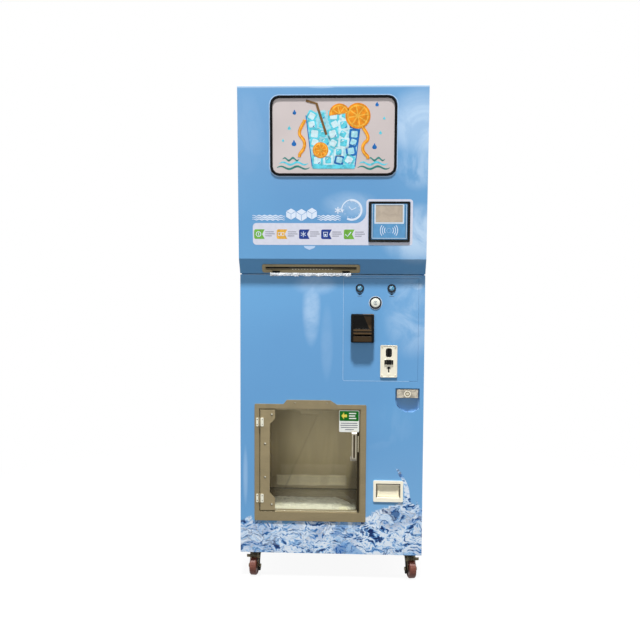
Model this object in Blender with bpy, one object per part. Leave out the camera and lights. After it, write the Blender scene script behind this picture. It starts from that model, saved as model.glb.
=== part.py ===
"""An ice vending machine on castors: a cabinet, two hinged front doors, a coin and note panel, and a pick-up hatch.

Metres, +Z up, seen from the front along +Y, with +X to the right. Pieces are drawn in the machine's own
coordinates, where x is zero midway across the body, y is zero on the lower door's face and z is zero on the floor.
The whole machine then hangs on one empty that puts the middle of its footprint at the world's origin.
"""

import math

import bmesh
import bpy
from mathutils import Matrix, Vector

# Body: the lower door stands upright, a sloped band leads out to an upper door whose face leans forward
BODY_WIDTH = 0.730
BODY_DEPTH = 0.760
BODY_BOTTOM = 0.106
LOWER_DOOR_HEIGHT = 1.125
BAND_DROP = 0.060
BAND_OVERHANG = 0.038
FACE_HEIGHT = 0.661
FACE_LEAN = 0.043
SHEET = 0.002
DOOR_DEPTH = 0.038
DOOR_GAP = 0.0056
DOOR_SPLIT = 0.004
LIP_WIDTH = 0.020
POST_WIDTH = 0.025
POST_DEPTH = 0.025

# Clearances: faces that rest on each other, pins in bores, and how far a cutter runs past what it cuts
SEAT_GAP = 0.0003
PIN_GAP = 0.0004
OVERRUN = 0.004
LAP = 0.0006

# Facets round small pins, knobs and wheels
PIN_SIDES = 12
KNOB_SIDES = 24
WHEEL_SIDES = 24

LEFT = -BODY_WIDTH / 2
RIGHT = BODY_WIDTH / 2
SPLIT = BODY_BOTTOM + LOWER_DOOR_HEIGHT
BEND = SPLIT + BAND_DROP
TOP = BEND + FACE_HEIGHT
CABINET_FRONT = DOOR_DEPTH + DOOR_GAP
POST_BACK = CABINET_FRONT + POST_DEPTH
INSIDE = RIGHT - SHEET - SEAT_GAP
BETWEEN_POSTS = RIGHT - POST_WIDTH - SEAT_GAP
BACK_INSIDE = BODY_DEPTH - SHEET - SEAT_GAP
FACE_LENGTH = math.hypot(FACE_HEIGHT, FACE_LEAN)

MACHINE = Matrix.Identity(4)
FACE = Matrix.Translation((0, -BAND_OVERHANG, BEND)) @ Matrix.Rotation(
    math.atan2(FACE_LEAN, FACE_HEIGHT), 4, "X"
)
BAND = Matrix.Translation((0, 0, SPLIT)) @ Matrix.Rotation(math.atan2(BAND_OVERHANG, BAND_DROP), 4, "X")

# An outline's two coordinates and its depth, as they lie along X, Y or Z
AXES = {
    "X": Matrix(((0, 0, 1, 0), (1, 0, 0, 0), (0, 1, 0, 0), (0, 0, 0, 1))),
    "Y": Matrix(((1, 0, 0, 0), (0, 0, 1, 0), (0, 1, 0, 0), (0, 0, 0, 1))),
    "Z": Matrix.Identity(4),
}

# Colour, metallic and roughness of each finish
FINISHES = {
    "blue_wrap": ((0.17, 0.38, 0.68), 0.0, 0.35),
    "blue_paint": ((0.10, 0.25, 0.48), 0.0, 0.45),
    "steel": ((0.60, 0.58, 0.54), 1.0, 0.32),
    "zinc": ((0.52, 0.50, 0.44), 1.0, 0.45),
    "dark_steel": ((0.045, 0.045, 0.04), 0.8, 0.5),
    "black_plastic": ((0.02, 0.02, 0.022), 0.0, 0.45),
    "black_rubber": ((0.015, 0.015, 0.015), 0.0, 0.7),
    "white_plastic": ((0.80, 0.80, 0.78), 0.0, 0.4),
    "grey_plastic": ((0.35, 0.36, 0.38), 0.0, 0.5),
    "grey_paint": ((0.30, 0.32, 0.33), 0.0, 0.5),
    "membrane": ((0.08, 0.28, 0.55), 0.0, 0.4),
    "sign_print": ((0.68, 0.62, 0.60), 0.0, 0.3),
    "glass": ((0.55, 0.65, 0.68), 0.0, 0.08),
    "button_blue": ((0.03, 0.16, 0.40), 0.0, 0.25),
    "button_white": ((0.85, 0.86, 0.84), 0.0, 0.25),
    "maroon_wheel": ((0.16, 0.02, 0.012), 0.0, 0.4),
    "aluminium": ((0.70, 0.71, 0.72), 1.0, 0.35),
    "copper": ((0.72, 0.36, 0.20), 1.0, 0.35),
    "brass": ((0.72, 0.55, 0.25), 1.0, 0.35),
    "film": ((0.72, 0.78, 0.82), 0.0, 0.25),
}

PLACES = {}


def finish_material(name):
    """The named finish, made once."""
    material = bpy.data.materials.get(name)
    if material is None:
        colour, metallic, roughness = FINISHES[name]
        material = bpy.data.materials.new(name)
        material.use_nodes = True
        shader = material.node_tree.nodes["Principled BSDF"]
        shader.inputs["Base Color"].default_value = (*colour, 1)
        shader.inputs["Metallic"].default_value = metallic
        shader.inputs["Roughness"].default_value = roughness
    return material


def hang(obj, parent, place):
    """Parents an object so that it stands at a place given in the machine's coordinates."""
    if parent is None:
        local = place
    else:
        obj.parent = parent
        local = PLACES[parent.name].inverted() @ place
    obj.location = local.to_translation()
    obj.rotation_euler = local.to_euler()


def carrier(name, parent, place):
    """An empty that carries pieces, at a joint's axis or a face's corner."""
    empty = bpy.data.objects.new(name, None)
    empty.empty_display_size = POST_WIDTH
    bpy.context.scene.collection.objects.link(empty)
    PLACES[empty.name] = MACHINE if parent is None else place
    hang(empty, parent, place)
    return empty


def object_from(bm):
    bm.normal_update()
    bmesh.ops.recalc_face_normals(bm, faces=bm.faces)
    mesh = bpy.data.meshes.new("piece")
    bm.to_mesh(mesh)
    bm.free()
    obj = bpy.data.objects.new("piece", mesh)
    bpy.context.scene.collection.objects.link(obj)
    return obj


def block(low, high):
    """A box between two corners."""
    low, high = Vector(low), Vector(high)
    bm = bmesh.new()
    place = Matrix.Translation((low + high) / 2) @ Matrix.Diagonal((*(high - low), 1))
    bmesh.ops.create_cube(bm, size=1, matrix=place)
    return object_from(bm)


def prism(outline, axis, start, end):
    """An outline extruded along X, Y or Z from start to end."""
    bm = bmesh.new()
    near = [bm.verts.new((u, v, start)) for u, v in outline]
    far = [bm.verts.new((u, v, end)) for u, v in outline]
    bm.faces.new(near)
    bm.faces.new(far)
    bmesh.ops.bridge_loops(bm, edges=[edge for edge in bm.edges])
    bm.transform(AXES[axis])
    return object_from(bm)


def rod(axis, centre, radius, start, end, sides=PIN_SIDES, end_radius=None):
    """A round bar or cone along an axis, centred on the axis's two other coordinates."""
    bm = bmesh.new()
    bmesh.ops.create_cone(
        bm, cap_ends=True, segments=sides, radius1=radius,
        radius2=radius if end_radius is None else end_radius, depth=end - start,
    )
    bm.transform(AXES[axis] @ Matrix.Translation((*centre, (start + end) / 2)))
    return object_from(bm)


def turned(profile, axis, centre, sides=KNOB_SIDES):
    """A profile of radius and station spun round an axis: open at radius zero, or a closed loop round a bore."""
    bm = bmesh.new()
    points = [bm.verts.new((radius, 0, station)) for radius, station in profile]
    edges = [bm.edges.new(pair) for pair in zip(points, points[1:])]
    if profile[0][0] > 0:
        edges.append(bm.edges.new((points[-1], points[0])))
    bmesh.ops.rotate(bm, verts=points, matrix=Matrix.Rotation(math.pi / sides, 3, "Z"))
    bmesh.ops.spin(bm, geom=points + edges, axis=(0, 0, 1), angle=math.tau, steps=sides, use_merge=True)
    bmesh.ops.remove_doubles(bm, verts=bm.verts, dist=SEAT_GAP / 100)
    bm.transform(AXES[axis] @ Matrix.Translation((*centre, 0)))
    return object_from(bm)


def rectangle(low, high):
    return [(low[0], low[1]), (high[0], low[1]), (high[0], high[1]), (low[0], high[1])]


def around(centre, size):
    """A rectangle's two corners, from its middle and its width and height."""
    half = (size[0] / 2, size[1] / 2)
    return (centre[0] - half[0], centre[1] - half[1]), (centre[0] + half[0], centre[1] + half[1])


def grown(low, high, margin):
    """A rectangle's corners moved out on every side, or in where the margin is negative."""
    return (low[0] - margin, low[1] - margin), (high[0] + margin, high[1] + margin)


def arc(centre, radius, start, end, steps):
    """Points along an arc between two angles in degrees."""
    turns = [math.radians(start + (end - start) * step / steps) for step in range(steps + 1)]
    return [(centre[0] + radius * math.cos(turn), centre[1] + radius * math.sin(turn)) for turn in turns]


def eased(outline, radius, steps=3):
    """An outline whose corners are rounded to one radius."""
    points = []
    count = len(outline)
    for index, corner in enumerate(outline):
        here = Vector(corner)
        back = (Vector(outline[index - 1]) - here).normalized()
        on = (Vector(outline[(index + 1) % count]) - here).normalized()
        half = back.angle(on) / 2
        centre = here + (back + on).normalized() * (radius / math.sin(half))
        first = here + back * (radius / math.tan(half)) - centre
        sweep = first.angle_signed(here + on * (radius / math.tan(half)) - centre)
        for step in range(steps + 1):
            turn = -sweep * step / steps
            points.append(tuple(centre + Matrix.Rotation(turn, 2) @ first))
    return points


def shifted(outline, distance):
    """A closed outline, counterclockwise, with each side moved in by a distance, or out where it is negative."""
    sides = []
    for index, start in enumerate(outline):
        run = Vector(outline[(index + 1) % len(outline)]) - Vector(start)
        inward = Vector((-run.y, run.x)).normalized() * distance
        sides.append((Vector(start) + inward, run))
    points = []
    for (a, run_a), (b, run_b) in zip(sides[-1:] + sides[:-1], sides):
        along = (b - a).cross(run_b) / run_a.cross(run_b)
        points.append(tuple(a + run_a * along))
    return points


def combine(target, tools, operation):
    """Applies each tool to the target with an exact Boolean, and removes the tools."""
    for tool in tools:
        modifier = target.modifiers.new(operation, "BOOLEAN")
        modifier.operation = operation
        modifier.object = tool
    bpy.context.view_layer.update()
    shape = bpy.data.meshes.new_from_object(target.evaluated_get(bpy.context.evaluated_depsgraph_get()))
    target.modifiers.clear()
    target.data = shape
    for tool in tools:
        bpy.data.objects.remove(tool)
    return target


def fuse(target, *tools):
    return combine(target, tools, "UNION")


def cut(target, *tools):
    return combine(target, tools, "DIFFERENCE")


def moved(obj, place):
    """Redraws a piece from a tilted face's coordinates in the machine's."""
    obj.data.transform(place)
    return obj


def place_piece(obj, name, finish, parent, origin=None, space=MACHINE):
    """Names a finished piece, gives it its finish and hangs it on its carrier, turning about its origin."""
    if origin is None:
        corners = [Vector(corner) for corner in obj.bound_box]
        origin = (Vector(map(min, zip(*corners))) + Vector(map(max, zip(*corners)))) / 2
    obj.name = obj.data.name = name
    obj.data.transform(Matrix.Translation(-Vector(origin)))
    obj.data.materials.clear()
    obj.data.materials.append(finish_material(finish))
    obj.data.shade_smooth()
    obj.data.set_sharp_from_angle(angle=math.radians(30))
    hang(obj, parent, space @ Matrix.Translation(origin))
    return obj


# Big door hinges: two lift-off hinges a door, in the gap between the doors and the cabinet
HINGE_INSET = 0.120
KNUCKLE_LENGTH = 0.030
HINGE_PIN_RADIUS = 0.00125
LEAF_THICKNESS = 0.0016
LEAF_WIDTH = 0.018

HINGE_AXIS = (LEFT, DOOR_DEPTH + DOOR_GAP / 2)
KNUCKLE_RADIUS = DOOR_GAP / 2 - SEAT_GAP
LOWER_HINGES = (BODY_BOTTOM + HINGE_INSET, SPLIT - HINGE_INSET)
UPPER_HINGES = (BEND + HINGE_INSET, TOP - HINGE_INSET)


def cabinet_hinge(height):
    """The half that stays on the cabinet: knuckle, pin and leaf, with its top at a height."""
    foot = height - KNUCKLE_LENGTH
    leaf = block(
        (LEFT, CABINET_FRONT - LEAF_THICKNESS, foot),
        (LEFT + LEAF_WIDTH, CABINET_FRONT + LAP, height),
    )
    pin = rod("Z", HINGE_AXIS, HINGE_PIN_RADIUS, height - KNUCKLE_LENGTH / 2, height + KNUCKLE_LENGTH)
    return fuse(rod("Z", HINGE_AXIS, KNUCKLE_RADIUS, foot, height), leaf, pin)


def door_hinge(height):
    """The half that lifts off with a door: a bored knuckle and its leaf, standing on the other half."""
    foot, head = height + SEAT_GAP, height + SEAT_GAP + KNUCKLE_LENGTH
    leaf = block((LEFT, DOOR_DEPTH - LAP, foot), (LEFT + LEAF_WIDTH, DOOR_DEPTH + LEAF_THICKNESS, head))
    half = fuse(rod("Z", HINGE_AXIS, KNUCKLE_RADIUS, foot, head), leaf)
    return cut(half, rod("Z", HINGE_AXIS, HINGE_PIN_RADIUS + PIN_GAP, foot - OVERRUN, head + OVERRUN))


# Castors: a plate and swivel race under the base, a fork that swivels, and a bored wheel on the fork's axle
CASTOR_LEFT_INSET = 0.054
CASTOR_RIGHT_INSET = 0.044
CASTOR_END_INSET = 0.070
CASTOR_PLATE_WIDTH = 0.076
CASTOR_PLATE_LENGTH = 0.052
CASTOR_PLATE_THICKNESS = 0.004
RACE_TOP_RADIUS = 0.026
RACE_FOOT_RADIUS = 0.021
RACE_HEIGHT = 0.012
KINGPIN_RADIUS = 0.006
WHEEL_RADIUS = 0.0375
WHEEL_WIDTH = 0.028
TREAD_WIDTH = 0.020
HUB_RADIUS = 0.013
WEB_RADIUS = 0.030
WEB_RECESS = 0.003
AXLE_RADIUS = 0.004
SWIVEL_TRAIL = 0.032
FORK_GAP = 0.0015
FORK_SHEET = 0.0025
CROWN_REACH = 0.022
CROWN_THICKNESS = 0.005
AXLE_BOSS_RADIUS = 0.011
NUT_RADIUS = 0.008
NUT_THICKNESS = 0.005
BRAKE_SHEET = 0.004
BRAKE_ARM_WIDTH = 0.011
BRAKE_FOOT_REACH = 0.026
BRAKE_PAD_WIDTH = 0.012
CASTOR_HEADINGS = {"front_left": -5.0, "front_right": 10.0, "rear_left": 14.0, "rear_right": -8.0}

RACE_FOOT = BODY_BOTTOM - CASTOR_PLATE_THICKNESS - RACE_HEIGHT
FORK_TOP = RACE_FOOT - SEAT_GAP
FORK_BOTTOM = FORK_TOP - CROWN_THICKNESS
FORK_HALF = WHEEL_WIDTH / 2 + FORK_GAP
FORK_OUTER = FORK_HALF + FORK_SHEET
AXLE = (-SWIVEL_TRAIL, WHEEL_RADIUS)
CASTORS = {
    "front_left": (LEFT + CASTOR_LEFT_INSET, CASTOR_END_INSET),
    "front_right": (RIGHT - CASTOR_RIGHT_INSET, CASTOR_END_INSET),
    "rear_left": (LEFT + CASTOR_LEFT_INSET, BODY_DEPTH - CASTOR_END_INSET),
    "rear_right": (RIGHT - CASTOR_RIGHT_INSET, BODY_DEPTH - CASTOR_END_INSET),
}


def castor_seat(spot):
    """A castor's top plate and swivel race, bored for the kingpin."""
    low, high = around(spot, (CASTOR_PLATE_WIDTH, CASTOR_PLATE_LENGTH))
    plate_foot = BODY_BOTTOM - CASTOR_PLATE_THICKNESS
    plate = block((*low, plate_foot), (*high, BODY_BOTTOM + LAP))
    race = rod("Z", spot, RACE_FOOT_RADIUS, RACE_FOOT, plate_foot + LAP, KNOB_SIDES, RACE_TOP_RADIUS)
    bore = rod("Z", spot, KINGPIN_RADIUS + PIN_GAP, RACE_FOOT - OVERRUN, RACE_FOOT + RACE_HEIGHT)
    return cut(fuse(plate, race), bore)


def hexagon(centre, radius):
    return arc(centre, radius, 0, 300, 5)


def castor_fork(name, braked_side):
    """Crown, two legs, kingpin, axle and nuts, drawn round the swivel axis with the wheel's side to the front."""
    boss = arc(AXLE, AXLE_BOSS_RADIUS, -40, -200, 6)
    leg = [(CROWN_REACH, FORK_TOP), (CROWN_REACH, FORK_BOTTOM)] + boss + [(-CROWN_REACH, FORK_TOP)]
    pieces = [prism(leg, "X", -FORK_OUTER, -FORK_HALF), prism(leg, "X", FORK_HALF, FORK_OUTER)]
    pieces.append(rod("Z", (0, 0), KINGPIN_RADIUS, FORK_BOTTOM + LAP, FORK_TOP + RACE_HEIGHT - SEAT_GAP))
    ends = {}
    for side in (-1, 1):
        lever = BRAKE_SHEET + 2 * PIN_GAP if side == braked_side else 0
        foot = FORK_OUTER - LAP if lever == 0 else FORK_OUTER + lever
        ends[side] = side * (foot + NUT_THICKNESS)
        pieces.append(prism(hexagon(AXLE, NUT_RADIUS), "X", *sorted((side * foot, ends[side]))))
    pieces.append(rod("X", AXLE, AXLE_RADIUS, ends[-1] + LAP, ends[1] - LAP))
    crown = block((-FORK_OUTER, -CROWN_REACH, FORK_BOTTOM), (FORK_OUTER, CROWN_REACH, FORK_TOP))
    return fuse(crown, *pieces)


def castor_wheel():
    """A bored wheel with recessed webs. Its flats are set so that it stands one wheel radius high."""
    tread = WHEEL_RADIUS / math.cos(math.pi / WHEEL_SIDES)
    shoulder = (WEB_RADIUS + WHEEL_RADIUS) / 2
    half, flat, web = WHEEL_WIDTH / 2, TREAD_WIDTH / 2, WHEEL_WIDTH / 2 - WEB_RECESS
    bore = AXLE_RADIUS + PIN_GAP
    far = [(HUB_RADIUS, half), (HUB_RADIUS, web), (WEB_RADIUS, web), (shoulder, half), (tread, flat)]
    near = [(radius, -station) for radius, station in reversed(far)]
    return turned([(bore, half)] + far + near + [(bore, -half)], "X", AXLE, WHEEL_SIDES)


def brake_lever(side):
    """A flat lever that turns on the axle outside one fork leg, with an arm up and a foot pad forward."""
    near, far = sorted((side * (FORK_OUTER + PIN_GAP), side * (FORK_OUTER + PIN_GAP + BRAKE_SHEET)))
    arm_top = FORK_BOTTOM
    half = BRAKE_ARM_WIDTH / 2
    arm = [
        (AXLE[0] - half, AXLE[1]), (AXLE[0] + half, AXLE[1]),
        (BRAKE_ARM_WIDTH - CROWN_REACH, arm_top), (-CROWN_REACH, arm_top),
    ]
    tip = AXLE[0] - BRAKE_FOOT_REACH
    foot = [
        (tip, AXLE[1] - BRAKE_ARM_WIDTH), (AXLE[0], AXLE[1] - half), (AXLE[0], AXLE[1] + half),
        (tip, AXLE[1] - half / 2),
    ]
    pad = [(tip, AXLE[1] - BRAKE_ARM_WIDTH), (tip + BRAKE_ARM_WIDTH, AXLE[1] - BRAKE_ARM_WIDTH + half / 3),
           (tip + BRAKE_ARM_WIDTH, AXLE[1]), (tip, AXLE[1] - half / 2)]
    pad_far = side * (FORK_OUTER + PIN_GAP + BRAKE_PAD_WIDTH)
    lever = fuse(
        rod("X", AXLE, AXLE_BOSS_RADIUS - FORK_GAP, near, far, KNOB_SIDES),
        prism(arm, "X", near, far),
        prism(foot, "X", near, far),
        prism(shifted(pad, LAP / 2), "X", *sorted((side * (FORK_OUTER + PIN_GAP + LAP), pad_far))),
    )
    return cut(lever, rod("X", AXLE, AXLE_RADIUS + PIN_GAP, near - OVERRUN, far + OVERRUN))


def build_castors(machine):
    for name, spot in CASTORS.items():
        heading = CASTOR_HEADINGS[name]
        space = Matrix.Translation((*spot, 0)) @ Matrix.Rotation(math.radians(heading), 4, "Z")
        braked_side = 0
        if name.startswith("front"):
            braked_side = 1 if spot[0] < 0 else -1
        swivel = carrier(name + "_castor_swivel", machine, space)
        fork = castor_fork(name, braked_side)
        place_piece(fork, name + "_castor_fork", "zinc", swivel, (0, 0, FORK_TOP), space)
        axle = (0, *AXLE)
        place_piece(castor_wheel(), name + "_castor_wheel", "maroon_wheel", swivel, axle, space)
        if braked_side:
            lever = brake_lever(braked_side)
            place_piece(lever, name + "_castor_brake", "black_plastic", swivel, axle, space)


# Cabinet shell: folded sheet sides with front posts, back with louvres, top, base, and two decks
BASE_THICKNESS = 0.003
DECK_THICKNESS = 0.003
RAIL_HEIGHT = 0.030
RAIL_DEPTH = 0.025
HEADER_HEIGHT = 0.038
LOUVRE_WIDTH = 0.260
LOUVRE_HEIGHT = 0.008
LOUVRE_PITCH = 0.024
LOUVRE_COUNT = 9
LOUVRE_INSET = 0.045

BASE_TOP = BODY_BOTTOM + BASE_THICKNESS
WALL_TOP = TOP - SHEET - SEAT_GAP
RAIL_TOP = SPLIT + RAIL_HEIGHT / 2
MAKER_DECK = RAIL_TOP + SEAT_GAP
MAKER_FLOOR = MAKER_DECK + DECK_THICKNESS


def side_outline(side):
    """A side sheet folded into a front flange and its return, seen from above."""
    outline = [
        (RIGHT, CABINET_FRONT), (RIGHT, BODY_DEPTH), (RIGHT - SHEET, BODY_DEPTH),
        (RIGHT - SHEET, CABINET_FRONT + SHEET), (RIGHT - POST_WIDTH + SHEET, CABINET_FRONT + SHEET),
        (RIGHT - POST_WIDTH + SHEET, POST_BACK), (RIGHT - POST_WIDTH, POST_BACK),
        (RIGHT - POST_WIDTH, CABINET_FRONT),
    ]
    return [(side * x, y) for x, y in outline]


def side_panel(side):
    panel = prism(side_outline(side), "Z", BODY_BOTTOM, WALL_TOP)
    inner, outer = sorted((side * (RIGHT - POST_WIDTH - OVERRUN), side * (RIGHT - SHEET)))
    notch = block(
        (inner, CABINET_FRONT - OVERRUN, BODY_BOTTOM - OVERRUN), (outer, BODY_DEPTH / 2, BASE_TOP + SEAT_GAP)
    )
    return cut(panel, notch)


def deck_outline():
    """A shelf that fills the cabinet between its sides and reaches forward between the posts."""
    back, step, front = BACK_INSIDE, POST_BACK + SEAT_GAP, CABINET_FRONT
    return [
        (-BETWEEN_POSTS, front), (BETWEEN_POSTS, front), (BETWEEN_POSTS, step), (INSIDE, step),
        (INSIDE, back), (-INSIDE, back), (-INSIDE, step), (-BETWEEN_POSTS, step),
    ]


def rail_outline():
    """The mid rail's channel, seen from the side: open at the back."""
    foot, back = RAIL_TOP - RAIL_HEIGHT, CABINET_FRONT + RAIL_DEPTH
    return [
        (CABINET_FRONT, foot), (back, foot), (back, foot + SHEET), (CABINET_FRONT + SHEET, foot + SHEET),
        (CABINET_FRONT + SHEET, RAIL_TOP - SHEET), (back, RAIL_TOP - SHEET), (back, RAIL_TOP),
        (CABINET_FRONT, RAIL_TOP),
    ]


def build_shell(machine):
    base = block((-INSIDE, CABINET_FRONT, BODY_BOTTOM), (INSIDE, BODY_DEPTH, BASE_TOP))
    fuse(base, *[castor_seat(spot) for spot in CASTORS.values()])
    place_piece(base, "base_plate", "dark_steel", machine)

    left = fuse(side_panel(-1), *[cabinet_hinge(height) for height in LOWER_HINGES + UPPER_HINGES])
    place_piece(left, "left_side_panel", "blue_wrap", machine)
    place_piece(side_panel(1), "right_side_panel", "blue_wrap", machine)

    back = block((-INSIDE, BODY_DEPTH - SHEET, BASE_TOP + SEAT_GAP), (INSIDE, BODY_DEPTH, WALL_TOP))
    louvres = []
    for row in range(LOUVRE_COUNT):
        foot = BASE_TOP + LOUVRE_INSET + row * LOUVRE_PITCH
        low = (CONDENSER_RIGHT - LOUVRE_WIDTH, BODY_DEPTH - SHEET - OVERRUN, foot)
        louvres.append(block(low, (CONDENSER_RIGHT, BODY_DEPTH + OVERRUN, foot + LOUVRE_HEIGHT)))
    cut(back, *louvres, *service_holes())
    place_piece(back, "back_panel", "blue_paint", machine)

    top = block((LEFT, CABINET_FRONT, TOP - SHEET), (RIGHT, BODY_DEPTH, TOP))
    header = block(
        (-BETWEEN_POSTS, CABINET_FRONT, WALL_TOP - HEADER_HEIGHT),
        (BETWEEN_POSTS, CABINET_FRONT + SHEET, TOP - SHEET + LAP),
    )
    place_piece(fuse(top, header), "top_panel", "blue_wrap", machine)

    rail = prism(rail_outline(), "X", -BETWEEN_POSTS, BETWEEN_POSTS)
    place_piece(rail, "mid_rail", "zinc", machine)

    maker_deck = prism(deck_outline(), "Z", MAKER_DECK, MAKER_FLOOR)
    drop = block(
        (DROP_LEFT, DROP_FRONT, MAKER_DECK - OVERRUN), (DROP_RIGHT, DROP_BACK, MAKER_FLOOR + OVERRUN)
    )
    place_piece(cut(maker_deck, drop), "ice_maker_deck", "zinc", machine)

    store_deck = prism(deck_outline(), "Z", STORE_DECK, STORE_FLOOR)
    hole = block((*CHUTE_LOW, STORE_DECK - OVERRUN), (*CHUTE_HIGH, STORE_FLOOR + OVERRUN))
    place_piece(cut(store_deck, grow_block(hole, SEAT_GAP)), "hopper_deck", "zinc", machine)


def grow_block(obj, margin):
    """Moves a box's walls out by a margin in x and y, for a hole round what passes through it."""
    middle = sum((vertex.co for vertex in obj.data.vertices), Vector()) / len(obj.data.vertices)
    for vertex in obj.data.vertices:
        vertex.co.x += math.copysign(margin, vertex.co.x - middle.x)
        vertex.co.y += math.copysign(margin, vertex.co.y - middle.y)
    return obj


# Ice door frame on the lower door: proud flange with a raised tab, lining, and a stop lip behind the glass
FRAME_LEFT_INSET = 0.057
FRAME_RIGHT_INSET = 0.226
FRAME_BOTTOM_INSET = 0.133
FRAME_TOP_DROP = 0.518
FRAME_LEFT_BORDER = 0.019
FRAME_RIGHT_BORDER = 0.023
FRAME_BOTTOM_BORDER = 0.037
FRAME_TOP_BORDER = 0.018
FRAME_PROUD = 0.005
FRAME_CORNER = 0.005
TAB_RISE = 0.017
TAB_SHARES = (0.260, 0.289, 0.678, 0.738)
LINING_SHEET = 0.002
STOP_REACH = 0.008
STOP_THICKNESS = 0.0025
STOP_GAP = 0.0008
CATCH_WIDTH = 0.010
CATCH_HEIGHT = 0.067
CATCH_DEPTH = 0.007
CATCH_RISE_SHARE = 0.667
TOP_CATCH_WIDTH = 0.082
TOP_CATCH_HEIGHT = 0.016
TOP_CATCH_SHARE = 0.514

FRAME_LOW = (LEFT + FRAME_LEFT_INSET, BODY_BOTTOM + FRAME_BOTTOM_INSET)
FRAME_HIGH = (RIGHT - FRAME_RIGHT_INSET, SPLIT - FRAME_TOP_DROP)
OPEN_LOW = (FRAME_LOW[0] + FRAME_LEFT_BORDER, FRAME_LOW[1] + FRAME_BOTTOM_BORDER)
OPEN_HIGH = (FRAME_HIGH[0] - FRAME_RIGHT_BORDER, FRAME_HIGH[1] - FRAME_TOP_BORDER)

# Glass door, its hinge strip, and the pull handle
GLASS_THICKNESS = 0.008
GLASS_GAP = 0.003
GLASS_CORNER = 0.004
STRIP_SHEET = 0.0017
STRIP_WIDTH = 0.040
STRIP_FOOT_WIDTH = 0.061
STRIP_TOP_FOOT = 0.034
STRIP_LOW_FOOT = 0.050
STRIP_CHAMFER = 0.023
STRIP_END_GAP = 0.003
SCREW_HEAD_RADIUS = 0.005
SCREW_HEAD_HEIGHT = 0.0015
ICE_KNUCKLE_RADIUS = 0.0035
ICE_PIN_RADIUS = 0.0018
ICE_HINGE_HEIGHT = 0.036
ICE_HINGE_INSET = 0.052
ICE_LEAF_WIDTH = 0.0135
ICE_LEAF_THICKNESS = 0.0016
HANDLE_WIDTH = 0.019
HANDLE_HEIGHT = 0.115
HANDLE_REACH = 0.026
HANDLE_THICKNESS = 0.006
HANDLE_EDGE_INSET = 0.012
HANDLE_FOOT_EXTRA = 0.006
HANDLE_RISE_SHARE = 0.659

GLASS_LOW, GLASS_HIGH = grown(OPEN_LOW, OPEN_HIGH, -GLASS_GAP)
GLASS_FRONT = -GLASS_THICKNESS / 2
ICE_AXIS = (OPEN_LOW[0] + GLASS_GAP / 2, -FRAME_PROUD - ICE_KNUCKLE_RADIUS)
STRIP_LEFT = ICE_AXIS[0] + ICE_KNUCKLE_RADIUS + PIN_GAP
STRIP_FRONT = GLASS_FRONT - SEAT_GAP - STRIP_SHEET


def ice_hinge_heights():
    """The middles of the two small hinges."""
    return GLASS_LOW[1] + ICE_HINGE_INSET, GLASS_HIGH[1] - ICE_HINGE_INSET


def build_ice_frame(door):
    width = FRAME_HIGH[0] - FRAME_LOW[0]
    tab = [FRAME_LOW[0] + share * width for share in TAB_SHARES]
    outline = [
        FRAME_LOW, (FRAME_HIGH[0], FRAME_LOW[1]), FRAME_HIGH, (tab[3], FRAME_HIGH[1]),
        (tab[2], FRAME_HIGH[1] + TAB_RISE), (tab[1], FRAME_HIGH[1] + TAB_RISE), (tab[0], FRAME_HIGH[1]),
        (FRAME_LOW[0], FRAME_HIGH[1]),
    ]
    frame = prism(eased(outline, FRAME_CORNER), "Y", -FRAME_PROUD, -SEAT_GAP)
    lining_low, lining_high = grown(OPEN_LOW, OPEN_HIGH, LINING_SHEET)
    stop_front = GLASS_THICKNESS / 2 + STOP_GAP
    lining = block(
        (lining_low[0], -SEAT_GAP - LAP, lining_low[1]), (lining_high[0], DOOR_DEPTH, lining_high[1])
    )
    fuse(frame, lining)
    stop_low, stop_high = grown(OPEN_LOW, OPEN_HIGH, -STOP_REACH)
    cut(
        frame,
        block((OPEN_LOW[0], -FRAME_PROUD - OVERRUN, OPEN_LOW[1]), (OPEN_HIGH[0], stop_front, OPEN_HIGH[1])),
        block((stop_low[0], -OVERRUN, stop_low[1]), (stop_high[0], DOOR_DEPTH - LAP, stop_high[1])),
        block((OPEN_LOW[0], stop_front + STOP_THICKNESS, OPEN_LOW[1]),
              (OPEN_HIGH[0], DOOR_DEPTH + OVERRUN, OPEN_HIGH[1])),
    )
    rise = OPEN_LOW[1] + CATCH_RISE_SHARE * (OPEN_HIGH[1] - OPEN_LOW[1])
    along = OPEN_LOW[0] + TOP_CATCH_SHARE * (OPEN_HIGH[0] - OPEN_LOW[0])
    catch = block(
        (stop_high[0] - CATCH_WIDTH, stop_front, rise - CATCH_HEIGHT / 2),
        (stop_high[0] + LAP, stop_front + CATCH_DEPTH, rise + CATCH_HEIGHT / 2),
    )
    top_catch = block(
        (along - TOP_CATCH_WIDTH / 2, stop_front, stop_high[1] - TOP_CATCH_HEIGHT),
        (along + TOP_CATCH_WIDTH / 2, stop_front + CATCH_DEPTH, stop_high[1] + LAP),
    )
    fuse(frame, catch, top_catch, *[ice_hinge_fixed(height) for height in ice_hinge_heights()])
    place_piece(frame, "ice_door_frame", "steel", door)


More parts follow.
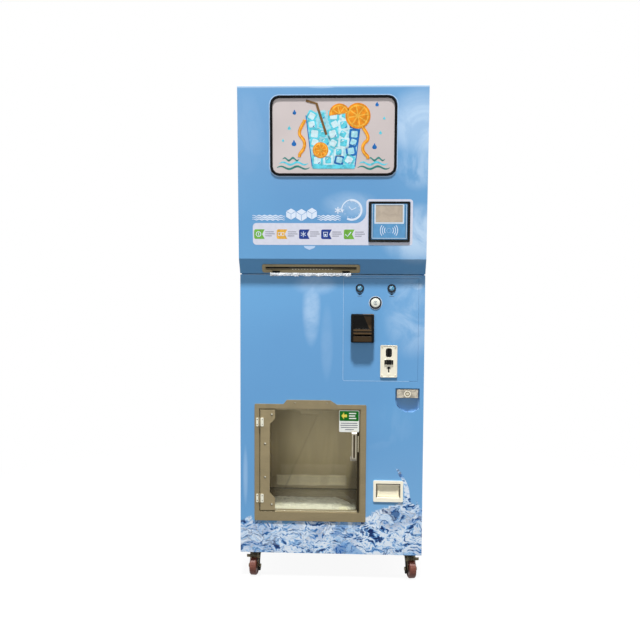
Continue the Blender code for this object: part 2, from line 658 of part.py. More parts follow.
def ice_hinge_fixed(middle):
    """The frame's half of a small hinge: leaf, lower knuckle and pin."""
    foot, head = middle - ICE_HINGE_HEIGHT / 2, middle + ICE_HINGE_HEIGHT / 2
    leaf_left = ICE_AXIS[0] - ICE_LEAF_WIDTH
    leaf = block((leaf_left, -FRAME_PROUD - ICE_LEAF_THICKNESS, foot),
                 (ICE_AXIS[0] - ICE_KNUCKLE_RADIUS - PIN_GAP, LAP - FRAME_PROUD, head))
    lug = block((leaf_left + ICE_LEAF_WIDTH / 2, -FRAME_PROUD - ICE_LEAF_THICKNESS, foot),
                (ICE_AXIS[0], LAP - FRAME_PROUD, middle))
    knuckle = rod("Z", ICE_AXIS, ICE_KNUCKLE_RADIUS, foot, middle, KNOB_SIDES)
    pin = rod("Z", ICE_AXIS, ICE_PIN_RADIUS, middle - ICE_HINGE_HEIGHT / 4, head)
    half = fuse(knuckle, leaf, lug, pin)
    inside = block(
        (OPEN_LOW[0], -FRAME_PROUD + SEAT_GAP / 2, foot - OVERRUN), (ICE_AXIS[0] + OVERRUN, OVERRUN, head)
    )
    return cut(half, inside)


def ice_hinge_moving(middle):
    """The glass's half: an upper knuckle, bored, on a raised leaf."""
    foot, head = middle + SEAT_GAP, middle + ICE_HINGE_HEIGHT / 2
    low = middle - ICE_HINGE_HEIGHT / 2
    leaf = block((STRIP_LEFT, STRIP_FRONT - ICE_LEAF_THICKNESS, low),
                 (STRIP_LEFT + ICE_LEAF_WIDTH, STRIP_FRONT + LAP, head))
    lug = block((ICE_AXIS[0], STRIP_FRONT - ICE_LEAF_THICKNESS, foot),
                (STRIP_LEFT + LAP, STRIP_FRONT + LAP, head))
    half = fuse(rod("Z", ICE_AXIS, ICE_KNUCKLE_RADIUS, foot, head, KNOB_SIDES), leaf, lug)
    return cut(half, rod("Z", ICE_AXIS, ICE_PIN_RADIUS + PIN_GAP, foot - OVERRUN, head + OVERRUN))


def build_ice_door(door):
    hinge = carrier("ice_door_axis", door, Matrix.Translation((*ICE_AXIS, GLASS_LOW[1])))
    origin = (*ICE_AXIS, GLASS_LOW[1])
    glass = prism(eased(rectangle(GLASS_LOW, GLASS_HIGH), GLASS_CORNER), "Y", GLASS_FRONT, -GLASS_FRONT)
    place_piece(glass, "ice_door_glass", "glass", hinge, origin)

    foot, head = GLASS_LOW[1] + STRIP_END_GAP, GLASS_HIGH[1] - STRIP_END_GAP
    inner, outer = GLASS_LOW[0] + STRIP_WIDTH, GLASS_LOW[0] + STRIP_FOOT_WIDTH
    outline = [
        (STRIP_LEFT, foot), (outer, foot), (outer, foot + STRIP_LOW_FOOT),
        (inner, foot + STRIP_LOW_FOOT + STRIP_CHAMFER), (inner, head - STRIP_TOP_FOOT - STRIP_CHAMFER),
        (outer, head - STRIP_TOP_FOOT), (outer, head), (STRIP_LEFT, head),
    ]
    strip = prism(outline, "Y", STRIP_FRONT, GLASS_FRONT - SEAT_GAP)
    middle = (STRIP_LEFT + inner) / 2
    edge = (inner + outer) / 2 - SCREW_HEAD_RADIUS / 2
    third = (head - foot) / 3
    screws = [(edge, foot + STRIP_LOW_FOOT / 2), (middle, foot + third), (middle, head - third),
              (edge, head - STRIP_TOP_FOOT / 2)]
    heads = [
        rod("Y", spot, SCREW_HEAD_RADIUS, STRIP_FRONT - SCREW_HEAD_HEIGHT, STRIP_FRONT + LAP) for spot in screws
    ]
    fuse(strip, *heads, *[ice_hinge_moving(height) for height in ice_hinge_heights()])
    place_piece(strip, "ice_door_hinge_strip", "steel", hinge, origin)

    right = GLASS_HIGH[0] - HANDLE_EDGE_INSET
    left = right - HANDLE_WIDTH
    centre = GLASS_LOW[1] + HANDLE_RISE_SHARE * (GLASS_HIGH[1] - GLASS_LOW[1])
    low, high = centre - HANDLE_HEIGHT / 2, centre + HANDLE_HEIGHT / 2
    seat = GLASS_FRONT - SEAT_GAP
    front = seat - HANDLE_REACH
    slope = HANDLE_THICKNESS
    outer_path = [(seat, low), (front + slope, low), (front, low + slope), (front, high - slope),
                  (front + slope, high), (seat, high)]
    inner_path = [
        (seat, high - HANDLE_THICKNESS), (front + 2 * slope, high - HANDLE_THICKNESS),
        (front + HANDLE_THICKNESS, high - 2 * slope), (front + HANDLE_THICKNESS, low + 2 * slope),
        (front + 2 * slope, low + HANDLE_THICKNESS), (seat, low + HANDLE_THICKNESS),
    ]
    handle = prism(outer_path + inner_path, "X", left, right)
    foot_plate = block((left - HANDLE_FOOT_EXTRA, seat - HANDLE_THICKNESS / 2, low - HANDLE_FOOT_EXTRA),
                       (right - LAP, seat, low + HANDLE_THICKNESS + HANDLE_FOOT_EXTRA))
    place_piece(fuse(handle, foot_plate), "ice_door_handle", "steel", hinge, origin)


# Payment panel: flush in the lower door, held by a flange behind the door's sheet
PAYMENT_LEFT_INSET = 0.319
PAYMENT_RIGHT_INSET = 0.025
PAYMENT_TOP_DROP = 0.015
PAYMENT_BOTTOM_DROP = 0.421
PAYMENT_SEAM = 0.001
PAYMENT_FLANGE = 0.008

PAYMENT_LOW = (RIGHT - PAYMENT_LEFT_INSET, SPLIT - PAYMENT_BOTTOM_DROP)
PAYMENT_HIGH = (RIGHT - PAYMENT_RIGHT_INSET, SPLIT - PAYMENT_TOP_DROP)

# Push buttons: rings and caps, and each centre from the right edge and down from the split
BUTTON_RISE = 0.005
RING_PROUD = 0.0035
CAP_LENGTH = 0.020
BARREL_DEPTH = 0.040
BARREL_WALL = 0.002
CAP_GAP = 0.0005
SMALL_RING_RADIUS = 0.017
SMALL_CAP_RADIUS = 0.0105
MAIN_RING_RADIUS = 0.024
MAIN_CAP_RADIUS = 0.0185
LEFT_BUTTON_INSET = 0.256
RIGHT_BUTTON_INSET = 0.131
SMALL_BUTTON_DROP = 0.054
MAIN_BUTTON_INSET = 0.194
MAIN_BUTTON_DROP = 0.111

LEFT_BUTTON_CENTRE = (RIGHT - LEFT_BUTTON_INSET, SPLIT - SMALL_BUTTON_DROP)
RIGHT_BUTTON_CENTRE = (RIGHT - RIGHT_BUTTON_INSET, SPLIT - SMALL_BUTTON_DROP)
MAIN_BUTTON_CENTRE = (RIGHT - MAIN_BUTTON_INSET, SPLIT - MAIN_BUTTON_DROP)

BUTTONS = {
    "left_button": (LEFT_BUTTON_CENTRE, SMALL_RING_RADIUS, SMALL_CAP_RADIUS, "button_blue"),
    "right_button": (RIGHT_BUTTON_CENTRE, SMALL_RING_RADIUS, SMALL_CAP_RADIUS, "button_blue"),
    "main_button": (MAIN_BUTTON_CENTRE, MAIN_RING_RADIUS, MAIN_CAP_RADIUS, "button_white"),
}


def build_buttons(door):
    for name, (centre, ring, cap, finish) in BUTTONS.items():
        bore = cap + CAP_GAP
        neck = bore + BARREL_WALL
        crest = ring - RING_PROUD / 2
        profile = [
            (0, BARREL_DEPTH), (neck, BARREL_DEPTH), (neck, -SEAT_GAP), (ring, -SEAT_GAP),
            (ring, -RING_PROUD / 2), (crest, -RING_PROUD), (bore, -RING_PROUD),
            (bore, BARREL_DEPTH - BARREL_WALL), (0, BARREL_DEPTH - BARREL_WALL),
        ]
        place_piece(turned(profile, "Y", centre), name + "_housing", "steel", door)
        dome = [
            (0, -BUTTON_RISE), (cap / 2, -BUTTON_RISE + BUTTON_RISE / 10), (cap * 0.85, -BUTTON_RISE * 0.8)
        ]
        shank = [(cap, -BUTTON_RISE * 0.5), (cap, CAP_LENGTH), (0, CAP_LENGTH)]
        place_piece(turned(dome + shank, "Y", centre), name + "_cap", finish, door, (centre[0], 0, centre[1]))


# Note acceptor: a proud moulded bezel with a window pocket, guide bars and the note slot, and its body behind
BILL_INSET = 0.2445
BILL_DROP = 0.211
BILL_WIDTH = 0.091
BILL_HEIGHT = 0.112
BILL_PROUD = 0.030
BILL_EDGE = 0.004
BILL_NECK_MARGIN = 0.005
BILL_BODY_DEPTH = 0.110
BILL_BODY_DROP = 0.100
BILL_MARGIN = 0.010
WINDOW_TOP_MARGIN = 0.0075
WINDOW_HEIGHT = 0.049
WINDOW_DEPTH = 0.014
BAR_HEIGHT = 0.0065
BAR_GAP = 0.006
BAR_PROUD = 0.002
NOTE_SLOT_HEIGHT = 0.0064
NOTE_SLOT_DEPTH = 0.070
SILL_PROUD = 0.005

BILL_CENTRE = (RIGHT - BILL_INSET, SPLIT - BILL_DROP)
BILL_LOW, BILL_HIGH = around(BILL_CENTRE, (BILL_WIDTH, BILL_HEIGHT))
BILL_NECK_LOW, BILL_NECK_HIGH = grown(BILL_LOW, BILL_HIGH, -BILL_NECK_MARGIN)


def softened(obj, width, segments=2, angle=50):
    """Rounds the sharp edges of a piece, and keeps the result."""
    modifier = obj.modifiers.new("edge", "BEVEL")
    modifier.width = width
    modifier.segments = segments
    modifier.limit_method = "ANGLE"
    modifier.angle_limit = math.radians(angle)
    return combine(obj, [], "UNION")


def build_bill_acceptor(door):
    bezel = softened(
        block((BILL_LOW[0], -BILL_PROUD, BILL_LOW[1]), (BILL_HIGH[0], 2 * BILL_EDGE, BILL_HIGH[1])), BILL_EDGE
    )
    cut(bezel, block((BILL_LOW[0] - OVERRUN, -SEAT_GAP, BILL_LOW[1] - OVERRUN),
                     (BILL_HIGH[0] + OVERRUN, 2 * BILL_EDGE + OVERRUN, BILL_HIGH[1] + OVERRUN)))
    neck = block((BILL_NECK_LOW[0], -BILL_PROUD / 2, BILL_NECK_LOW[1]),
                 (BILL_NECK_HIGH[0], BILL_BODY_DEPTH, BILL_NECK_HIGH[1]))
    body = block((BILL_NECK_LOW[0], SHEET + SEAT_GAP, BILL_NECK_LOW[1] - BILL_BODY_DROP),
                 (BILL_NECK_HIGH[0], BILL_BODY_DEPTH, BILL_NECK_LOW[1] + LAP))
    left, right = BILL_LOW[0] + BILL_MARGIN, BILL_HIGH[0] - BILL_MARGIN
    window_top = BILL_HIGH[1] - WINDOW_TOP_MARGIN
    window_foot = window_top - WINDOW_HEIGHT
    first_bar = window_foot - BAR_GAP / 2
    second_bar = first_bar - BAR_HEIGHT - BAR_GAP
    slot_top = second_bar - BAR_HEIGHT - BAR_GAP / 6
    slot_foot = slot_top - NOTE_SLOT_HEIGHT
    bars = [
        block((left, -BILL_PROUD - BAR_PROUD, head - BAR_HEIGHT), (right, LAP - BILL_PROUD, head))
        for head in (first_bar, second_bar)
    ]
    sill = block((left, -BILL_PROUD - SILL_PROUD, BILL_LOW[1] + BILL_EDGE + LAP),
                 (right, LAP - BILL_PROUD, slot_foot - SEAT_GAP))
    fuse(bezel, neck, body, *bars, sill)
    cut(
        bezel,
        block((left, -BILL_PROUD - OVERRUN, window_foot), (right, WINDOW_DEPTH - BILL_PROUD, window_top)),
        block((left, -BILL_PROUD - 2 * OVERRUN, slot_foot), (right, NOTE_SLOT_DEPTH - BILL_PROUD, slot_top)),
    )
    place_piece(bezel, "bill_acceptor", "black_plastic", door)


# Coin acceptor: a steel plate with a raised rim, the coin slot in its recess, and the reject button
COIN_INSET = 0.1395
COIN_DROP = 0.342
COIN_WIDTH = 0.067
COIN_HEIGHT = 0.128
COIN_PLATE = 0.0030
COIN_CORNER = 0.004
COIN_RIM_WIDTH = 0.003
COIN_RIM_PROUD = 0.0015
COIN_NECK_MARGIN = 0.005
COIN_BODY_DEPTH = 0.060
COIN_SCREW_INSET = 0.008
COIN_SCREW_RADIUS = 0.0032
FUNNEL_WIDTH = 0.024
FUNNEL_HEIGHT = 0.036
FUNNEL_TOP_MARGIN = 0.012
FUNNEL_DEPTH = 0.0018
COIN_SLOT_WIDTH = 0.0036
COIN_SLOT_DEPTH = 0.045
REJECT_WIDTH = 0.019
REJECT_HEIGHT = 0.018
REJECT_DROP = 0.0035
REJECT_LENGTH = 0.020
REJECT_PROUD = 0.007
REJECT_GAP = 0.0005
REJECT_TRAVEL = 0.004
GUARD_WIDTH = 0.007
GUARD_PROUD = 0.004
KEYHOLE_RADIUS = 0.0055
KEYHOLE_WAIST = 0.005
KEYHOLE_LENGTH = 0.019
KEYHOLE_DEPTH = 0.004
KEYHOLE_DROP = 0.026
BOSS_RADIUS = 0.006
BOSS_PROUD = 0.002
BOSS_INSET = 0.011

COIN_CENTRE = (RIGHT - COIN_INSET, SPLIT - COIN_DROP)
COIN_LOW, COIN_HIGH = around(COIN_CENTRE, (COIN_WIDTH, COIN_HEIGHT))
COIN_NECK_LOW, COIN_NECK_HIGH = grown(COIN_LOW, COIN_HIGH, -COIN_NECK_MARGIN)
REJECT_CENTRE = (COIN_CENTRE[0], COIN_CENTRE[1] - REJECT_DROP)


def build_coin_acceptor(door):
    plate_front = -SEAT_GAP - COIN_PLATE
    plate = prism(eased(rectangle(COIN_LOW, COIN_HIGH), COIN_CORNER), "Y", plate_front, -SEAT_GAP)
    rim = prism(
        eased(rectangle(COIN_LOW, COIN_HIGH), COIN_CORNER), "Y", plate_front - COIN_RIM_PROUD,
        LAP + plate_front,
    )
    inner = grown(COIN_LOW, COIN_HIGH, -COIN_RIM_WIDTH)
    cut(rim, prism(eased(rectangle(*inner), COIN_CORNER / 2), "Y", plate_front - OVERRUN, 0))
    neck = block((COIN_NECK_LOW[0], plate_front / 2, COIN_NECK_LOW[1]),
                 (COIN_NECK_HIGH[0], COIN_BODY_DEPTH, COIN_NECK_HIGH[1]))
    low, high = grown(COIN_LOW, COIN_HIGH, -COIN_SCREW_INSET)
    screws = [
        rod("Y", spot, COIN_SCREW_RADIUS, plate_front - COIN_RIM_PROUD, plate_front + LAP)
        for spot in rectangle(low, high)
    ]
    reject_low, reject_high = around(REJECT_CENTRE, (REJECT_WIDTH, REJECT_HEIGHT))
    guards = []
    for side in (-1, 1):
        inner_edge = REJECT_CENTRE[0] + side * (REJECT_WIDTH / 2 + REJECT_GAP * 2)
        near, far = sorted((inner_edge, inner_edge + side * GUARD_WIDTH))
        guards.append(
            block((near, plate_front - GUARD_PROUD, reject_low[1]), (far, LAP + plate_front, reject_high[1]))
        )
    boss = rod("Y", (COIN_CENTRE[0], COIN_LOW[1] + BOSS_INSET), BOSS_RADIUS, plate_front - BOSS_PROUD,
               LAP + plate_front, KNOB_SIDES)
    fuse(plate, rim, neck, *screws, *guards, boss)
    funnel_top = COIN_HIGH[1] - FUNNEL_TOP_MARGIN
    funnel = prism(
        eased(rectangle((COIN_CENTRE[0] - FUNNEL_WIDTH / 2, funnel_top - FUNNEL_HEIGHT),
                        (COIN_CENTRE[0] + FUNNEL_WIDTH / 2, funnel_top)), FUNNEL_WIDTH / 3),
        "Y", plate_front - OVERRUN, plate_front + FUNNEL_DEPTH,
    )
    slot_margin = (FUNNEL_HEIGHT - FUNNEL_WIDTH) / 4
    slot = block((COIN_CENTRE[0] - COIN_SLOT_WIDTH / 2, -OVERRUN, funnel_top - FUNNEL_HEIGHT + slot_margin),
                 (COIN_CENTRE[0] + COIN_SLOT_WIDTH / 2, COIN_SLOT_DEPTH, funnel_top - slot_margin))
    hole_low, hole_high = grown(reject_low, reject_high, REJECT_GAP)
    socket_back = REJECT_LENGTH - REJECT_PROUD + 2 * REJECT_TRAVEL
    socket = block(
        (hole_low[0], plate_front - OVERRUN, hole_low[1]), (hole_high[0], socket_back, hole_high[1])
    )
    key_centre = (COIN_CENTRE[0], COIN_CENTRE[1] - KEYHOLE_DROP)
    half = KEYHOLE_WAIST / 2
    key_round = rod(
        "Y", key_centre, KEYHOLE_RADIUS, plate_front - OVERRUN, plate_front + KEYHOLE_DEPTH, KNOB_SIDES
    )
    key_waist = block((key_centre[0] - half, plate_front - OVERRUN, key_centre[1] - KEYHOLE_LENGTH),
                      (key_centre[0] + half, plate_front + KEYHOLE_DEPTH * 0.9, key_centre[1]))
    cut(plate, funnel, slot, socket, key_round, key_waist)
    place_piece(plate, "coin_acceptor", "steel", door)

    front = plate_front - REJECT_PROUD
    button = block(
        (reject_low[0], front, reject_low[1]), (reject_high[0], front + REJECT_LENGTH, reject_high[1])
    )
    origin = (REJECT_CENTRE[0], front, REJECT_CENTRE[1])
    place_piece(softened(button, REJECT_GAP * 2), "coin_reject_button", "black_plastic", door, origin)


def build_payment_panel(door):
    panel = block(
        (PAYMENT_LOW[0], 0, PAYMENT_LOW[1]), (PAYMENT_HIGH[0], 2 * SHEET + SEAT_GAP, PAYMENT_HIGH[1])
    )
    flange_low, flange_high = grown(PAYMENT_LOW, PAYMENT_HIGH, PAYMENT_SEAM + PAYMENT_FLANGE)
    flange = block(
        (flange_low[0], SHEET + SEAT_GAP, flange_low[1]),
        (flange_high[0], 2 * SHEET + SEAT_GAP, flange_high[1]),
    )
    inner_low, inner_high = grown(PAYMENT_LOW, PAYMENT_HIGH, -SHEET)
    fuse(panel, flange)
    holes = [block((inner_low[0], SHEET, inner_low[1]), (inner_high[0], 2 * SHEET + OVERRUN, inner_high[1]))]
    for low, high in ((BILL_NECK_LOW, BILL_NECK_HIGH), (COIN_NECK_LOW, COIN_NECK_HIGH)):
        hole_low, hole_high = grown(low, high, SEAT_GAP)
        holes.append(block((hole_low[0], -OVERRUN, hole_low[1]), (hole_high[0], OVERRUN, hole_high[1])))
    for centre, _, cap, _ in BUTTONS.values():
        neck = cap + CAP_GAP + BARREL_WALL + SEAT_GAP
        holes.append(rod("Y", centre, neck / math.cos(math.pi / KNOB_SIDES), -OVERRUN, OVERRUN, KNOB_SIDES))
    place_piece(cut(panel, *holes), "payment_panel", "blue_wrap", door)


# Door lock: a steel plate across a pressed pocket, a finger recess below it, and a turning cylinder with its cam
LOCK_INSET = 0.064
LOCK_DROP = 0.4713
LOCK_PLATE_WIDTH = 0.084
LOCK_PLATE_HEIGHT = 0.033
LOCK_PLATE_THICKNESS = 0.0025
LOCK_PLATE_SINK = 0.001
POCKET_SIDE_MARGIN = 0.0055
POCKET_TOP_MARGIN = 0.005
POCKET_DROP = 0.0745
POCKET_DEPTH = 0.018
POCKET_FOOT_SHARES = ((1.0, 0.745), (0.745, 1.0), (0.420, 1.0), (0.180, 0.775), (0.074, 0.580), (0.0, 0.255))
LOCK_RING_RADIUS = 0.0158
LOCK_RING_PROUD = 0.002
LOCK_CORE_RADIUS = 0.0135
LOCK_SHAFT_RADIUS = 0.006
LOCK_BARREL_DEPTH = 0.055
LOCK_CORE_DEPTH = 0.025
LOCK_COLLAR_MARGIN = 0.003
KEYWAY_WIDTH = 0.002
KEYWAY_HEIGHT = 0.009
KEYWAY_DEPTH = 0.004
CAM_LENGTH = 0.050
CAM_WIDTH = 0.016
CAM_THICKNESS = 0.004
CAM_GAP = 0.0014

LOCK_CENTRE = (RIGHT - LOCK_INSET, SPLIT - LOCK_DROP)
LOCK_LOW, LOCK_HIGH = around(LOCK_CENTRE, (LOCK_PLATE_WIDTH, LOCK_PLATE_HEIGHT))
POCKET_FLOOR = LOCK_PLATE_SINK + POCKET_DEPTH


def pocket_outline():
    """The pocket's front edge: square above, drawn in to a short foot below the plate."""
    low = (LOCK_LOW[0] - POCKET_SIDE_MARGIN, LOCK_CENTRE[1] - POCKET_DROP)
    high = (LOCK_HIGH[0] + POCKET_SIDE_MARGIN, LOCK_HIGH[1] + POCKET_TOP_MARGIN)
    width, fall = high[0] - low[0], LOCK_LOW[1] - low[1]
    foot = [(low[0] + across * width, LOCK_LOW[1] - down * fall) for across, down in POCKET_FOOT_SHARES]
    return [high, (low[0], high[1])] + foot[::-1]


def build_lock(door):
    plate_back = LOCK_PLATE_SINK + LOCK_PLATE_THICKNESS
    plate = block((LOCK_LOW[0], LOCK_PLATE_SINK, LOCK_LOW[1]), (LOCK_HIGH[0], plate_back, LOCK_HIGH[1]))
    collar_low, collar_high = around(LOCK_CENTRE, (2 * LOCK_RING_RADIUS + 2 * LOCK_COLLAR_MARGIN,
                                                    LOCK_PLATE_HEIGHT - LOCK_COLLAR_MARGIN / 3))
    collar = block(
        (collar_low[0], plate_back - LAP, collar_low[1]),
        (collar_high[0], POCKET_FLOOR - SEAT_GAP, collar_high[1]),
    )
    ring = rod("Y", LOCK_CENTRE, LOCK_RING_RADIUS, -LOCK_RING_PROUD, plate_back, KNOB_SIDES)
    barrel = rod(
        "Y", LOCK_CENTRE, LOCK_RING_RADIUS - SEAT_GAP, POCKET_FLOOR - 2 * LAP, LOCK_BARREL_DEPTH, KNOB_SIDES
    )
    fuse(plate, collar, ring, barrel)
    cut(
        plate,
        rod("Y", LOCK_CENTRE, LOCK_CORE_RADIUS + PIN_GAP, -OVERRUN, LOCK_CORE_DEPTH + SEAT_GAP, KNOB_SIDES),
        rod("Y", LOCK_CENTRE, LOCK_SHAFT_RADIUS + PIN_GAP, 0, LOCK_BARREL_DEPTH + OVERRUN, KNOB_SIDES),
    )
    place_piece(plate, "lock_plate", "steel", door)

    cam_front = POST_BACK + CAM_GAP
    core = rod(
        "Y", LOCK_CENTRE, LOCK_CORE_RADIUS, LOCK_RING_PROUD / 4 - LOCK_RING_PROUD, LOCK_CORE_DEPTH, KNOB_SIDES
    )
    shaft = rod(
        "Y", LOCK_CENTRE, LOCK_SHAFT_RADIUS, LOCK_CORE_DEPTH - LAP, cam_front + CAM_THICKNESS + CAM_GAP,
        KNOB_SIDES,
    )
    half = CAM_WIDTH / 2
    cam_outline = eased(
        rectangle(
            (LOCK_CENTRE[0] - half, LOCK_CENTRE[1] - half),
            (LOCK_CENTRE[0] + half, LOCK_CENTRE[1] + CAM_LENGTH),
        ),
        half / 2,
    )
    fuse(core, shaft, prism(cam_outline, "Y", cam_front, cam_front + CAM_THICKNESS))
    keyway = block((LOCK_CENTRE[0] - KEYWAY_WIDTH / 2, -OVERRUN, LOCK_CENTRE[1] - KEYWAY_HEIGHT / 2),
                   (LOCK_CENTRE[0] + KEYWAY_WIDTH / 2, KEYWAY_DEPTH, LOCK_CENTRE[1] + KEYWAY_HEIGHT / 2))
    axis = carrier("lock_axis", door, Matrix.Translation((LOCK_CENTRE[0], 0, LOCK_CENTRE[1])))
    place_piece(cut(core, keyway), "lock_cylinder", "steel", axis, (LOCK_CENTRE[0], 0, LOCK_CENTRE[1]))


# Coin return: a cast plate, a cup behind it, and a flap hung from pins in the cup's walls
RETURN_INSET = 0.1365
RETURN_RISE = 0.260
RETURN_WIDTH = 0.119
RETURN_HEIGHT = 0.086
RETURN_PLATE = 0.004
RETURN_CORNER = 0.005
CUP_WIDTH = 0.093
CUP_HEIGHT = 0.056
CUP_DEPTH = 0.056
CUP_WALL = 0.002
FLAP_GAP = 0.002
FLAP_SETBACK = 0.006
FLAP_THICKNESS = 0.0026
FLAP_PIN_RADIUS = 0.0015
FLAP_DISH_MARGIN = 0.008
FLAP_DISH_DEPTH = 0.001

RETURN_CENTRE = (RIGHT - RETURN_INSET, BODY_BOTTOM + RETURN_RISE)
CUP_LOW, CUP_HIGH = around(RETURN_CENTRE, (CUP_WIDTH, CUP_HEIGHT))
MOUTH_LOW, MOUTH_HIGH = grown(CUP_LOW, CUP_HIGH, -CUP_WALL)
FLAP_LOW, FLAP_HIGH = grown(MOUTH_LOW, MOUTH_HIGH, -FLAP_GAP)
FLAP_AXIS = (FLAP_SETBACK, FLAP_HIGH[1] - FLAP_GAP)


def build_coin_return(door):
    plate_low, plate_high = around(RETURN_CENTRE, (RETURN_WIDTH, RETURN_HEIGHT))
    plate = prism(eased(rectangle(plate_low, plate_high), RETURN_CORNER), "Y", -RETURN_PLATE, -SEAT_GAP)
    cup = block((CUP_LOW[0], -RETURN_PLATE / 2, CUP_LOW[1]), (CUP_HIGH[0], CUP_DEPTH, CUP_HIGH[1]))
    fuse(plate, cup)
    hollow = block((MOUTH_LOW[0], -RETURN_PLATE - OVERRUN, MOUTH_LOW[1]),
                   (MOUTH_HIGH[0], CUP_DEPTH - CUP_WALL, MOUTH_HIGH[1]))
    bores = rod("X", FLAP_AXIS, FLAP_PIN_RADIUS + PIN_GAP, CUP_LOW[0] - OVERRUN, CUP_HIGH[0] + OVERRUN)
    cut(plate, hollow, bores)
    place_piece(plate, "coin_return_cup", "steel", door)

    front, back = FLAP_SETBACK - FLAP_THICKNESS / 2, FLAP_SETBACK + FLAP_THICKNESS / 2
    flap = block((FLAP_LOW[0], front, FLAP_LOW[1]), (FLAP_HIGH[0], back, FLAP_HIGH[1]))
    pin = rod("X", FLAP_AXIS, FLAP_PIN_RADIUS, CUP_LOW[0] + SEAT_GAP, CUP_HIGH[0] - SEAT_GAP)
    fuse(flap, pin)
    dish_low, dish_high = grown(FLAP_LOW, FLAP_HIGH, -FLAP_DISH_MARGIN)
    dish = block((dish_low[0], front - OVERRUN, dish_low[1] - FLAP_DISH_MARGIN / 2),
                 (dish_high[0], front + FLAP_DISH_DEPTH, dish_high[1]))
    origin = (RETURN_CENTRE[0], *FLAP_AXIS)
    axis = carrier("coin_return_axis", door, Matrix.Translation(origin))
    place_piece(cut(flap, dish), "coin_return_flap", "steel", axis, origin)


def build_lower_door(machine):
    door = carrier("lower_door_axis", machine, Matrix.Translation((*HINGE_AXIS, BODY_BOTTOM)))
    head = SPLIT - DOOR_SPLIT / 2
    panel = block((LEFT, 0, BODY_BOTTOM), (RIGHT, DOOR_DEPTH, head))
    hollow = block(
        (LEFT + SHEET, SHEET, BODY_BOTTOM + SHEET), (RIGHT - SHEET, DOOR_DEPTH - SHEET, head - SHEET)
    )
    lip = block((LEFT + LIP_WIDTH, SHEET * 2, BODY_BOTTOM + LIP_WIDTH),
                (RIGHT - LIP_WIDTH, DOOR_DEPTH + OVERRUN, head - LIP_WIDTH))
    cut(panel, hollow, lip)
    pocket = prism(shifted(pocket_outline(), -SHEET), "Y", SHEET / 2, POCKET_FLOOR + SHEET)
    fuse(panel, pocket, *[door_hinge(height) for height in LOWER_HINGES])
    frame_low, frame_high = grown(OPEN_LOW, OPEN_HIGH, LINING_SHEET + SEAT_GAP)
    payment_low, payment_high = grown(PAYMENT_LOW, PAYMENT_HIGH, PAYMENT_SEAM)
    cup_low, cup_high = grown(CUP_LOW, CUP_HIGH, SEAT_GAP)
    openings = [
        block((low[0], -OVERRUN, low[1]), (high[0], SHEET + OVERRUN, high[1]))
        for low, high in ((frame_low, frame_high), (payment_low, payment_high), (cup_low, cup_high))
    ]
    pocket_room = prism(pocket_outline(), "Y", -OVERRUN, POCKET_FLOOR)
    barrel_hole = rod("Y", LOCK_CENTRE, LOCK_RING_RADIUS + SEAT_GAP, POCKET_FLOOR - OVERRUN,
                      POCKET_FLOOR + SHEET + OVERRUN, KNOB_SIDES)
    cut(panel, *openings, pocket_room, barrel_hole)
    place_piece(panel, "lower_door_panel", "blue_wrap", door)
    build_payment_panel(door)
    build_buttons(door)
    build_bill_acceptor(door)
    build_coin_acceptor(door)
    build_lock(door)
    build_coin_return(door)
    build_ice_frame(door)
    build_ice_door(door)


# Upper door: sign with its rubber edging and light box, card reader, and the bag slot with its roll
FACE_BEND_RADIUS = 0.006
SIGN_LEFT_INSET = 0.125
SIGN_RIGHT_INSET = 0.120
SIGN_TOP_INSET = 0.0421
SIGN_READER_GAP = 0.0972
SIGN_CORNER = 0.035
EDGING_WIDTH = 0.0085
EDGING_PROUD = 0.004
EDGING_WALL = 0.0025
LENS_THICKNESS = 0.003
LENS_LAP = 0.003
LIGHT_BOX_MARGIN = 0.008
LIGHT_BOX_DEPTH = 0.026
LIGHT_BOX_WALL = 0.003
READER_LEFT_INSET = 0.225
READER_WIDTH = 0.160
READER_RISE = 0.0661
READER_HEIGHT = 0.1554
READER_PROUD = 0.004
READER_CORNER = 0.006
READER_NECK_MARGIN = 0.006
READER_DEPTH = 0.036
READER_RIM = 0.004
READER_RECESS = 0.0012
SCREEN_WIDTH = 0.105
SCREEN_HEIGHT = 0.067
SCREEN_RECESS = 0.0015
SCREEN_TOP_MARGIN = 0.012
SCREEN_LEFT_MARGIN = 0.027

READER_LOW = (RIGHT - READER_LEFT_INSET, READER_RISE)
READER_HIGH = (READER_LOW[0] + READER_WIDTH, READER_RISE + READER_HEIGHT)
SIGN_LOW = (LEFT + SIGN_LEFT_INSET, READER_HIGH[1] + SIGN_READER_GAP)
SIGN_HIGH = (RIGHT - SIGN_RIGHT_INSET, FACE_LENGTH - SIGN_TOP_INSET)

# Bag slot on the sloped band, and the bag roll on its bracket behind it
SLOT_BEZEL_LEFT_INSET = 0.089
SLOT_BEZEL_RIGHT_INSET = 0.256
SLOT_BEZEL_RISE = 0.0085
SLOT_BEZEL_HEIGHT = 0.038
SLOT_BEZEL_PROUD = 0.003
SLOT_BEZEL_CORNER = 0.008
SLOT_SIDE_MARGIN = 0.014
SLOT_HEIGHT = 0.013
SLOT_TOP_MARGIN = 0.011
SLOT_WALL = 0.002
SLOT_NECK_DEPTH = 0.005
SLOT_PAD_WIDTH = 0.030
SLOT_PAD_HEIGHT = 0.009
SLOT_PAD_INSET = 0.040
SLOT_PAD_PROUD = 0.001
ROLL_RADIUS = 0.030
ROLL_PIN_RADIUS = 0.006
ROLL_PIN_REACH = 0.020
ROLL_RISE = 0.155
ROLL_SETBACK = 0.005
ROLL_END_GAP = 0.0005
CHEEK_THICKNESS = 0.003
CHEEK_FOOT_FRONT = 0.006
CHEEK_FOOT_BACK = 0.030
CHEEK_HEAD = 0.012

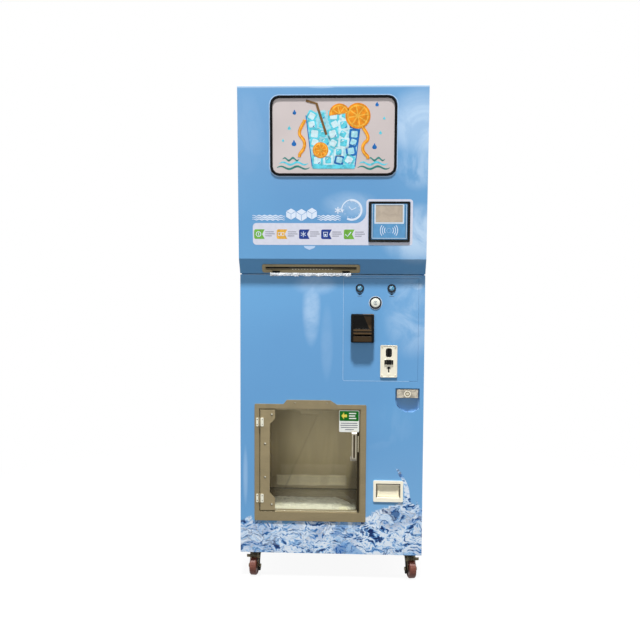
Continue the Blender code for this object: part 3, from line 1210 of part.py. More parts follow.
SLOT_LOW = (LEFT + SLOT_BEZEL_LEFT_INSET, SLOT_BEZEL_RISE)
SLOT_HIGH = (RIGHT - SLOT_BEZEL_RIGHT_INSET, SLOT_BEZEL_RISE + SLOT_BEZEL_HEIGHT)
GAP_LOW = (SLOT_LOW[0] + SLOT_SIDE_MARGIN, SLOT_HIGH[1] - SLOT_TOP_MARGIN - SLOT_HEIGHT)
GAP_HIGH = (SLOT_HIGH[0] - SLOT_SIDE_MARGIN, SLOT_HIGH[1] - SLOT_TOP_MARGIN)
UPPER_FOOT = SPLIT + DOOR_SPLIT / 2
ROLL_AXIS = (-ROLL_SETBACK, SPLIT + ROLL_RISE)


def upper_outline():
    """The upper door from the side: foot, sloped band, leaning face with a rounded bend, top and back."""
    foot_front = -BAND_OVERHANG * (UPPER_FOOT - SPLIT) / BAND_DROP
    top_front = -BAND_OVERHANG - FACE_LEAN
    lean = math.atan2(FACE_LEAN, FACE_HEIGHT)
    centre = (top_front + FACE_BEND_RADIUS * (math.tan(lean) + 1 / math.cos(lean)), TOP - FACE_BEND_RADIUS)
    bend = arc(centre, FACE_BEND_RADIUS, 180 + math.degrees(lean), 90, 5)
    return [(DOOR_DEPTH, TOP)] + bend[::-1] + [
        (-BAND_OVERHANG, BEND), (foot_front, UPPER_FOOT), (DOOR_DEPTH, UPPER_FOOT)
    ]


def face_hole(low, high, corner, depth):
    """A cutter through the leaning face, rounded to a corner radius."""
    return moved(prism(eased(rectangle(low, high), corner), "Y", -OVERRUN, depth), FACE)


def build_upper_panel(door):
    outline = upper_outline()
    panel = prism(outline, "X", LEFT, RIGHT)
    hollow = prism(shifted(outline, SHEET), "X", LEFT + SHEET, RIGHT - SHEET)
    lip = block((LEFT + LIP_WIDTH, DOOR_DEPTH - 2 * SHEET, UPPER_FOOT + LIP_WIDTH),
                (RIGHT - LIP_WIDTH, DOOR_DEPTH + OVERRUN, TOP - LIP_WIDTH))
    cut(panel, hollow, lip)
    fuse(panel, *[door_hinge(height) for height in UPPER_HINGES])
    neck_low, neck_high = grown(SIGN_LOW, SIGN_HIGH, SEAT_GAP - EDGING_WIDTH + EDGING_WALL)
    reader_low, reader_high = grown(READER_LOW, READER_HIGH, SEAT_GAP - READER_NECK_MARGIN)
    slot_low, slot_high = grown(GAP_LOW, GAP_HIGH, SLOT_WALL + SEAT_GAP)
    cut(
        panel,
        face_hole(neck_low, neck_high, SIGN_CORNER - EDGING_WIDTH + EDGING_WALL, SHEET + OVERRUN),
        moved(
            
            block((reader_low[0], -OVERRUN, reader_low[1]), (reader_high[0], SHEET + OVERRUN, reader_high[1])),
            FACE,
        ),
        moved(
            block((slot_low[0], -OVERRUN, slot_low[1]), (slot_high[0], SHEET + OVERRUN, slot_high[1])), BAND
        ),
    )
    place_piece(panel, "upper_door_panel", "blue_wrap", door)


def build_sign(door):
    face = carrier("upper_face", door, FACE)
    edging = prism(eased(rectangle(SIGN_LOW, SIGN_HIGH), SIGN_CORNER), "Y", -EDGING_PROUD, -SEAT_GAP)
    neck_inset = EDGING_WIDTH - EDGING_WALL
    neck = grown(SIGN_LOW, SIGN_HIGH, -neck_inset)
    fuse(edging, prism(eased(rectangle(*neck), SIGN_CORNER - neck_inset), "Y", -SEAT_GAP - LAP,
                       LENS_THICKNESS + 2 * SEAT_GAP))
    sight = grown(SIGN_LOW, SIGN_HIGH, -EDGING_WIDTH - LENS_LAP / 2)
    pocket = grown(SIGN_LOW, SIGN_HIGH, -EDGING_WIDTH)
    cut(
        edging,
        prism(
            eased(rectangle(*sight), SIGN_CORNER - EDGING_WIDTH - LENS_LAP / 2), "Y",
            -EDGING_PROUD - OVERRUN, OVERRUN,
        ),
        prism(
            eased(rectangle(*pocket), SIGN_CORNER - EDGING_WIDTH), "Y", -SEAT_GAP, LENS_THICKNESS + OVERRUN
        ),
    )
    place_piece(edging, "sign_edging", "black_rubber", face, space=FACE)
    lens = grown(*pocket, -SEAT_GAP)
    sheet = prism(eased(rectangle(*lens), SIGN_CORNER - EDGING_WIDTH - SEAT_GAP), "Y", 0, LENS_THICKNESS)
    place_piece(sheet, "sign_lens", "sign_print", face, space=FACE)

    seat = SHEET + SEAT_GAP
    box_low, box_high = grown(*neck, LIGHT_BOX_MARGIN)
    tray = block((box_low[0], seat, box_low[1]), (box_high[0], seat + LIGHT_BOX_DEPTH, box_high[1]))
    room_low, room_high = grown(box_low, box_high, -LIGHT_BOX_WALL)
    room = block(
        (room_low[0], 0, room_low[1]), (room_high[0], seat + LIGHT_BOX_DEPTH - LIGHT_BOX_WALL, room_high[1])
    )
    place_piece(cut(tray, room), "sign_light_box", "white_plastic", face, space=FACE)

    bezel = prism(eased(rectangle(READER_LOW, READER_HIGH), READER_CORNER), "Y", -READER_PROUD, -SEAT_GAP)
    neck_low, neck_high = grown(READER_LOW, READER_HIGH, -READER_NECK_MARGIN)
    body = block((neck_low[0], -READER_PROUD / 2, neck_low[1]), (neck_high[0], READER_DEPTH, neck_high[1]))
    panel = grown(READER_LOW, READER_HIGH, -READER_RIM)
    screen_low = (READER_LOW[0] + SCREEN_LEFT_MARGIN, READER_HIGH[1] - SCREEN_TOP_MARGIN - SCREEN_HEIGHT)
    screen_high = (screen_low[0] + SCREEN_WIDTH, READER_HIGH[1] - SCREEN_TOP_MARGIN)
    fuse(bezel, body)
    cut(
        bezel,
        prism(
            eased(rectangle(*panel), READER_CORNER / 2), "Y", -READER_PROUD - OVERRUN,
            READER_RECESS - READER_PROUD,
        ),
        block((screen_low[0], -READER_PROUD, screen_low[1]),
              (screen_high[0], READER_RECESS + SCREEN_RECESS - READER_PROUD, screen_high[1])),
    )
    place_piece(bezel, "card_reader", "membrane", face, space=FACE)


def build_bag_slot(door):
    band = carrier("sloped_band", door, BAND)
    bezel = prism(eased(rectangle(SLOT_LOW, SLOT_HIGH), SLOT_BEZEL_CORNER), "Y", -SLOT_BEZEL_PROUD, -SEAT_GAP)
    neck_low, neck_high = grown(GAP_LOW, GAP_HIGH, SLOT_WALL)
    neck = block(
        (neck_low[0], -SLOT_BEZEL_PROUD / 2, neck_low[1]), (neck_high[0], SLOT_NECK_DEPTH, neck_high[1])
    )
    pads = []
    for left in (SLOT_LOW[0] + SLOT_PAD_INSET, SLOT_HIGH[0] - SLOT_PAD_INSET - SLOT_PAD_WIDTH):
        low = (left, -SLOT_BEZEL_PROUD - SLOT_PAD_PROUD, SLOT_LOW[1] + SLOT_PAD_PROUD)
        pads.append(block(low, (left + SLOT_PAD_WIDTH, LAP - SLOT_BEZEL_PROUD, low[2] + SLOT_PAD_HEIGHT)))
    fuse(bezel, neck, *pads)
    gap = block(
        (GAP_LOW[0], -SLOT_BEZEL_PROUD - OVERRUN, GAP_LOW[1]),
        (GAP_HIGH[0], SLOT_NECK_DEPTH + OVERRUN, GAP_HIGH[1]),
    )
    place_piece(cut(bezel, gap), "bag_slot_bezel", "steel", band, space=BAND)

    foot = UPPER_FOOT + SHEET + SEAT_GAP
    left, right = GAP_LOW[0] - CHEEK_THICKNESS - SLOT_WALL, GAP_HIGH[0] + CHEEK_THICKNESS + SLOT_WALL
    head = ROLL_AXIS[1] + CHEEK_HEAD
    cheek = [
        (CHEEK_FOOT_FRONT, foot), (CHEEK_FOOT_BACK, foot), (ROLL_AXIS[0] + CHEEK_HEAD, head),
        (ROLL_AXIS[0] - CHEEK_HEAD, head), (ROLL_AXIS[0] - CHEEK_HEAD, ROLL_AXIS[1] - CHEEK_HEAD),
    ]
    bracket = block(
        (left + LAP, CHEEK_FOOT_FRONT + LAP, foot), (right - LAP, CHEEK_FOOT_BACK - LAP, foot + SHEET)
    )
    cheeks = [
        prism(cheek, "X", left, left + CHEEK_THICKNESS), prism(cheek, "X", right - CHEEK_THICKNESS, right)
    ]
    pins = [
        rod("X", ROLL_AXIS, ROLL_PIN_RADIUS, left + LAP, left + CHEEK_THICKNESS + ROLL_PIN_REACH, KNOB_SIDES),
        rod(
            "X", ROLL_AXIS, ROLL_PIN_RADIUS, right - CHEEK_THICKNESS - ROLL_PIN_REACH, right - LAP, KNOB_SIDES
        ),
    ]
    place_piece(fuse(bracket, *cheeks, *pins), "roll_bracket", "zinc", door)

    bore = ROLL_PIN_RADIUS + PIN_GAP
    start, end = left + CHEEK_THICKNESS + ROLL_END_GAP, right - CHEEK_THICKNESS - ROLL_END_GAP
    roll = turned([(bore, start), (ROLL_RADIUS, start), (ROLL_RADIUS, end), (bore, end)], "X", ROLL_AXIS)
    origin = ((start + end) / 2, *ROLL_AXIS)
    axis = carrier("bag_roll_axis", door, Matrix.Translation(origin))
    place_piece(roll, "bag_roll", "film", axis, origin)


def build_upper_door(machine):
    door = carrier("upper_door_axis", machine, Matrix.Translation((*HINGE_AXIS, UPPER_FOOT)))
    build_upper_panel(door)
    build_sign(door)
    build_bag_slot(door)


# Ice store: the hopper with its trough and auger, the chute down to the pick-up compartment, and its gate
COMPARTMENT_LEFT_INSET = 0.065
COMPARTMENT_RIGHT_INSET = 0.235
COMPARTMENT_DEPTH = 0.340
COMPARTMENT_MARGIN = 0.016
COMPARTMENT_FOOT_DROP = 0.014
HOPPER_LEFT_GAP = 0.033
HOPPER_RIGHT_INSET = 0.335
HOPPER_FRONT_GAP = 0.006
HOPPER_BACK_GAP = 0.068
HOPPER_WALL = 0.008
HOPPER_HEAD_GAP = 0.012
TROUGH_RADIUS = 0.044
TROUGH_RISE = 0.090
SLOPE_RISE = 0.200
AUGER_RADIUS = 0.038
AUGER_SHAFT_RADIUS = 0.010
AUGER_TURNS = 6
AUGER_STEPS = 12
FLIGHT_THICKNESS = 0.004
AUGER_END_GAP = 0.004
OUTLET_WIDTH = 0.070
OUTLET_LENGTH = 0.100
OUTLET_SETBACK = 0.020
CHUTE_WALL = 0.003
CHUTE_FLANGE = 0.012
CHUTE_DROP = 0.020
SPOUT_WALL = 0.006
GATE_THICKNESS = 0.003
GATE_PIN_RADIUS = 0.0025
GATE_SIDE_GAP = 0.0005
GATE_LUG_REACH = 0.005
GATE_DROP = 0.0035

STORE_DECK = OPEN_HIGH[1] + COMPARTMENT_MARGIN + SEAT_GAP + SHEET / 2
STORE_FLOOR = STORE_DECK + DECK_THICKNESS
HOPPER_FOOT = STORE_FLOOR + SEAT_GAP
HOPPER_TOP = SPLIT - RAIL_HEIGHT / 2 - HOPPER_HEAD_GAP
HOPPER_LEFT = LEFT + SHEET + HOPPER_LEFT_GAP
HOPPER_RIGHT = RIGHT - HOPPER_RIGHT_INSET
HOPPER_FRONT = POST_BACK + HOPPER_FRONT_GAP
HOPPER_BACK = BODY_DEPTH - HOPPER_BACK_GAP
AUGER_AXIS = ((HOPPER_LEFT + HOPPER_RIGHT) / 2, HOPPER_FOOT + TROUGH_RISE)
SPOUT_FOOT = AUGER_AXIS[1] - TROUGH_RADIUS - 2 * HOPPER_WALL
OUTLET_LOW = (AUGER_AXIS[0] - OUTLET_WIDTH / 2, HOPPER_FRONT + HOPPER_WALL + OUTLET_SETBACK)
OUTLET_HIGH = (AUGER_AXIS[0] + OUTLET_WIDTH / 2, OUTLET_LOW[1] + OUTLET_LENGTH)
CHUTE_LOW, CHUTE_HIGH = grown(OUTLET_LOW, OUTLET_HIGH, CHUTE_WALL)
CHUTE_FOOT = STORE_DECK - CHUTE_DROP
DROP_LEFT = AUGER_AXIS[0] - TROUGH_RADIUS * 3
DROP_RIGHT = AUGER_AXIS[0] + TROUGH_RADIUS * 3
DROP_FRONT = OUTLET_LOW[1] + OUTLET_LENGTH
DROP_BACK = DROP_FRONT + OUTLET_LENGTH
GATE_AXIS = (CHUTE_HIGH[1] - GATE_LUG_REACH, CHUTE_FOOT - GATE_DROP)


def trough_section(radius, wall, rise):
    """The hopper's cross-section inside its walls: straight sides, slopes, and a round trough."""
    left, right = HOPPER_LEFT + wall, HOPPER_RIGHT - wall
    slope = AUGER_AXIS[1] + SLOPE_RISE
    bowl = arc(AUGER_AXIS, radius, 180, 360, 8)
    return [(left, HOPPER_TOP + rise), (left, slope)] + bowl + [(right, slope), (right, HOPPER_TOP + rise)]


def build_hopper(machine):
    outer = trough_section(TROUGH_RADIUS + HOPPER_WALL, LAP, -LAP)
    inner = trough_section(TROUGH_RADIUS, HOPPER_WALL, OVERRUN)
    shell = prism(outer, "Y", HOPPER_FRONT + LAP, HOPPER_BACK - LAP)
    ends = [
        block((HOPPER_LEFT, start, HOPPER_FOOT), (HOPPER_RIGHT, start + HOPPER_WALL, HOPPER_TOP))
        for start in (HOPPER_FRONT, HOPPER_BACK - HOPPER_WALL)
    ]
    spout_low, spout_high = grown(OUTLET_LOW, OUTLET_HIGH, SPOUT_WALL)
    spout = block((*spout_low, SPOUT_FOOT), (*spout_high, AUGER_AXIS[1] - TROUGH_RADIUS / 2))
    fuse(shell, *ends, spout)
    room = prism(inner, "Y", HOPPER_FRONT + HOPPER_WALL, HOPPER_BACK - HOPPER_WALL)
    outlet = block((*OUTLET_LOW, SPOUT_FOOT - OVERRUN), (*OUTLET_HIGH, AUGER_AXIS[1]))
    shaft = AUGER_SHAFT_RADIUS + PIN_GAP
    bore = rod("Y", AUGER_AXIS, shaft, HOPPER_BACK - HOPPER_WALL - OVERRUN, HOPPER_BACK + OVERRUN, KNOB_SIDES)
    bearing = rod(
        "Y", AUGER_AXIS, shaft, HOPPER_FRONT + HOPPER_WALL / 2, HOPPER_FRONT + HOPPER_WALL + OVERRUN,
        KNOB_SIDES,
    )
    cut(shell, room, outlet, bore, bearing)
    place_piece(shell, "ice_hopper", "white_plastic", machine)


def build_auger(machine):
    start = HOPPER_FRONT + HOPPER_WALL / 2 + SEAT_GAP
    end = HOPPER_BACK + GEARMOTOR_SOCKET
    first = HOPPER_FRONT + HOPPER_WALL + AUGER_END_GAP
    last = HOPPER_BACK - HOPPER_WALL - AUGER_END_GAP
    bm = bmesh.new()
    rings = []
    count = AUGER_TURNS * AUGER_STEPS
    for step in range(count + 1):
        turn = math.tau * (step / AUGER_STEPS + 1 / (4 * KNOB_SIDES))
        middle = first + FLIGHT_THICKNESS / 2 + (last - first - FLIGHT_THICKNESS) * step / count
        ring = []
        for radius, side in ((AUGER_SHAFT_RADIUS / 2, -1), (AUGER_RADIUS, -1), (AUGER_RADIUS, 1), (AUGER_SHAFT_RADIUS / 2, 1)):
            across = AUGER_AXIS[0] + radius * math.cos(turn)
            up = AUGER_AXIS[1] + radius * math.sin(turn)
            ring.append(bm.verts.new((across, middle + side * FLIGHT_THICKNESS / 2, up)))
        rings.append(ring)
    for near, far in zip(rings, rings[1:]):
        for corner in range(4):
            after = (corner + 1) % 4
            bm.faces.new((near[corner], near[after], far[after], far[corner]))
    bm.faces.new(rings[0])
    bm.faces.new(rings[-1])
    flight = object_from(bm)
    shaft = rod("Y", AUGER_AXIS, AUGER_SHAFT_RADIUS, start, end, KNOB_SIDES)
    origin = (AUGER_AXIS[0], start, AUGER_AXIS[1])
    axis = carrier("auger_axis", machine, Matrix.Translation(origin))
    place_piece(fuse(shaft, flight), "auger", "steel", axis, origin)


GEARMOTOR_WIDTH = 0.090
GEARMOTOR_HEIGHT = 0.110
GEARMOTOR_SOCKET = 0.016
GEARMOTOR_BACK_GAP = 0.005


def build_gearmotor(machine):
    low, high = around(AUGER_AXIS, (GEARMOTOR_WIDTH, GEARMOTOR_HEIGHT))
    front, back = HOPPER_BACK + SEAT_GAP, BACK_INSIDE - GEARMOTOR_BACK_GAP
    gearbox = block((low[0], front, low[1]), (high[0], back, high[1]))
    socket = rod(
        "Y", AUGER_AXIS, AUGER_SHAFT_RADIUS + PIN_GAP, front - OVERRUN,
        HOPPER_BACK + GEARMOTOR_SOCKET + PIN_GAP, KNOB_SIDES,
    )
    motor = rod("X", ((front + back) / 2, AUGER_AXIS[1] + GEARMOTOR_HEIGHT / 4), (back - front) * 0.42,
                high[0] - LAP, high[0] + GEARMOTOR_WIDTH, KNOB_SIDES)
    place_piece(cut(fuse(gearbox, motor), socket), "auger_gearmotor", "grey_paint", machine)


def build_compartment(machine):
    left, right = LEFT + COMPARTMENT_LEFT_INSET, RIGHT - COMPARTMENT_RIGHT_INSET
    foot, head = OPEN_LOW[1] - COMPARTMENT_FOOT_DROP, STORE_DECK - SEAT_GAP
    front, back = CABINET_FRONT, CABINET_FRONT + COMPARTMENT_DEPTH
    box = block((left, front, foot), (right, back, head))
    room = block((left + SHEET, front - OVERRUN, foot + SHEET), (right - SHEET, back - SHEET, head - SHEET))
    hole = block((*CHUTE_LOW, head - SHEET - OVERRUN), (*CHUTE_HIGH, head + OVERRUN))
    place_piece(cut(box, room, grow_block(hole, SEAT_GAP)), "pickup_compartment", "steel", machine)


def build_chute(machine):
    head = SPOUT_FOOT - SEAT_GAP
    duct = block((*CHUTE_LOW, CHUTE_FOOT), (*CHUTE_HIGH, head))
    flange_low, flange_high = grown(CHUTE_LOW, CHUTE_HIGH, CHUTE_FLANGE)
    flange = block((*flange_low, STORE_FLOOR + SEAT_GAP), (*flange_high, STORE_FLOOR + SEAT_GAP + CHUTE_WALL))
    fuse(duct, flange)
    cut(duct, block((*OUTLET_LOW, CHUTE_FOOT - OVERRUN), (*OUTLET_HIGH, head + OVERRUN)))
    lug_low, lug_high = around(GATE_AXIS, (2 * GATE_LUG_REACH, 2 * GATE_LUG_REACH))
    lugs = [
        block((left, lug_low[0], lug_low[1]), (left + CHUTE_WALL, lug_high[0], CHUTE_FOOT + LAP))
        for left in (CHUTE_LOW[0], CHUTE_HIGH[0] - CHUTE_WALL)
    ]
    fuse(duct, *lugs)
    cut(duct, rod("X", GATE_AXIS, GATE_PIN_RADIUS + PIN_GAP, CHUTE_LOW[0] - OVERRUN, CHUTE_HIGH[0] + OVERRUN))
    place_piece(duct, "discharge_chute", "steel", machine)

    half = GATE_THICKNESS / 2
    gate = block((OUTLET_LOW[0] + GATE_SIDE_GAP, CHUTE_LOW[1], GATE_AXIS[1] - half),
                 (OUTLET_HIGH[0] - GATE_SIDE_GAP, GATE_AXIS[0], GATE_AXIS[1] + half))
    pin = rod("X", GATE_AXIS, GATE_PIN_RADIUS, CHUTE_LOW[0], CHUTE_HIGH[0])
    origin = (AUGER_AXIS[0], *GATE_AXIS)
    axis = carrier("discharge_gate_axis", machine, Matrix.Translation(origin))
    place_piece(fuse(gate, pin), "discharge_gate", "steel", axis, origin)


def build_store(machine):
    build_hopper(machine)
    build_auger(machine)
    build_gearmotor(machine)
    build_compartment(machine)
    build_chute(machine)


# Ice maker on the upper deck: a pocketed freezing plate on legs, and the water sump under it
PLATE_BACKSET = 0.010
PLATE_THICKNESS = 0.022
PLATE_FOOT_RISE = 0.095
PLATE_HEIGHT = 0.405
POCKET_COLUMNS = 6
POCKET_ROWS = 8
POCKET_RIB = 0.005
POCKET_CUT = 0.018
LEG_WIDTH = 0.015
SUMP_FRONT_GAP = 0.004
SUMP_LENGTH = 0.120
SUMP_HEIGHT = 0.080
SUMP_WALL = 0.004
SUMP_SIDE_GAP = 0.005

PLATE_LEFT = DROP_LEFT
PLATE_RIGHT = DROP_RIGHT
PLATE_FRONT = DROP_BACK + PLATE_BACKSET
PLATE_FOOT = MAKER_FLOOR + PLATE_FOOT_RISE


def build_ice_maker(machine):
    back = PLATE_FRONT + PLATE_THICKNESS
    plate = block((PLATE_LEFT, PLATE_FRONT, PLATE_FOOT), (PLATE_RIGHT, back, PLATE_FOOT + PLATE_HEIGHT))
    legs = []
    for outer, inner in ((PLATE_LEFT - LEG_WIDTH, PLATE_LEFT + LAP), (PLATE_RIGHT + LEG_WIDTH, PLATE_RIGHT - LAP)):
        near, far = sorted((outer, inner))
        legs.append(
            block((near, PLATE_FRONT, MAKER_FLOOR + SEAT_GAP), (far, back, PLATE_FOOT + PLATE_HEIGHT))
        )
    fuse(plate, *legs)
    wide = (PLATE_RIGHT - PLATE_LEFT - POCKET_RIB) / POCKET_COLUMNS
    tall = (PLATE_HEIGHT - POCKET_RIB) / POCKET_ROWS
    pockets = bmesh.new()
    for column in range(POCKET_COLUMNS):
        for row in range(POCKET_ROWS):
            left = PLATE_LEFT + POCKET_RIB + column * wide
            foot = PLATE_FOOT + POCKET_RIB + row * tall
            low = Vector((left, PLATE_FRONT - OVERRUN, foot))
            high = Vector((left + wide - POCKET_RIB, PLATE_FRONT + POCKET_CUT, foot + tall - POCKET_RIB))
            place = Matrix.Translation((low + high) / 2) @ Matrix.Diagonal((*(high - low), 1))
            bmesh.ops.create_cube(pockets, size=1, matrix=place)
    place_piece(cut(plate, object_from(pockets)), "evaporator", "copper", machine)

    front = DROP_BACK + SUMP_FRONT_GAP
    left, right = PLATE_LEFT + SUMP_SIDE_GAP, PLATE_RIGHT - SUMP_SIDE_GAP
    foot = MAKER_FLOOR + SEAT_GAP
    tray = block((left, front, foot), (right, front + SUMP_LENGTH, foot + SUMP_HEIGHT))
    room = block((left + SUMP_WALL, front + SUMP_WALL, foot + SUMP_WALL),
                 (right - SUMP_WALL, front + SUMP_LENGTH - SUMP_WALL, foot + SUMP_HEIGHT + OVERRUN))
    place_piece(cut(tray, room), "water_sump", "white_plastic", machine)


# Cooling: compressor, finned condenser with its fan shroud and motor, and the fan
COMPRESSOR_RADIUS = 0.072
COMPRESSOR_HEIGHT = 0.185
COMPRESSOR_FOOT_WIDTH = 0.170
COMPRESSOR_FOOT_THICKNESS = 0.006
COMPRESSOR_LEFT_GAP = 0.163
COMPRESSOR_BACK_GAP = 0.160
CONDENSER_RIGHT_GAP = 0.033
CONDENSER_WIDTH = 0.300
CONDENSER_HEIGHT = 0.290
CONDENSER_DEPTH = 0.045
CONDENSER_BACK_GAP = 0.050
FIN_COUNT = 18
FIN_GAP_SHARE = 0.7
FIN_CUT = 0.041
SHROUD_DEPTH = 0.040
SHROUD_RADIUS = 0.118
BRACKET_WIDTH = 0.024
BRACKET_THICKNESS = 0.004
MOTOR_RADIUS = 0.032
MOTOR_LENGTH = 0.036
MOTOR_SHAFT_RADIUS = 0.004
FAN_RADIUS = 0.108
FAN_HUB_RADIUS = 0.022
FAN_DEPTH = 0.024
FAN_END_GAP = 0.002
BLADE_COUNT = 5
BLADE_THICKNESS = 0.0025
BLADE_SPREAD = 50.0

CONDENSER_RIGHT = RIGHT - CONDENSER_RIGHT_GAP
CONDENSER_LEFT = CONDENSER_RIGHT - CONDENSER_WIDTH
CONDENSER_BACK = BODY_DEPTH - CONDENSER_BACK_GAP
CONDENSER_FRONT = CONDENSER_BACK - CONDENSER_DEPTH
SHROUD_FRONT = CONDENSER_FRONT - SHROUD_DEPTH
CONDENSER_FOOT = BASE_TOP + SEAT_GAP
FAN_AXIS = ((CONDENSER_LEFT + CONDENSER_RIGHT) / 2, CONDENSER_FOOT + CONDENSER_HEIGHT / 2)


def build_compressor(machine):
    centre = (LEFT + COMPRESSOR_LEFT_GAP, BODY_DEPTH - COMPRESSOR_BACK_GAP)
    foot = BASE_TOP + SEAT_GAP
    head = foot + COMPRESSOR_HEIGHT
    shoulder = COMPRESSOR_RADIUS / 4
    seam = foot + COMPRESSOR_HEIGHT / 2
    bead = COMPRESSOR_FOOT_THICKNESS / 2
    profile = [
        (0, head), (COMPRESSOR_RADIUS - 2 * shoulder, head - shoulder / 3),
        (COMPRESSOR_RADIUS - shoulder / 2, head - shoulder), (COMPRESSOR_RADIUS, head - 2 * shoulder),
        (COMPRESSOR_RADIUS, seam + bead), (COMPRESSOR_RADIUS + bead, seam), (COMPRESSOR_RADIUS, seam - bead),
        (COMPRESSOR_RADIUS, foot + 2 * shoulder), (COMPRESSOR_RADIUS - shoulder, foot + bead), (
            0, foot + bead
        ),
    ]
    low, high = around(centre, (COMPRESSOR_FOOT_WIDTH, COMPRESSOR_FOOT_WIDTH))
    plate = prism(
        eased(rectangle(low, high), COMPRESSOR_FOOT_WIDTH / 8), "Z", foot, foot + COMPRESSOR_FOOT_THICKNESS
    )
    place_piece(fuse(turned(profile, "Z", centre), plate), "compressor", "dark_steel", machine)


def build_condenser(machine):
    head = CONDENSER_FOOT + CONDENSER_HEIGHT
    core = block((CONDENSER_LEFT, CONDENSER_FRONT, CONDENSER_FOOT), (CONDENSER_RIGHT, CONDENSER_BACK, head))
    shroud = block(
        (CONDENSER_LEFT, SHROUD_FRONT, CONDENSER_FOOT), (CONDENSER_RIGHT, CONDENSER_FRONT + LAP, head)
    )
    ring = rod("Y", FAN_AXIS, SHROUD_RADIUS, SHROUD_FRONT - OVERRUN, CONDENSER_FRONT - LAP, 2 * KNOB_SIDES)
    bracket = block((CONDENSER_LEFT, SHROUD_FRONT - BRACKET_THICKNESS + LAP, FAN_AXIS[1] - BRACKET_WIDTH / 2),
                    (CONDENSER_RIGHT, SHROUD_FRONT + LAP, FAN_AXIS[1] + BRACKET_WIDTH / 2))
    motor_front = SHROUD_FRONT + LAP - MOTOR_LENGTH
    motor = rod("Y", FAN_AXIS, MOTOR_RADIUS, motor_front, SHROUD_FRONT + 2 * LAP, KNOB_SIDES)
    shaft = rod(
        "Y", FAN_AXIS, MOTOR_SHAFT_RADIUS, SHROUD_FRONT, SHROUD_FRONT + 2 * LAP + FAN_END_GAP + FAN_DEPTH
    )
    pitch = CONDENSER_WIDTH / (FIN_COUNT + 1 - FIN_GAP_SHARE)
    fins = bmesh.new()
    for index in range(FIN_COUNT):
        left = CONDENSER_LEFT + pitch * (index + 1 - FIN_GAP_SHARE)
        low = Vector((left, CONDENSER_BACK - FIN_CUT, CONDENSER_FOOT + pitch))
        high = Vector((left + pitch * FIN_GAP_SHARE, CONDENSER_BACK + OVERRUN, head - pitch))
        place = Matrix.Translation((low + high) / 2) @ Matrix.Diagonal((*(high - low), 1))
        bmesh.ops.create_cube(fins, size=1, matrix=place)
    cut(shroud, ring)
    fuse(core, shroud, bracket, motor, shaft)
    place_piece(cut(core, object_from(fins)), "condenser", "aluminium", machine)

    start = SHROUD_FRONT + 2 * LAP + FAN_END_GAP
    hub = rod("Y", FAN_AXIS, FAN_HUB_RADIUS, start, start + FAN_DEPTH, KNOB_SIDES)
    blades = []
    for index in range(BLADE_COUNT):
        base = 360 * index / BLADE_COUNT
        bm = bmesh.new()
        rows = []
        for radius in (FAN_HUB_RADIUS * 0.8, FAN_RADIUS):
            for share in (0, 0.5, 1):
                turn = math.radians(base + BLADE_SPREAD * share)
                station = start + BLADE_THICKNESS + (FAN_DEPTH - 3 * BLADE_THICKNESS) * share
                across = FAN_AXIS[0] + radius * math.cos(turn)
                up = FAN_AXIS[1] + radius * math.sin(turn)
                rows.append([bm.verts.new((across, station + lift, up)) for lift in (0, BLADE_THICKNESS)])
        for step in range(2):
            a, b, c, d = rows[step], rows[step + 1], rows[step + 4], rows[step + 3]
            bm.faces.new((a[0], b[0], c[0], d[0]))
            bm.faces.new((a[1], b[1], c[1], d[1]))
            bm.faces.new((a[0], b[0], b[1], a[1]))
            bm.faces.new((d[0], c[0], c[1], d[1]))
        for end in (0, 2):
            a, d = rows[end], rows[end + 3]
            bm.faces.new((a[0], d[0], d[1], a[1]))
        blades.append(object_from(bm))
    fuse(hub, *blades)
    cut(hub, rod("Y", FAN_AXIS, MOTOR_SHAFT_RADIUS + PIN_GAP, start - OVERRUN, start + FAN_DEPTH + OVERRUN))
    origin = (FAN_AXIS[0], start, FAN_AXIS[1])
    axis = carrier("condenser_fan_axis", machine, Matrix.Translation(origin))
    place_piece(hub, "condenser_fan", "black_plastic", axis, origin)


# Services on the back panel, each flush in a hole: water valve, drain outlet and power inlet; and the control box
NIPPLE_RADIUS = 0.012
NIPPLE_BORE_RADIUS = 0.008
NIPPLE_SINK = 0.001
VALVE_WIDTH = 0.060
VALVE_HEIGHT = 0.070
VALVE_DEPTH = 0.050
VALVE_LEFT_INSET = 0.115
VALVE_RISE = 0.170
DRAIN_RADIUS = 0.014
DRAIN_FLANGE_RADIUS = 0.028
DRAIN_FLANGE_THICKNESS = 0.004
DRAIN_LENGTH = 0.060
DRAIN_LEFT_INSET = 0.115
DRAIN_RISE = 0.050
POWER_WIDTH = 0.050
POWER_HEIGHT = 0.030
POWER_FLANGE = 0.008
POWER_FLANGE_THICKNESS = 0.003
POWER_DEPTH = 0.035
POWER_RIGHT_GAP = 0.150
POWER_RISE = 0.105
POWER_BLADE_COUNT = 3
CONTROL_RIGHT_GAP = 0.025
CONTROL_WIDTH = 0.250
CONTROL_DEPTH = 0.150
CONTROL_HEIGHT = 0.300
CONTROL_BACK_GAP = 0.110
CONTROL_STEP = 0.002
CONTROL_LID = 0.030
CONTROL_FOOT_SHARES = (0.1, 0.75)
GLAND_RADIUS = 0.010

VALVE_CENTRE = (LEFT + VALVE_LEFT_INSET, MAKER_FLOOR + VALVE_RISE)
DRAIN_CENTRE = (LEFT + DRAIN_LEFT_INSET, BASE_TOP + DRAIN_RISE)
POWER_CENTRE = (RIGHT - POWER_RIGHT_GAP, STORE_FLOOR + POWER_RISE)


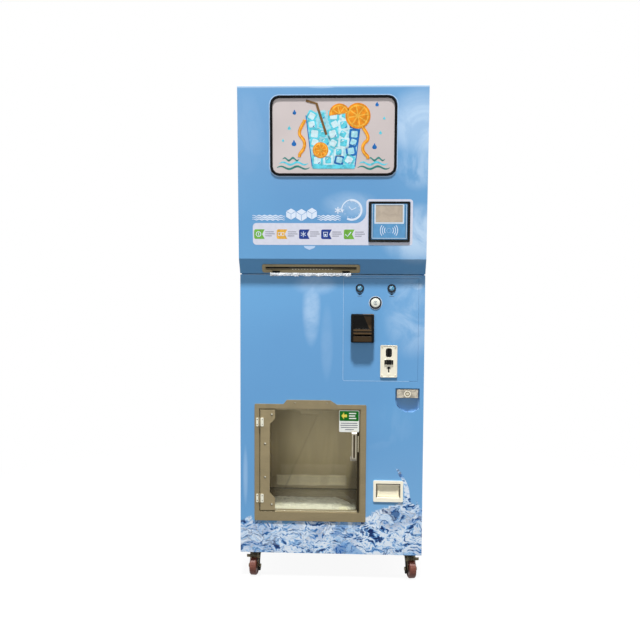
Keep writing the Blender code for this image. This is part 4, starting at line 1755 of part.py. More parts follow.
def service_holes():
    """Cutters for the back panel's three service holes."""
    start, end = BODY_DEPTH - SHEET - OVERRUN, BODY_DEPTH + OVERRUN
    low, high = around(POWER_CENTRE, (POWER_WIDTH + 2 * SEAT_GAP, POWER_HEIGHT + 2 * SEAT_GAP))
    return [
        rod("Y", VALVE_CENTRE, NIPPLE_RADIUS + PIN_GAP, start, end, KNOB_SIDES),
        rod("Y", DRAIN_CENTRE, DRAIN_RADIUS + PIN_GAP, start, end, KNOB_SIDES),
        block((low[0], start, low[1]), (high[0], end, high[1])),
    ]


def build_services(machine):
    seat, mouth = BACK_INSIDE, BODY_DEPTH - NIPPLE_SINK
    low, high = around(VALVE_CENTRE, (VALVE_WIDTH, VALVE_HEIGHT))
    valve = block((low[0], seat - VALVE_DEPTH, low[1]), (high[0], seat, high[1]))
    nipple = rod("Y", VALVE_CENTRE, NIPPLE_RADIUS, seat - LAP, mouth, KNOB_SIDES)
    coil = rod("Z", (VALVE_CENTRE[0], seat - VALVE_DEPTH / 2), VALVE_DEPTH / 3, high[1] - LAP,
               high[1] + VALVE_HEIGHT / 2, KNOB_SIDES)
    bore = rod("Y", VALVE_CENTRE, NIPPLE_BORE_RADIUS, seat - VALVE_DEPTH / 2, mouth + OVERRUN, KNOB_SIDES)
    place_piece(cut(fuse(valve, nipple, coil), bore), "water_inlet_valve", "brass", machine)

    drain = rod("Y", DRAIN_CENTRE, DRAIN_RADIUS, seat - DRAIN_LENGTH, mouth, KNOB_SIDES)
    flange = rod("Y", DRAIN_CENTRE, DRAIN_FLANGE_RADIUS, seat - DRAIN_FLANGE_THICKNESS, seat, KNOB_SIDES)
    bore = rod(
        "Y", DRAIN_CENTRE, NIPPLE_BORE_RADIUS, seat - DRAIN_LENGTH - OVERRUN, mouth + OVERRUN, KNOB_SIDES
    )
    place_piece(cut(fuse(drain, flange), bore), "drain_outlet", "grey_plastic", machine)

    low, high = around(POWER_CENTRE, (POWER_WIDTH, POWER_HEIGHT))
    inlet = block((low[0], seat - POWER_DEPTH, low[1]), (high[0], mouth, high[1]))
    flange_low, flange_high = grown(low, high, POWER_FLANGE)
    flange = block(
        (flange_low[0], seat - POWER_FLANGE_THICKNESS, flange_low[1]), (flange_high[0], seat, flange_high[1])
    )
    fuse(inlet, flange)
    room_low, room_high = grown(low, high, -SHEET)
    cut(
        inlet,
        block((room_low[0], seat - POWER_DEPTH / 2, room_low[1]), (room_high[0], mouth + OVERRUN, room_high[1])),
    )
    blades = []
    for index in range(POWER_BLADE_COUNT):
        middle = low[0] + POWER_WIDTH * (index + 1) / (POWER_BLADE_COUNT + 1)
        blades.append(block((middle - SHEET / 2, seat - POWER_DEPTH / 2 - LAP, low[1] + POWER_HEIGHT / 3),
                            (middle + SHEET / 2, seat - SHEET, high[1] - POWER_HEIGHT / 3)))
    place_piece(fuse(inlet, *blades), "power_inlet", "black_plastic", machine)

    right = RIGHT - CONTROL_RIGHT_GAP
    left = right - CONTROL_WIDTH
    back = BODY_DEPTH - CONTROL_BACK_GAP
    front = back - CONTROL_DEPTH
    foot = STORE_FLOOR + SEAT_GAP
    head = foot + CONTROL_HEIGHT
    box = block(
        (left + CONTROL_STEP, front, foot + CONTROL_STEP), (right - CONTROL_STEP, back, head - CONTROL_STEP)
    )
    lid = block((left, front + LAP, foot), (right, front + CONTROL_LID, head))
    feet = [
        block((left + share * CONTROL_WIDTH, front + CONTROL_LID, foot),
              (left + share * CONTROL_WIDTH + CONTROL_LID, back - LAP, foot + 2 * CONTROL_STEP))
        for share in CONTROL_FOOT_SHARES
    ]
    room = block((left + CONTROL_STEP + SHEET, front + SHEET, foot + 2 * CONTROL_STEP + SHEET),
                 (right - CONTROL_STEP - SHEET, back - SHEET, head - CONTROL_STEP - SHEET))
    gland = rod("Y", (right - 2 * CONTROL_LID, head - 2 * CONTROL_LID), GLAND_RADIUS, back - SHEET - OVERRUN,
                back + OVERRUN)
    place_piece(cut(fuse(box, lid, *feet), room, gland), "control_box", "grey_paint", machine)


def main():
    for obj in list(bpy.data.objects):
        bpy.data.objects.remove(obj)
    front = (FACE @ Vector((0, -EDGING_PROUD, SIGN_HIGH[1]))).y
    footprint = ((LEFT - KNUCKLE_RADIUS + RIGHT) / 2, (front + BODY_DEPTH) / 2)
    machine = carrier("machine", None, Matrix.Translation((-footprint[0], -footprint[1], 0)))
    build_castors(machine)
    build_shell(machine)
    build_store(machine)
    build_ice_maker(machine)
    build_compressor(machine)
    build_condenser(machine)
    build_services(machine)
    build_lower_door(machine)
    build_upper_door(machine)
    bpy.context.view_layer.update()


if __name__ == "__main__":
    main()
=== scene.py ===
"""Dresses an ice vending machine in vinyl wrap, steel, print and film, and sets its stage."""

import math
import random

import bmesh
import bpy
from bpy.props import FloatProperty, FloatVectorProperty, IntProperty, PointerProperty
from bpy.types import Operator, Panel, PropertyGroup
from mathutils import Matrix, Vector, noise


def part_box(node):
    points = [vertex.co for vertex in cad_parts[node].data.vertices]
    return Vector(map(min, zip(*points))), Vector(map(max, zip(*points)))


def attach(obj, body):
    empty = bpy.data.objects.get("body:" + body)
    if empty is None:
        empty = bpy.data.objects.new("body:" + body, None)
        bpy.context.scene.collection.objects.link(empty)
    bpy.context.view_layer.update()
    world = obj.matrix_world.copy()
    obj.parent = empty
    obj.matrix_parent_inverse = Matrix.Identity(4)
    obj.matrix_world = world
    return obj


bl_info = {
    "name": "Ice Vending Machine Dresser",
    "version": (1, 0, 0),
    "blender": (4, 5, 0),
    "location": "3D View > Sidebar > Ice Machine",
    "description": "Finishes and graphics for an ice vending machine",
    "category": "Object",
}

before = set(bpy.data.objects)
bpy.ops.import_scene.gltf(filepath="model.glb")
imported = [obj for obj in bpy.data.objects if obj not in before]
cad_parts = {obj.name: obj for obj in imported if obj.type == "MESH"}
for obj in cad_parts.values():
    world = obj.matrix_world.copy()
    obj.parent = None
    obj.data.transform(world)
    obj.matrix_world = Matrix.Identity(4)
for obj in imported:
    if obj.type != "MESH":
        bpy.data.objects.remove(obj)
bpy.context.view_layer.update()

# The machine's drawing, in metres: x from the cabinet's middle, y from the lower door's face and z up
DOOR_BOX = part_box("lower_door_panel")
ROOF_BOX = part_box("top_panel")
MIDDLE = (ROOF_BOX[0].x + ROOF_BOX[1].x) / 2
FRONT = DOOR_BOX[0].y
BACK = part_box("back_panel")[1].y - FRONT
BAY_FLOOR = 0.2648

# The upper door starts at the split, slopes out to the bend and leans back above it
SPLIT = 1.231
BEND = 1.291
OVERHANG = 0.038
SLOPE = math.atan2(OVERHANG, BEND - SPLIT)
FACE_HEIGHT, LEAN_BACK = 0.661, 0.043
LEAN = math.atan2(LEAN_BACK, FACE_HEIGHT)

# A sheet's own drawing is x across and y up it, with its third axis standing out of the machine's front
UPRIGHT = Matrix(((1, 0, 0, 0), (0, 0, -1, 0), (0, 1, 0, 0), (0, 0, 0, 1)))
LOWER = Matrix.Translation((MIDDLE, FRONT, 0)) @ UPRIGHT
FACE = Matrix.Translation((MIDDLE, FRONT - OVERHANG, BEND)) @ Matrix.Rotation(LEAN, 4, "X") @ UPRIGHT
BAND = Matrix.Translation((MIDDLE, FRONT, SPLIT)) @ Matrix.Rotation(SLOPE, 4, "X") @ UPRIGHT

# Pale patches on the wrap, printed clouds and painted reflections and highlights: across and up from the
# floor, half width, half height, strength, and how smooth they are
CLOUDS_AND_GLARE = (
    (0.345, 1.81, 0.17, 0.16, 1.0, 0.60),
    (0.33, 1.66, 0.10, 0.12, 0.60, 0.10),
    (0.33, 1.39, 0.17, 0.13, 1.0, 0.35),
    (0.07, 1.50, 0.13, 0.06, 0.45, 0.30),
    (0.32, 1.07, 0.13, 0.19, 0.50, 0.15),
    # painted reflection: a pale streak down the lower door
    (-0.082, 1.10, 0.042, 0.17, 0.60, 0.40),
    (-0.070, 1.19, 0.100, 0.05, 0.45, 0.50),
    # painted reflection: a fainter streak down the lower door
    (-0.020, 0.96, 0.030, 0.17, 0.16, 0.50),
    (-0.345, 0.42, 0.012, 0.14, 0.35, 0.90),
    (0.20, 0.62, 0.16, 0.12, 0.10, 0.10),
    # painted highlights of crumpled film at the payment panel's top corner
    (0.335, 1.185, 0.030, 0.020, 0.85, 0.25),
    (-0.34, 1.78, 0.12, 0.22, 0.20, 0.60),
    (-0.045, 1.940, 0.060, 0.006, 0.80, 0.60),
    (0.66, 1.62, 0.20, 0.13, 0.60, 0.05),
    (0.82, 1.20, 0.17, 0.16, 0.50, 0.05),
    (0.58, 0.84, 0.13, 0.10, 0.35, 0.05),
)

# The thumb recess under the lock, where its painted shade goes, as the soft edges of its width, height and
# depth
RECESS_WIDTH = ((MIDDLE + 0.250, MIDDLE + 0.252), (MIDDLE + 0.352, MIDDLE + 0.354))
RECESS_HEIGHT = ((0.682, 0.684), (0.7445, 0.7455))
RECESS_DEPTH = ((0.0010, 0.0016), (0.022, 0.024))

# The sign's drawing on the door's face: its middle and foot, and the glass's height and half widths
SIGN_MIDDLE, SIGN_FOOT = 0.004, 0.354
GLASS_HEIGHT, GLASS_RIM, GLASS_BASE = 0.192, 0.106, 0.082

# Push buttons and the lock's middle, across and up the lower door
SIDE_BUTTONS = (0.109, 0.234)
MAIN_BUTTON = (0.171, 1.120)
LOCK_CENTRE = (0.301, 0.7597)

# How far the faces that carry artwork stand out of the doors
READER_FACE, SCREEN_FACE = 0.0028, 0.0014
SLOT_FACE, TOOTH_FACE, LIP_FACE = 0.0042, 0.0018, 0.0008
BUTTON_FACE, CUP_FACE, LABEL_FACE, PANE_FACE = 0.0051, 0.0041, 0.0046, 0.0041
FIXED_LEAF_FACE, MOVING_LEAF_FACE, ARCH_FACE, HANDLE_FACE = 0.0067, 0.0077, 0.0051, 0.0304

# Castors: name, place across and behind the door's face, and the way they are turned, in degrees
CASTORS = (
    ("front_left", -0.311, 0.070, -5),
    ("front_right", 0.321, 0.070, 10),
    ("rear_left", -0.311, 0.690, 14),
    ("rear_right", 0.321, 0.690, -8),
)

# Lamps: name, power setting, width and height, place, and the spot they shine at, in the machine's drawing
LAMPS = (
    ("overhead_key", "key_power", (1.5, 0.9), (0.1, -4.0, 12.2), (0, 0, 1.2)),
    ("front_fill", "fill_power", (2.4, 1.6), (-0.5, -4.2, 1.7), (0, 0, 0.8)),
    ("left_side", "side_power", (1.2, 2.0), (-3.2, 0.5, 2.4), (0, 0.3, 0.9)),
    ("right_side", "side_power", (1.2, 2.0), (3.2, 0.5, 2.4), (0, 0.3, 0.9)),
    ("rear", "side_power", (2.0, 2.0), (0.2, 4.2, 3.0), (0, 0.7, 0.9)),
)

# How far the floor lies under the wheels
FLOOR_GAP = 0.0005

# The camera's turns in degrees, and its place beside the machine's middle and over the floor
CAMERA_YAW, CAMERA_PITCH, CAMERA_ROLL = -2.608, 3.769, 0.295
CAMERA_SIDE, CAMERA_HEIGHT = 0.098, 1.2633


def paint(red, green, blue):
    """A screen colour of 0 to 255 as the linear colour that a shader takes."""
    def linear(level):
        level /= 255
        return level / 12.92 if level <= 0.04045 else ((level + 0.055) / 1.055) ** 2.4
    return (linear(red), linear(green), linear(blue), 1.0)


def shade(colour, factor):
    return tuple(min(1.0, level * factor) for level in colour[:3]) + (1.0,)


def colour_setting(name, description, default):
    return FloatVectorProperty(
        name=name, description=description, default=default, subtype="COLOR", size=4, min=0, max=1
    )


def length_setting(name, description, default):
    return FloatProperty(name=name, description=description, default=default, unit="LENGTH")


def power_setting(name, description, default):
    return FloatProperty(name=name, description=description, default=default, unit="POWER")


class WrapSettings(PropertyGroup):
    sky: colour_setting("Sky", "Main blue of the vinyl wrap", paint(107, 165, 213))
    sky_deep: colour_setting("Deep sky", "Darker blue in the sky", paint(103, 158, 207))
    cloud: colour_setting("Cloud", "Pale haze in the sky", paint(190, 217, 243))
    frost: colour_setting("Frost", "Palest colour of the ice band", paint(226, 234, 243))
    ice: colour_setting("Ice", "Light blue of the ice band", paint(160, 200, 236))
    water: colour_setting("Water", "Mid blue of the ice band", paint(62, 118, 182))
    depth: colour_setting("Depth", "Navy strokes of the ice band", paint(14, 34, 88))
    ice_height: length_setting("Ice band height", "Height of the ice band's crest", 0.246)


class MetalSettings(PropertyGroup):
    stainless: colour_setting("Stainless", "Brushed steel of the hatch frame", paint(137, 124, 94))
    bright: colour_setting("Bright steel", "Polished fittings", paint(196, 188, 170))
    plated: colour_setting("Zinc plate", "Castor forks and seats", paint(128, 116, 88))
    cream: colour_setting("Cream", "Coin acceptor's enamel", paint(238, 232, 212))
    aluminium: colour_setting("Aluminium", "Cooling fins", paint(190, 192, 194))
    brass: colour_setting("Brass", "Water valve", paint(196, 162, 92))


class PlasticSettings(PropertyGroup):
    black: colour_setting("Black", "Moulded black plastic", paint(12, 11, 9))
    smoke: colour_setting("Smoked window", "Note unit's window", paint(92, 72, 48))
    rubber: colour_setting("Rubber", "Gaskets and pads", paint(9, 9, 10))
    white: colour_setting("White", "Moulded white plastic", paint(228, 230, 230))
    grey: colour_setting("Grey", "Moulded grey plastic", paint(150, 152, 154))
    maroon: colour_setting("Maroon", "Castor tyres", paint(92, 42, 28))
    lens_blue: colour_setting("Blue lens", "Small push buttons", paint(52, 140, 178))
    film: colour_setting("Film", "Clear bag film", paint(238, 243, 247))


class GraphicSettings(PropertyGroup):
    sign_ground: colour_setting("Sign ground", "Frosted sign face", paint(205, 194, 192))
    aqua: colour_setting("Aqua", "Light ice colour on the sign", paint(92, 200, 218))
    teal: colour_setting("Teal", "Darker waves on the sign", paint(46, 128, 122))
    ocean: colour_setting("Ocean", "Deep ice colour on the sign", paint(24, 104, 176))
    gold: colour_setting("Gold", "Warm fruit colour on the sign", paint(226, 138, 20))
    amber: colour_setting("Amber", "Pale fruit colour on the sign", paint(238, 176, 62))
    umber: colour_setting("Umber", "Straw on the sign", paint(112, 82, 44))
    panel_white: colour_setting("Panel white", "Instruction strip", paint(218, 219, 232))
    icon_white: colour_setting("Icon white", "White pictures on the wrap", paint(222, 233, 248))
    leaf: colour_setting("Leaf green", "Green tiles", paint(112, 174, 66))
    sun: colour_setting("Sun yellow", "Yellow tiles", paint(226, 172, 64))
    navy: colour_setting("Navy", "Blue tiles", paint(36, 62, 138))
    label_green: colour_setting("Label green", "Hatch label", paint(6, 96, 20))
    label_yellow: colour_setting("Label yellow", "Arrow of the hatch label", paint(222, 206, 84))
    ink: colour_setting("Ink", "Printed rows", paint(98, 100, 116))
    reader_blue: colour_setting("Reader blue", "Card reader's membrane", paint(96, 154, 200))
    screen: colour_setting("Screen", "Card reader's display", paint(184, 168, 148))


class FilmSettings(PropertyGroup):
    width: length_setting("Width", "Bag film's width", 0.320)
    drop: length_setting("Drop", "How far film hangs out of the slot", 0.0135)
    thickness: length_setting("Thickness", "Drawn thickness of the film and the sheet", 0.0004)
    seed: IntProperty(name="Seed", description="Which crumple the film and the sheet take", default=7)
    sheet_width: length_setting("Bay sheet width", "Width of the sheet in the bay", 0.362)
    sheet_length: length_setting("Bay sheet length", "Length of the sheet in the bay", 0.235)
    sheet_colour: colour_setting("Bay sheet", "Crumpled white sheet in the bay", paint(247, 244, 226))


class StageSettings(PropertyGroup):
    floor: colour_setting("Floor", "Floor under its white glow", paint(92, 92, 92))
    key_power: power_setting("Key light", "Power of the overhead lamp", 2500)
    fill_power: power_setting("Fill light", "Power of the front lamp", 34)
    side_power: power_setting("Side light", "Power of the side and rear lamps", 90)
    sky_strength: FloatProperty(name="Sky", description="Strength of the world's light", default=0.26)
    camera_distance: length_setting("Camera distance", "Camera to the door's face", 3.2)
    lens: FloatProperty(name="Lens", description="Focal length", default=45.6, unit="CAMERA")


class MachineSettings(PropertyGroup):
    wrap: PointerProperty(type=WrapSettings)
    metal: PointerProperty(type=MetalSettings)
    plastic: PointerProperty(type=PlasticSettings)
    graphic: PointerProperty(type=GraphicSettings)
    film: PointerProperty(type=FilmSettings)
    stage: PointerProperty(type=StageSettings)


# Finishes


class Finish:
    """A Principled material and the nodes that feed it, placed on the object's own coordinates."""

    def __init__(self, name, colour, roughness, metallic=0.0, **sockets):
        self.material = bpy.data.materials.new(name)
        self.material.use_nodes = True
        self.material.diffuse_color = tuple(colour)
        self.tree = self.material.node_tree
        self.shader = self.tree.nodes["Principled BSDF"]
        self.place = self.add("ShaderNodeTexCoord").outputs["Object"]
        self.set("Base Color", colour)
        self.set("Roughness", roughness)
        self.set("Metallic", metallic)
        for socket, value in sockets.items():
            self.set(socket.replace("_", " "), value)

    def set(self, socket, value):
        self.feed(self.shader.inputs[socket], value)

    def colour(self, value):
        self.set("Base Color", value)

    def roughen(self, value, low, high):
        """A roughness that wanders between two levels with a noise."""
        self.set("Roughness", self.step(value, 0.3, 0.7, low, high))

    def add(self, kind, *values, **settings):
        """A node with its settings, whose first sockets take the values in order."""
        node = self.tree.nodes.new(kind)
        for setting, value in settings.items():
            setattr(node, setting, value)
        for socket, value in zip(node.inputs, values):
            self.feed(socket, value)
        return node

    def feed(self, socket, value):
        if isinstance(value, bpy.types.NodeSocket):
            self.tree.links.new(value, socket)
        elif isinstance(value, (int, float)) or len(socket.default_value) == len(value):
            socket.default_value = value
        else:
            socket.default_value = tuple(value)[:3]

    def axis(self, letter):
        return self.add("ShaderNodeSeparateXYZ", self.place).outputs[letter]

    def stretched(self, across, deep, up, turn=0.0, at=None):
        """Coordinates scaled along the three axes and turned about the second."""
        node = self.add("ShaderNodeMapping", at or self.place)
        node.inputs["Rotation"].default_value = (0.0, turn, 0.0)
        node.inputs["Scale"].default_value = (across, deep, up)
        return node.outputs["Vector"]

    def cloudiness(self, scale, detail, roughness=0.5, distortion=0.0, at=None, output="Fac"):
        node = self.add("ShaderNodeTexNoise", at or self.place)
        sizes = {"Scale": scale, "Detail": detail, "Roughness": roughness, "Distortion": distortion}
        for socket, value in sizes.items():
            node.inputs[socket].default_value = value
        return node.outputs[output]

    def cells(self, scale, feature="F1", output="Distance", at=None):
        node = self.add("ShaderNodeTexVoronoi", at or self.place, feature=feature)
        node.inputs["Scale"].default_value = scale
        return node.outputs[output]

    def vector(self, operation, *values, output="Vector"):
        return self.add("ShaderNodeVectorMath", *values, operation=operation).outputs[output]

    def reach(self, across, up):
        """How far a point lies from a place on the machine's front, seen square on."""
        offset = self.vector("SUBTRACT", self.stretched(1.0, 0.0, 1.0), (MIDDLE + across, 0.0, up))
        return self.vector("LENGTH", offset, output="Value")

    def maths(self, operation, *values):
        return self.add("ShaderNodeMath", *values, operation=operation).outputs[0]

    def chain(self, operation, first, *others):
        for other in others:
            first = self.maths(operation, first, other)
        return first

    def times(self, *values):
        return self.chain("MULTIPLY", *values)

    def plus(self, *values):
        return self.chain("ADD", *values)

    def minus(self, *values):
        return self.chain("SUBTRACT", *values)

    def most(self, *values):
        return self.chain("MAXIMUM", *values)

    def line(self, value, slope, start):
        """A value times a slope, plus a start."""
        return self.maths("MULTIPLY_ADD", value, slope, start)

    def step(self, value, low, high, out_low=0.0, out_high=1.0):
        """A soft step between two levels of a value."""
        return self.add(
            "ShaderNodeMapRange", value, low, high, out_low, out_high, interpolation_type="SMOOTHSTEP"
        ).outputs[0]

    def window(self, value, rise, fall):
        """One between two soft edges of a value, each given as a low and a high level."""
        return self.times(self.step(value, *rise), self.step(value, fall[1], fall[0]))

    def bands(self, value, *stops):
        """Colours along a value, each with the level that it stands at."""
        node = self.add("ShaderNodeValToRGB", value)
        elements = node.color_ramp.elements
        while len(elements) < len(stops):
            elements.new(1.0)
        for element, (position, colour) in zip(elements, stops):
            element.position = position
            element.color = tuple(colour)
        return node.outputs[0]

    def mix(self, share, first, second, mode="MIX"):
        node = self.add("ShaderNodeMix", data_type="RGBA", blend_type=mode)
        for index, value in ((0, share), (6, first), (7, second)):
            self.feed(node.inputs[index], value)
        return node.outputs[2]

    def fade(self, value, low, high, share, first, second):
        """A first colour that gives way to a share of a second one between two levels of a value."""
        return self.mix(self.step(value, low, high, 0.0, share), first, second)

    def relief(self, height, depth, strength, corner=0.0):
        """Bumps from a height, over edges rounded by a corner radius."""
        node = self.add("ShaderNodeBump")
        node.inputs["Strength"].default_value = strength
        node.inputs["Distance"].default_value = depth
        self.feed(node.inputs["Height"], height)
        if corner:
            edge = self.add("ShaderNodeBevel", corner, samples=4)
            self.feed(node.inputs["Normal"], edge.outputs[0])
        self.set("Normal", node.outputs[0])


def blend(tree, share, first, second, output="Material Output"):
    """Feeds a tree's output with a shader that gives way to another one by a share."""
    node = tree.nodes.new("ShaderNodeMixShader")
    for socket, source in zip(node.inputs, (share, first, second)):
        tree.links.new(source, socket)
    tree.links.new(node.outputs[0], tree.nodes[output].inputs["Surface"])


def seen_rays(tree):
    """One for a ray that the camera follows, also through glass or off a mirror, and nought for others."""
    rays = tree.nodes.new("ShaderNodeLightPath")
    seen = rays.outputs["Is Camera Ray"]
    for other in (rays.outputs["Is Transmission Ray"], rays.outputs["Is Glossy Ray"]):
        node = tree.nodes.new("ShaderNodeMath")
        node.operation = "MAXIMUM"
        tree.links.new(seen, node.inputs[0])
        tree.links.new(other, node.inputs[1])
        seen = node.outputs[0]
    return seen


def haze_and_glare(wrap, x, y, z):
    """Soft ovals broken up by feathery noise, carried round the front corner onto the side: printed clouds,
    and painted reflections and highlights.
    """
    feather = wrap.step(wrap.cloudiness(6.5, 8.0, 0.62, 0.9, wrap.stretched(1.0, 1.0, 0.8)), 0.38, 0.60)
    haze = wrap.times(wrap.step(wrap.cloudiness(1.1, 1.0, 0.4), 0.42, 0.62), 0.10)
    behind = wrap.most(wrap.minus(y, FRONT + 0.010), 0.0)
    around = wrap.line(behind, 0.7, x)
    sway = wrap.minus(wrap.cloudiness(3.2, 3.0, 0.55, 0.4), 0.5)
    raised = wrap.plus(z, wrap.times(sway, wrap.step(behind, 0.0, 0.12, 0.0, 0.42)))
    for across, up, half_width, half_height, strength, smooth in CLOUDS_AND_GLARE:
        reach = wrap.maths("POWER", wrap.times(wrap.minus(around, MIDDLE + across), 1 / half_width), 2.0)
        lift = wrap.maths("POWER", wrap.times(wrap.minus(raised, up), 1 / half_height), 2.0)
        oval = wrap.step(wrap.plus(reach, lift), 1.0, 0.0)
        haze = wrap.most(haze, wrap.times(oval, wrap.line(feather, 1.0 - smooth, smooth), strength))
    return haze


def ice_band(wrap, x, z, deep, height):
    """The foot of the wrap, whose crest wanders and climbs towards the right-hand edge."""
    run = wrap.line(deep, 0.8, x)
    swell = wrap.times(wrap.maths("SINE", wrap.line(run, 11.0, 0.9)), 0.012)
    climb = wrap.times(wrap.step(run, 0.10, 0.30), 0.087)
    fall = wrap.times(wrap.step(run, 0.32, 0.46), -0.082)
    ragged = wrap.line(wrap.cloudiness(22.0, 4.0, 0.62, 0.6), 0.09, -0.045)
    crest = wrap.plus(wrap.plus(swell, climb), wrap.plus(fall, wrap.plus(ragged, height)))
    return wrap.step(wrap.minus(crest, z), -0.004, 0.006)


def splash(wrap, x, z, strokes):
    """A spout that rises from the crest near the right-hand edge, bends left and thins upwards."""
    above = wrap.most(wrap.minus(z, 0.36), 0.0)
    middle = wrap.line(wrap.times(above, above), -4.6, MIDDLE + 0.303)
    girth = wrap.line(wrap.minus(z, 0.30), -0.085, 0.0165)
    off = wrap.plus(wrap.maths("ABSOLUTE", wrap.minus(x, middle)), wrap.line(strokes, 0.030, -0.015))
    return wrap.times(wrap.step(wrap.minus(girth, off), -0.0005, 0.0010), wrap.step(z, 0.468, 0.460))


def broken_ice(wrap, look, warped, strokes):
    """Splinters of ice: warped cells whose faces are pale, blue or navy, over a stroked water ground."""
    water = wrap.bands(
        strokes, (0.0, look.depth), (0.38, look.depth), (0.41, look.water), (0.45, look.ice),
        (0.48, look.frost), (0.545, look.frost), (0.575, look.ice), (0.61, look.water), (0.65, look.depth),
    )
    tone = wrap.add("ShaderNodeSeparateColor", wrap.cells(19.0, output="Color", at=warped)).outputs[0]
    facet = wrap.bands(
        tone, (0.0, look.water), (0.16, look.ice), (0.45, look.frost), (0.74, look.ice), (0.88, look.water)
    )
    rim = wrap.step(wrap.cells(19.0, "DISTANCE_TO_EDGE", at=warped), 0.012, 0.07)
    facet = wrap.mix(wrap.times(wrap.minus(1.0, rim), 0.85), facet, look.depth)
    icy = wrap.mix(wrap.step(wrap.cloudiness(9.0, 2.0), 0.40, 0.60, 0.05, 0.50), water, facet)
    blue_patch = wrap.times(wrap.step(wrap.cloudiness(7.5, 4.0, 0.6, 0.5), 0.53, 0.60), 0.8)
    return wrap.mix(blue_patch, icy, wrap.mix(0.5, look.sky, look.ice), "MULTIPLY")


def vinyl_wrap(look):
    """Sky-blue printed vinyl: soft haze above, and a band of broken ice and water along the foot."""
    wrap = Finish("vinyl_wrap", look.sky, 0.40, Specular_IOR_Level=0.12)
    x, y, z = wrap.axis("X"), wrap.axis("Y"), wrap.axis("Z")
    deep = wrap.minus(y, FRONT)
    sky = wrap.fade(wrap.cloudiness(1.6, 2.0), 0.35, 0.65, 1.0, look.sky_deep, look.sky)
    # printed clouds, painted reflections and painted highlights, all in the pale cloud colour
    sky = wrap.mix(haze_and_glare(wrap, x, y, z), sky, look.cloud)
    # painted highlight along the sheet's folded top edge, and painted shade on its top face
    sky = wrap.fade(z, 1.936, 1.946, 0.85, sky, paint(224, 240, 254))
    sky = wrap.fade(z, 1.9506, 1.9514, 1.0, sky, shade(look.sky, 0.40))
    warp = wrap.cloudiness(16.0, 3.0, output="Color")
    warped = wrap.vector("MULTIPLY_ADD", warp, (0.085, 0.085, 0.085), wrap.place)
    warped = wrap.stretched(1.0, 1.0, 2.1, 0.55, warped)
    strokes = wrap.cloudiness(17.0, 5.0, 0.62, 1.3, warped)
    wet = wrap.most(ice_band(wrap, x, z, deep, look.ice_height), splash(wrap, x, z, strokes))
    colour = wrap.mix(wet, sky, broken_ice(wrap, look, warped, strokes))
    # painted shade inside the thumb recess, lighter on its floor than on its walls
    recess = wrap.times(
        wrap.window(deep, *RECESS_DEPTH), wrap.window(z, *RECESS_HEIGHT), wrap.window(x, *RECESS_WIDTH)
    )
    # painted shade: dark near the recess's mouth, lighter deeper in
    lining = wrap.fade(deep, 0.0060, 0.0085, 1.0, paint(64, 94, 124), paint(124, 168, 210))
    wrap.colour(wrap.mix(recess, colour, lining))
    ripple = wrap.cloudiness(4.0, 1.0, 0.4, 0.0, wrap.stretched(1.0, 1.0, 0.35))
    wrap.relief(wrap.line(wrap.cloudiness(420.0, 2.0), 0.04, ripple), 0.0012, 0.35, 0.0012)
    wrap.roughen(wrap.cloudiness(6.0, 2.0), 0.30, 0.38)
    return wrap.material


def painted_steel(name, colour, roughness=0.42):
    """Sprayed enamel: faint orange peel, a little dust and slightly uneven gloss."""
    steel = Finish(name, colour, roughness, Coat_Weight=0.15, Coat_Roughness=0.2)
    steel.colour(steel.fade(steel.cloudiness(7.0, 4.0, 0.6), 0.3, 0.7, 0.35, colour, shade(colour, 0.84)))
    steel.roughen(steel.cloudiness(26.0, 3.0), roughness - 0.06, roughness + 0.1)
    steel.relief(steel.cloudiness(560.0, 2.0), 0.00008, 0.6, 0.0008)
    return steel.material


def brushed_steel(name, colour, roughness):
    """Steel sheet drawn across, with fine hairlines and soft handling marks."""
    steel = Finish(name, colour, roughness, 1.0)
    hair = steel.cloudiness(46.0, 5.0, 0.62, 0.0, steel.stretched(1.0, 60.0, 60.0))
    marks = steel.cloudiness(9.0, 4.0, 0.6, 0.6)
    tone = steel.fade(hair, 0.32, 0.68, 1.0, shade(colour, 0.86), shade(colour, 1.12))
    steel.colour(steel.fade(marks, 0.45, 0.7, 0.25, tone, shade(colour, 0.66)))
    drawn = steel.step(hair, 0.3, 0.7, roughness - 0.05, roughness + 0.08)
    steel.set("Roughness", steel.plus(drawn, steel.step(marks, 0.4, 0.75, 0.0, 0.12)))
    steel.relief(hair, 0.00006, 0.6, 0.0007)
    return steel.material


def satin_metal(name, colour, roughness=0.42, metallic=0.35):
    """Lacquered steel: nearly even, with faint hairlines, darker where it has been handled."""
    steel = Finish(name, colour, roughness, metallic, Specular_IOR_Level=0.35)
    hair = steel.cloudiness(60.0, 4.0, 0.6, 0.0, steel.stretched(1.0, 40.0, 40.0))
    grime = steel.cloudiness(6.0, 5.0, 0.62, 0.8)
    tone = steel.fade(hair, 0.3, 0.7, 1.0, shade(colour, 0.90), shade(colour, 1.08))
    steel.colour(steel.fade(grime, 0.42, 0.72, 0.4, tone, shade(colour, 0.62)))
    steel.roughen(grime, 0.34, 0.5)
    steel.relief(hair, 0.00006, 0.5, 0.0012)
    return steel.material


def moulded_plastic(name, colour, roughness=0.4, grain=900.0, **sockets):
    """Injection-moulded plastic: spark-eroded grain, with faint flow marks and dust."""
    plastic = Finish(name, colour, roughness, **{"Specular_IOR_Level": 0.12, **sockets})
    flow = plastic.cloudiness(16.0, 3.0, 0.55, 0.4)
    plastic.colour(plastic.fade(flow, 0.35, 0.7, 0.4, colour, shade(colour, 1.25)))
    plastic.roughen(plastic.cloudiness(40.0, 3.0), max(0.03, roughness - 0.07), roughness + 0.08)
    plastic.relief(plastic.cloudiness(grain, 2.0), 0.00006, 0.6, 0.0006)
    return plastic.material


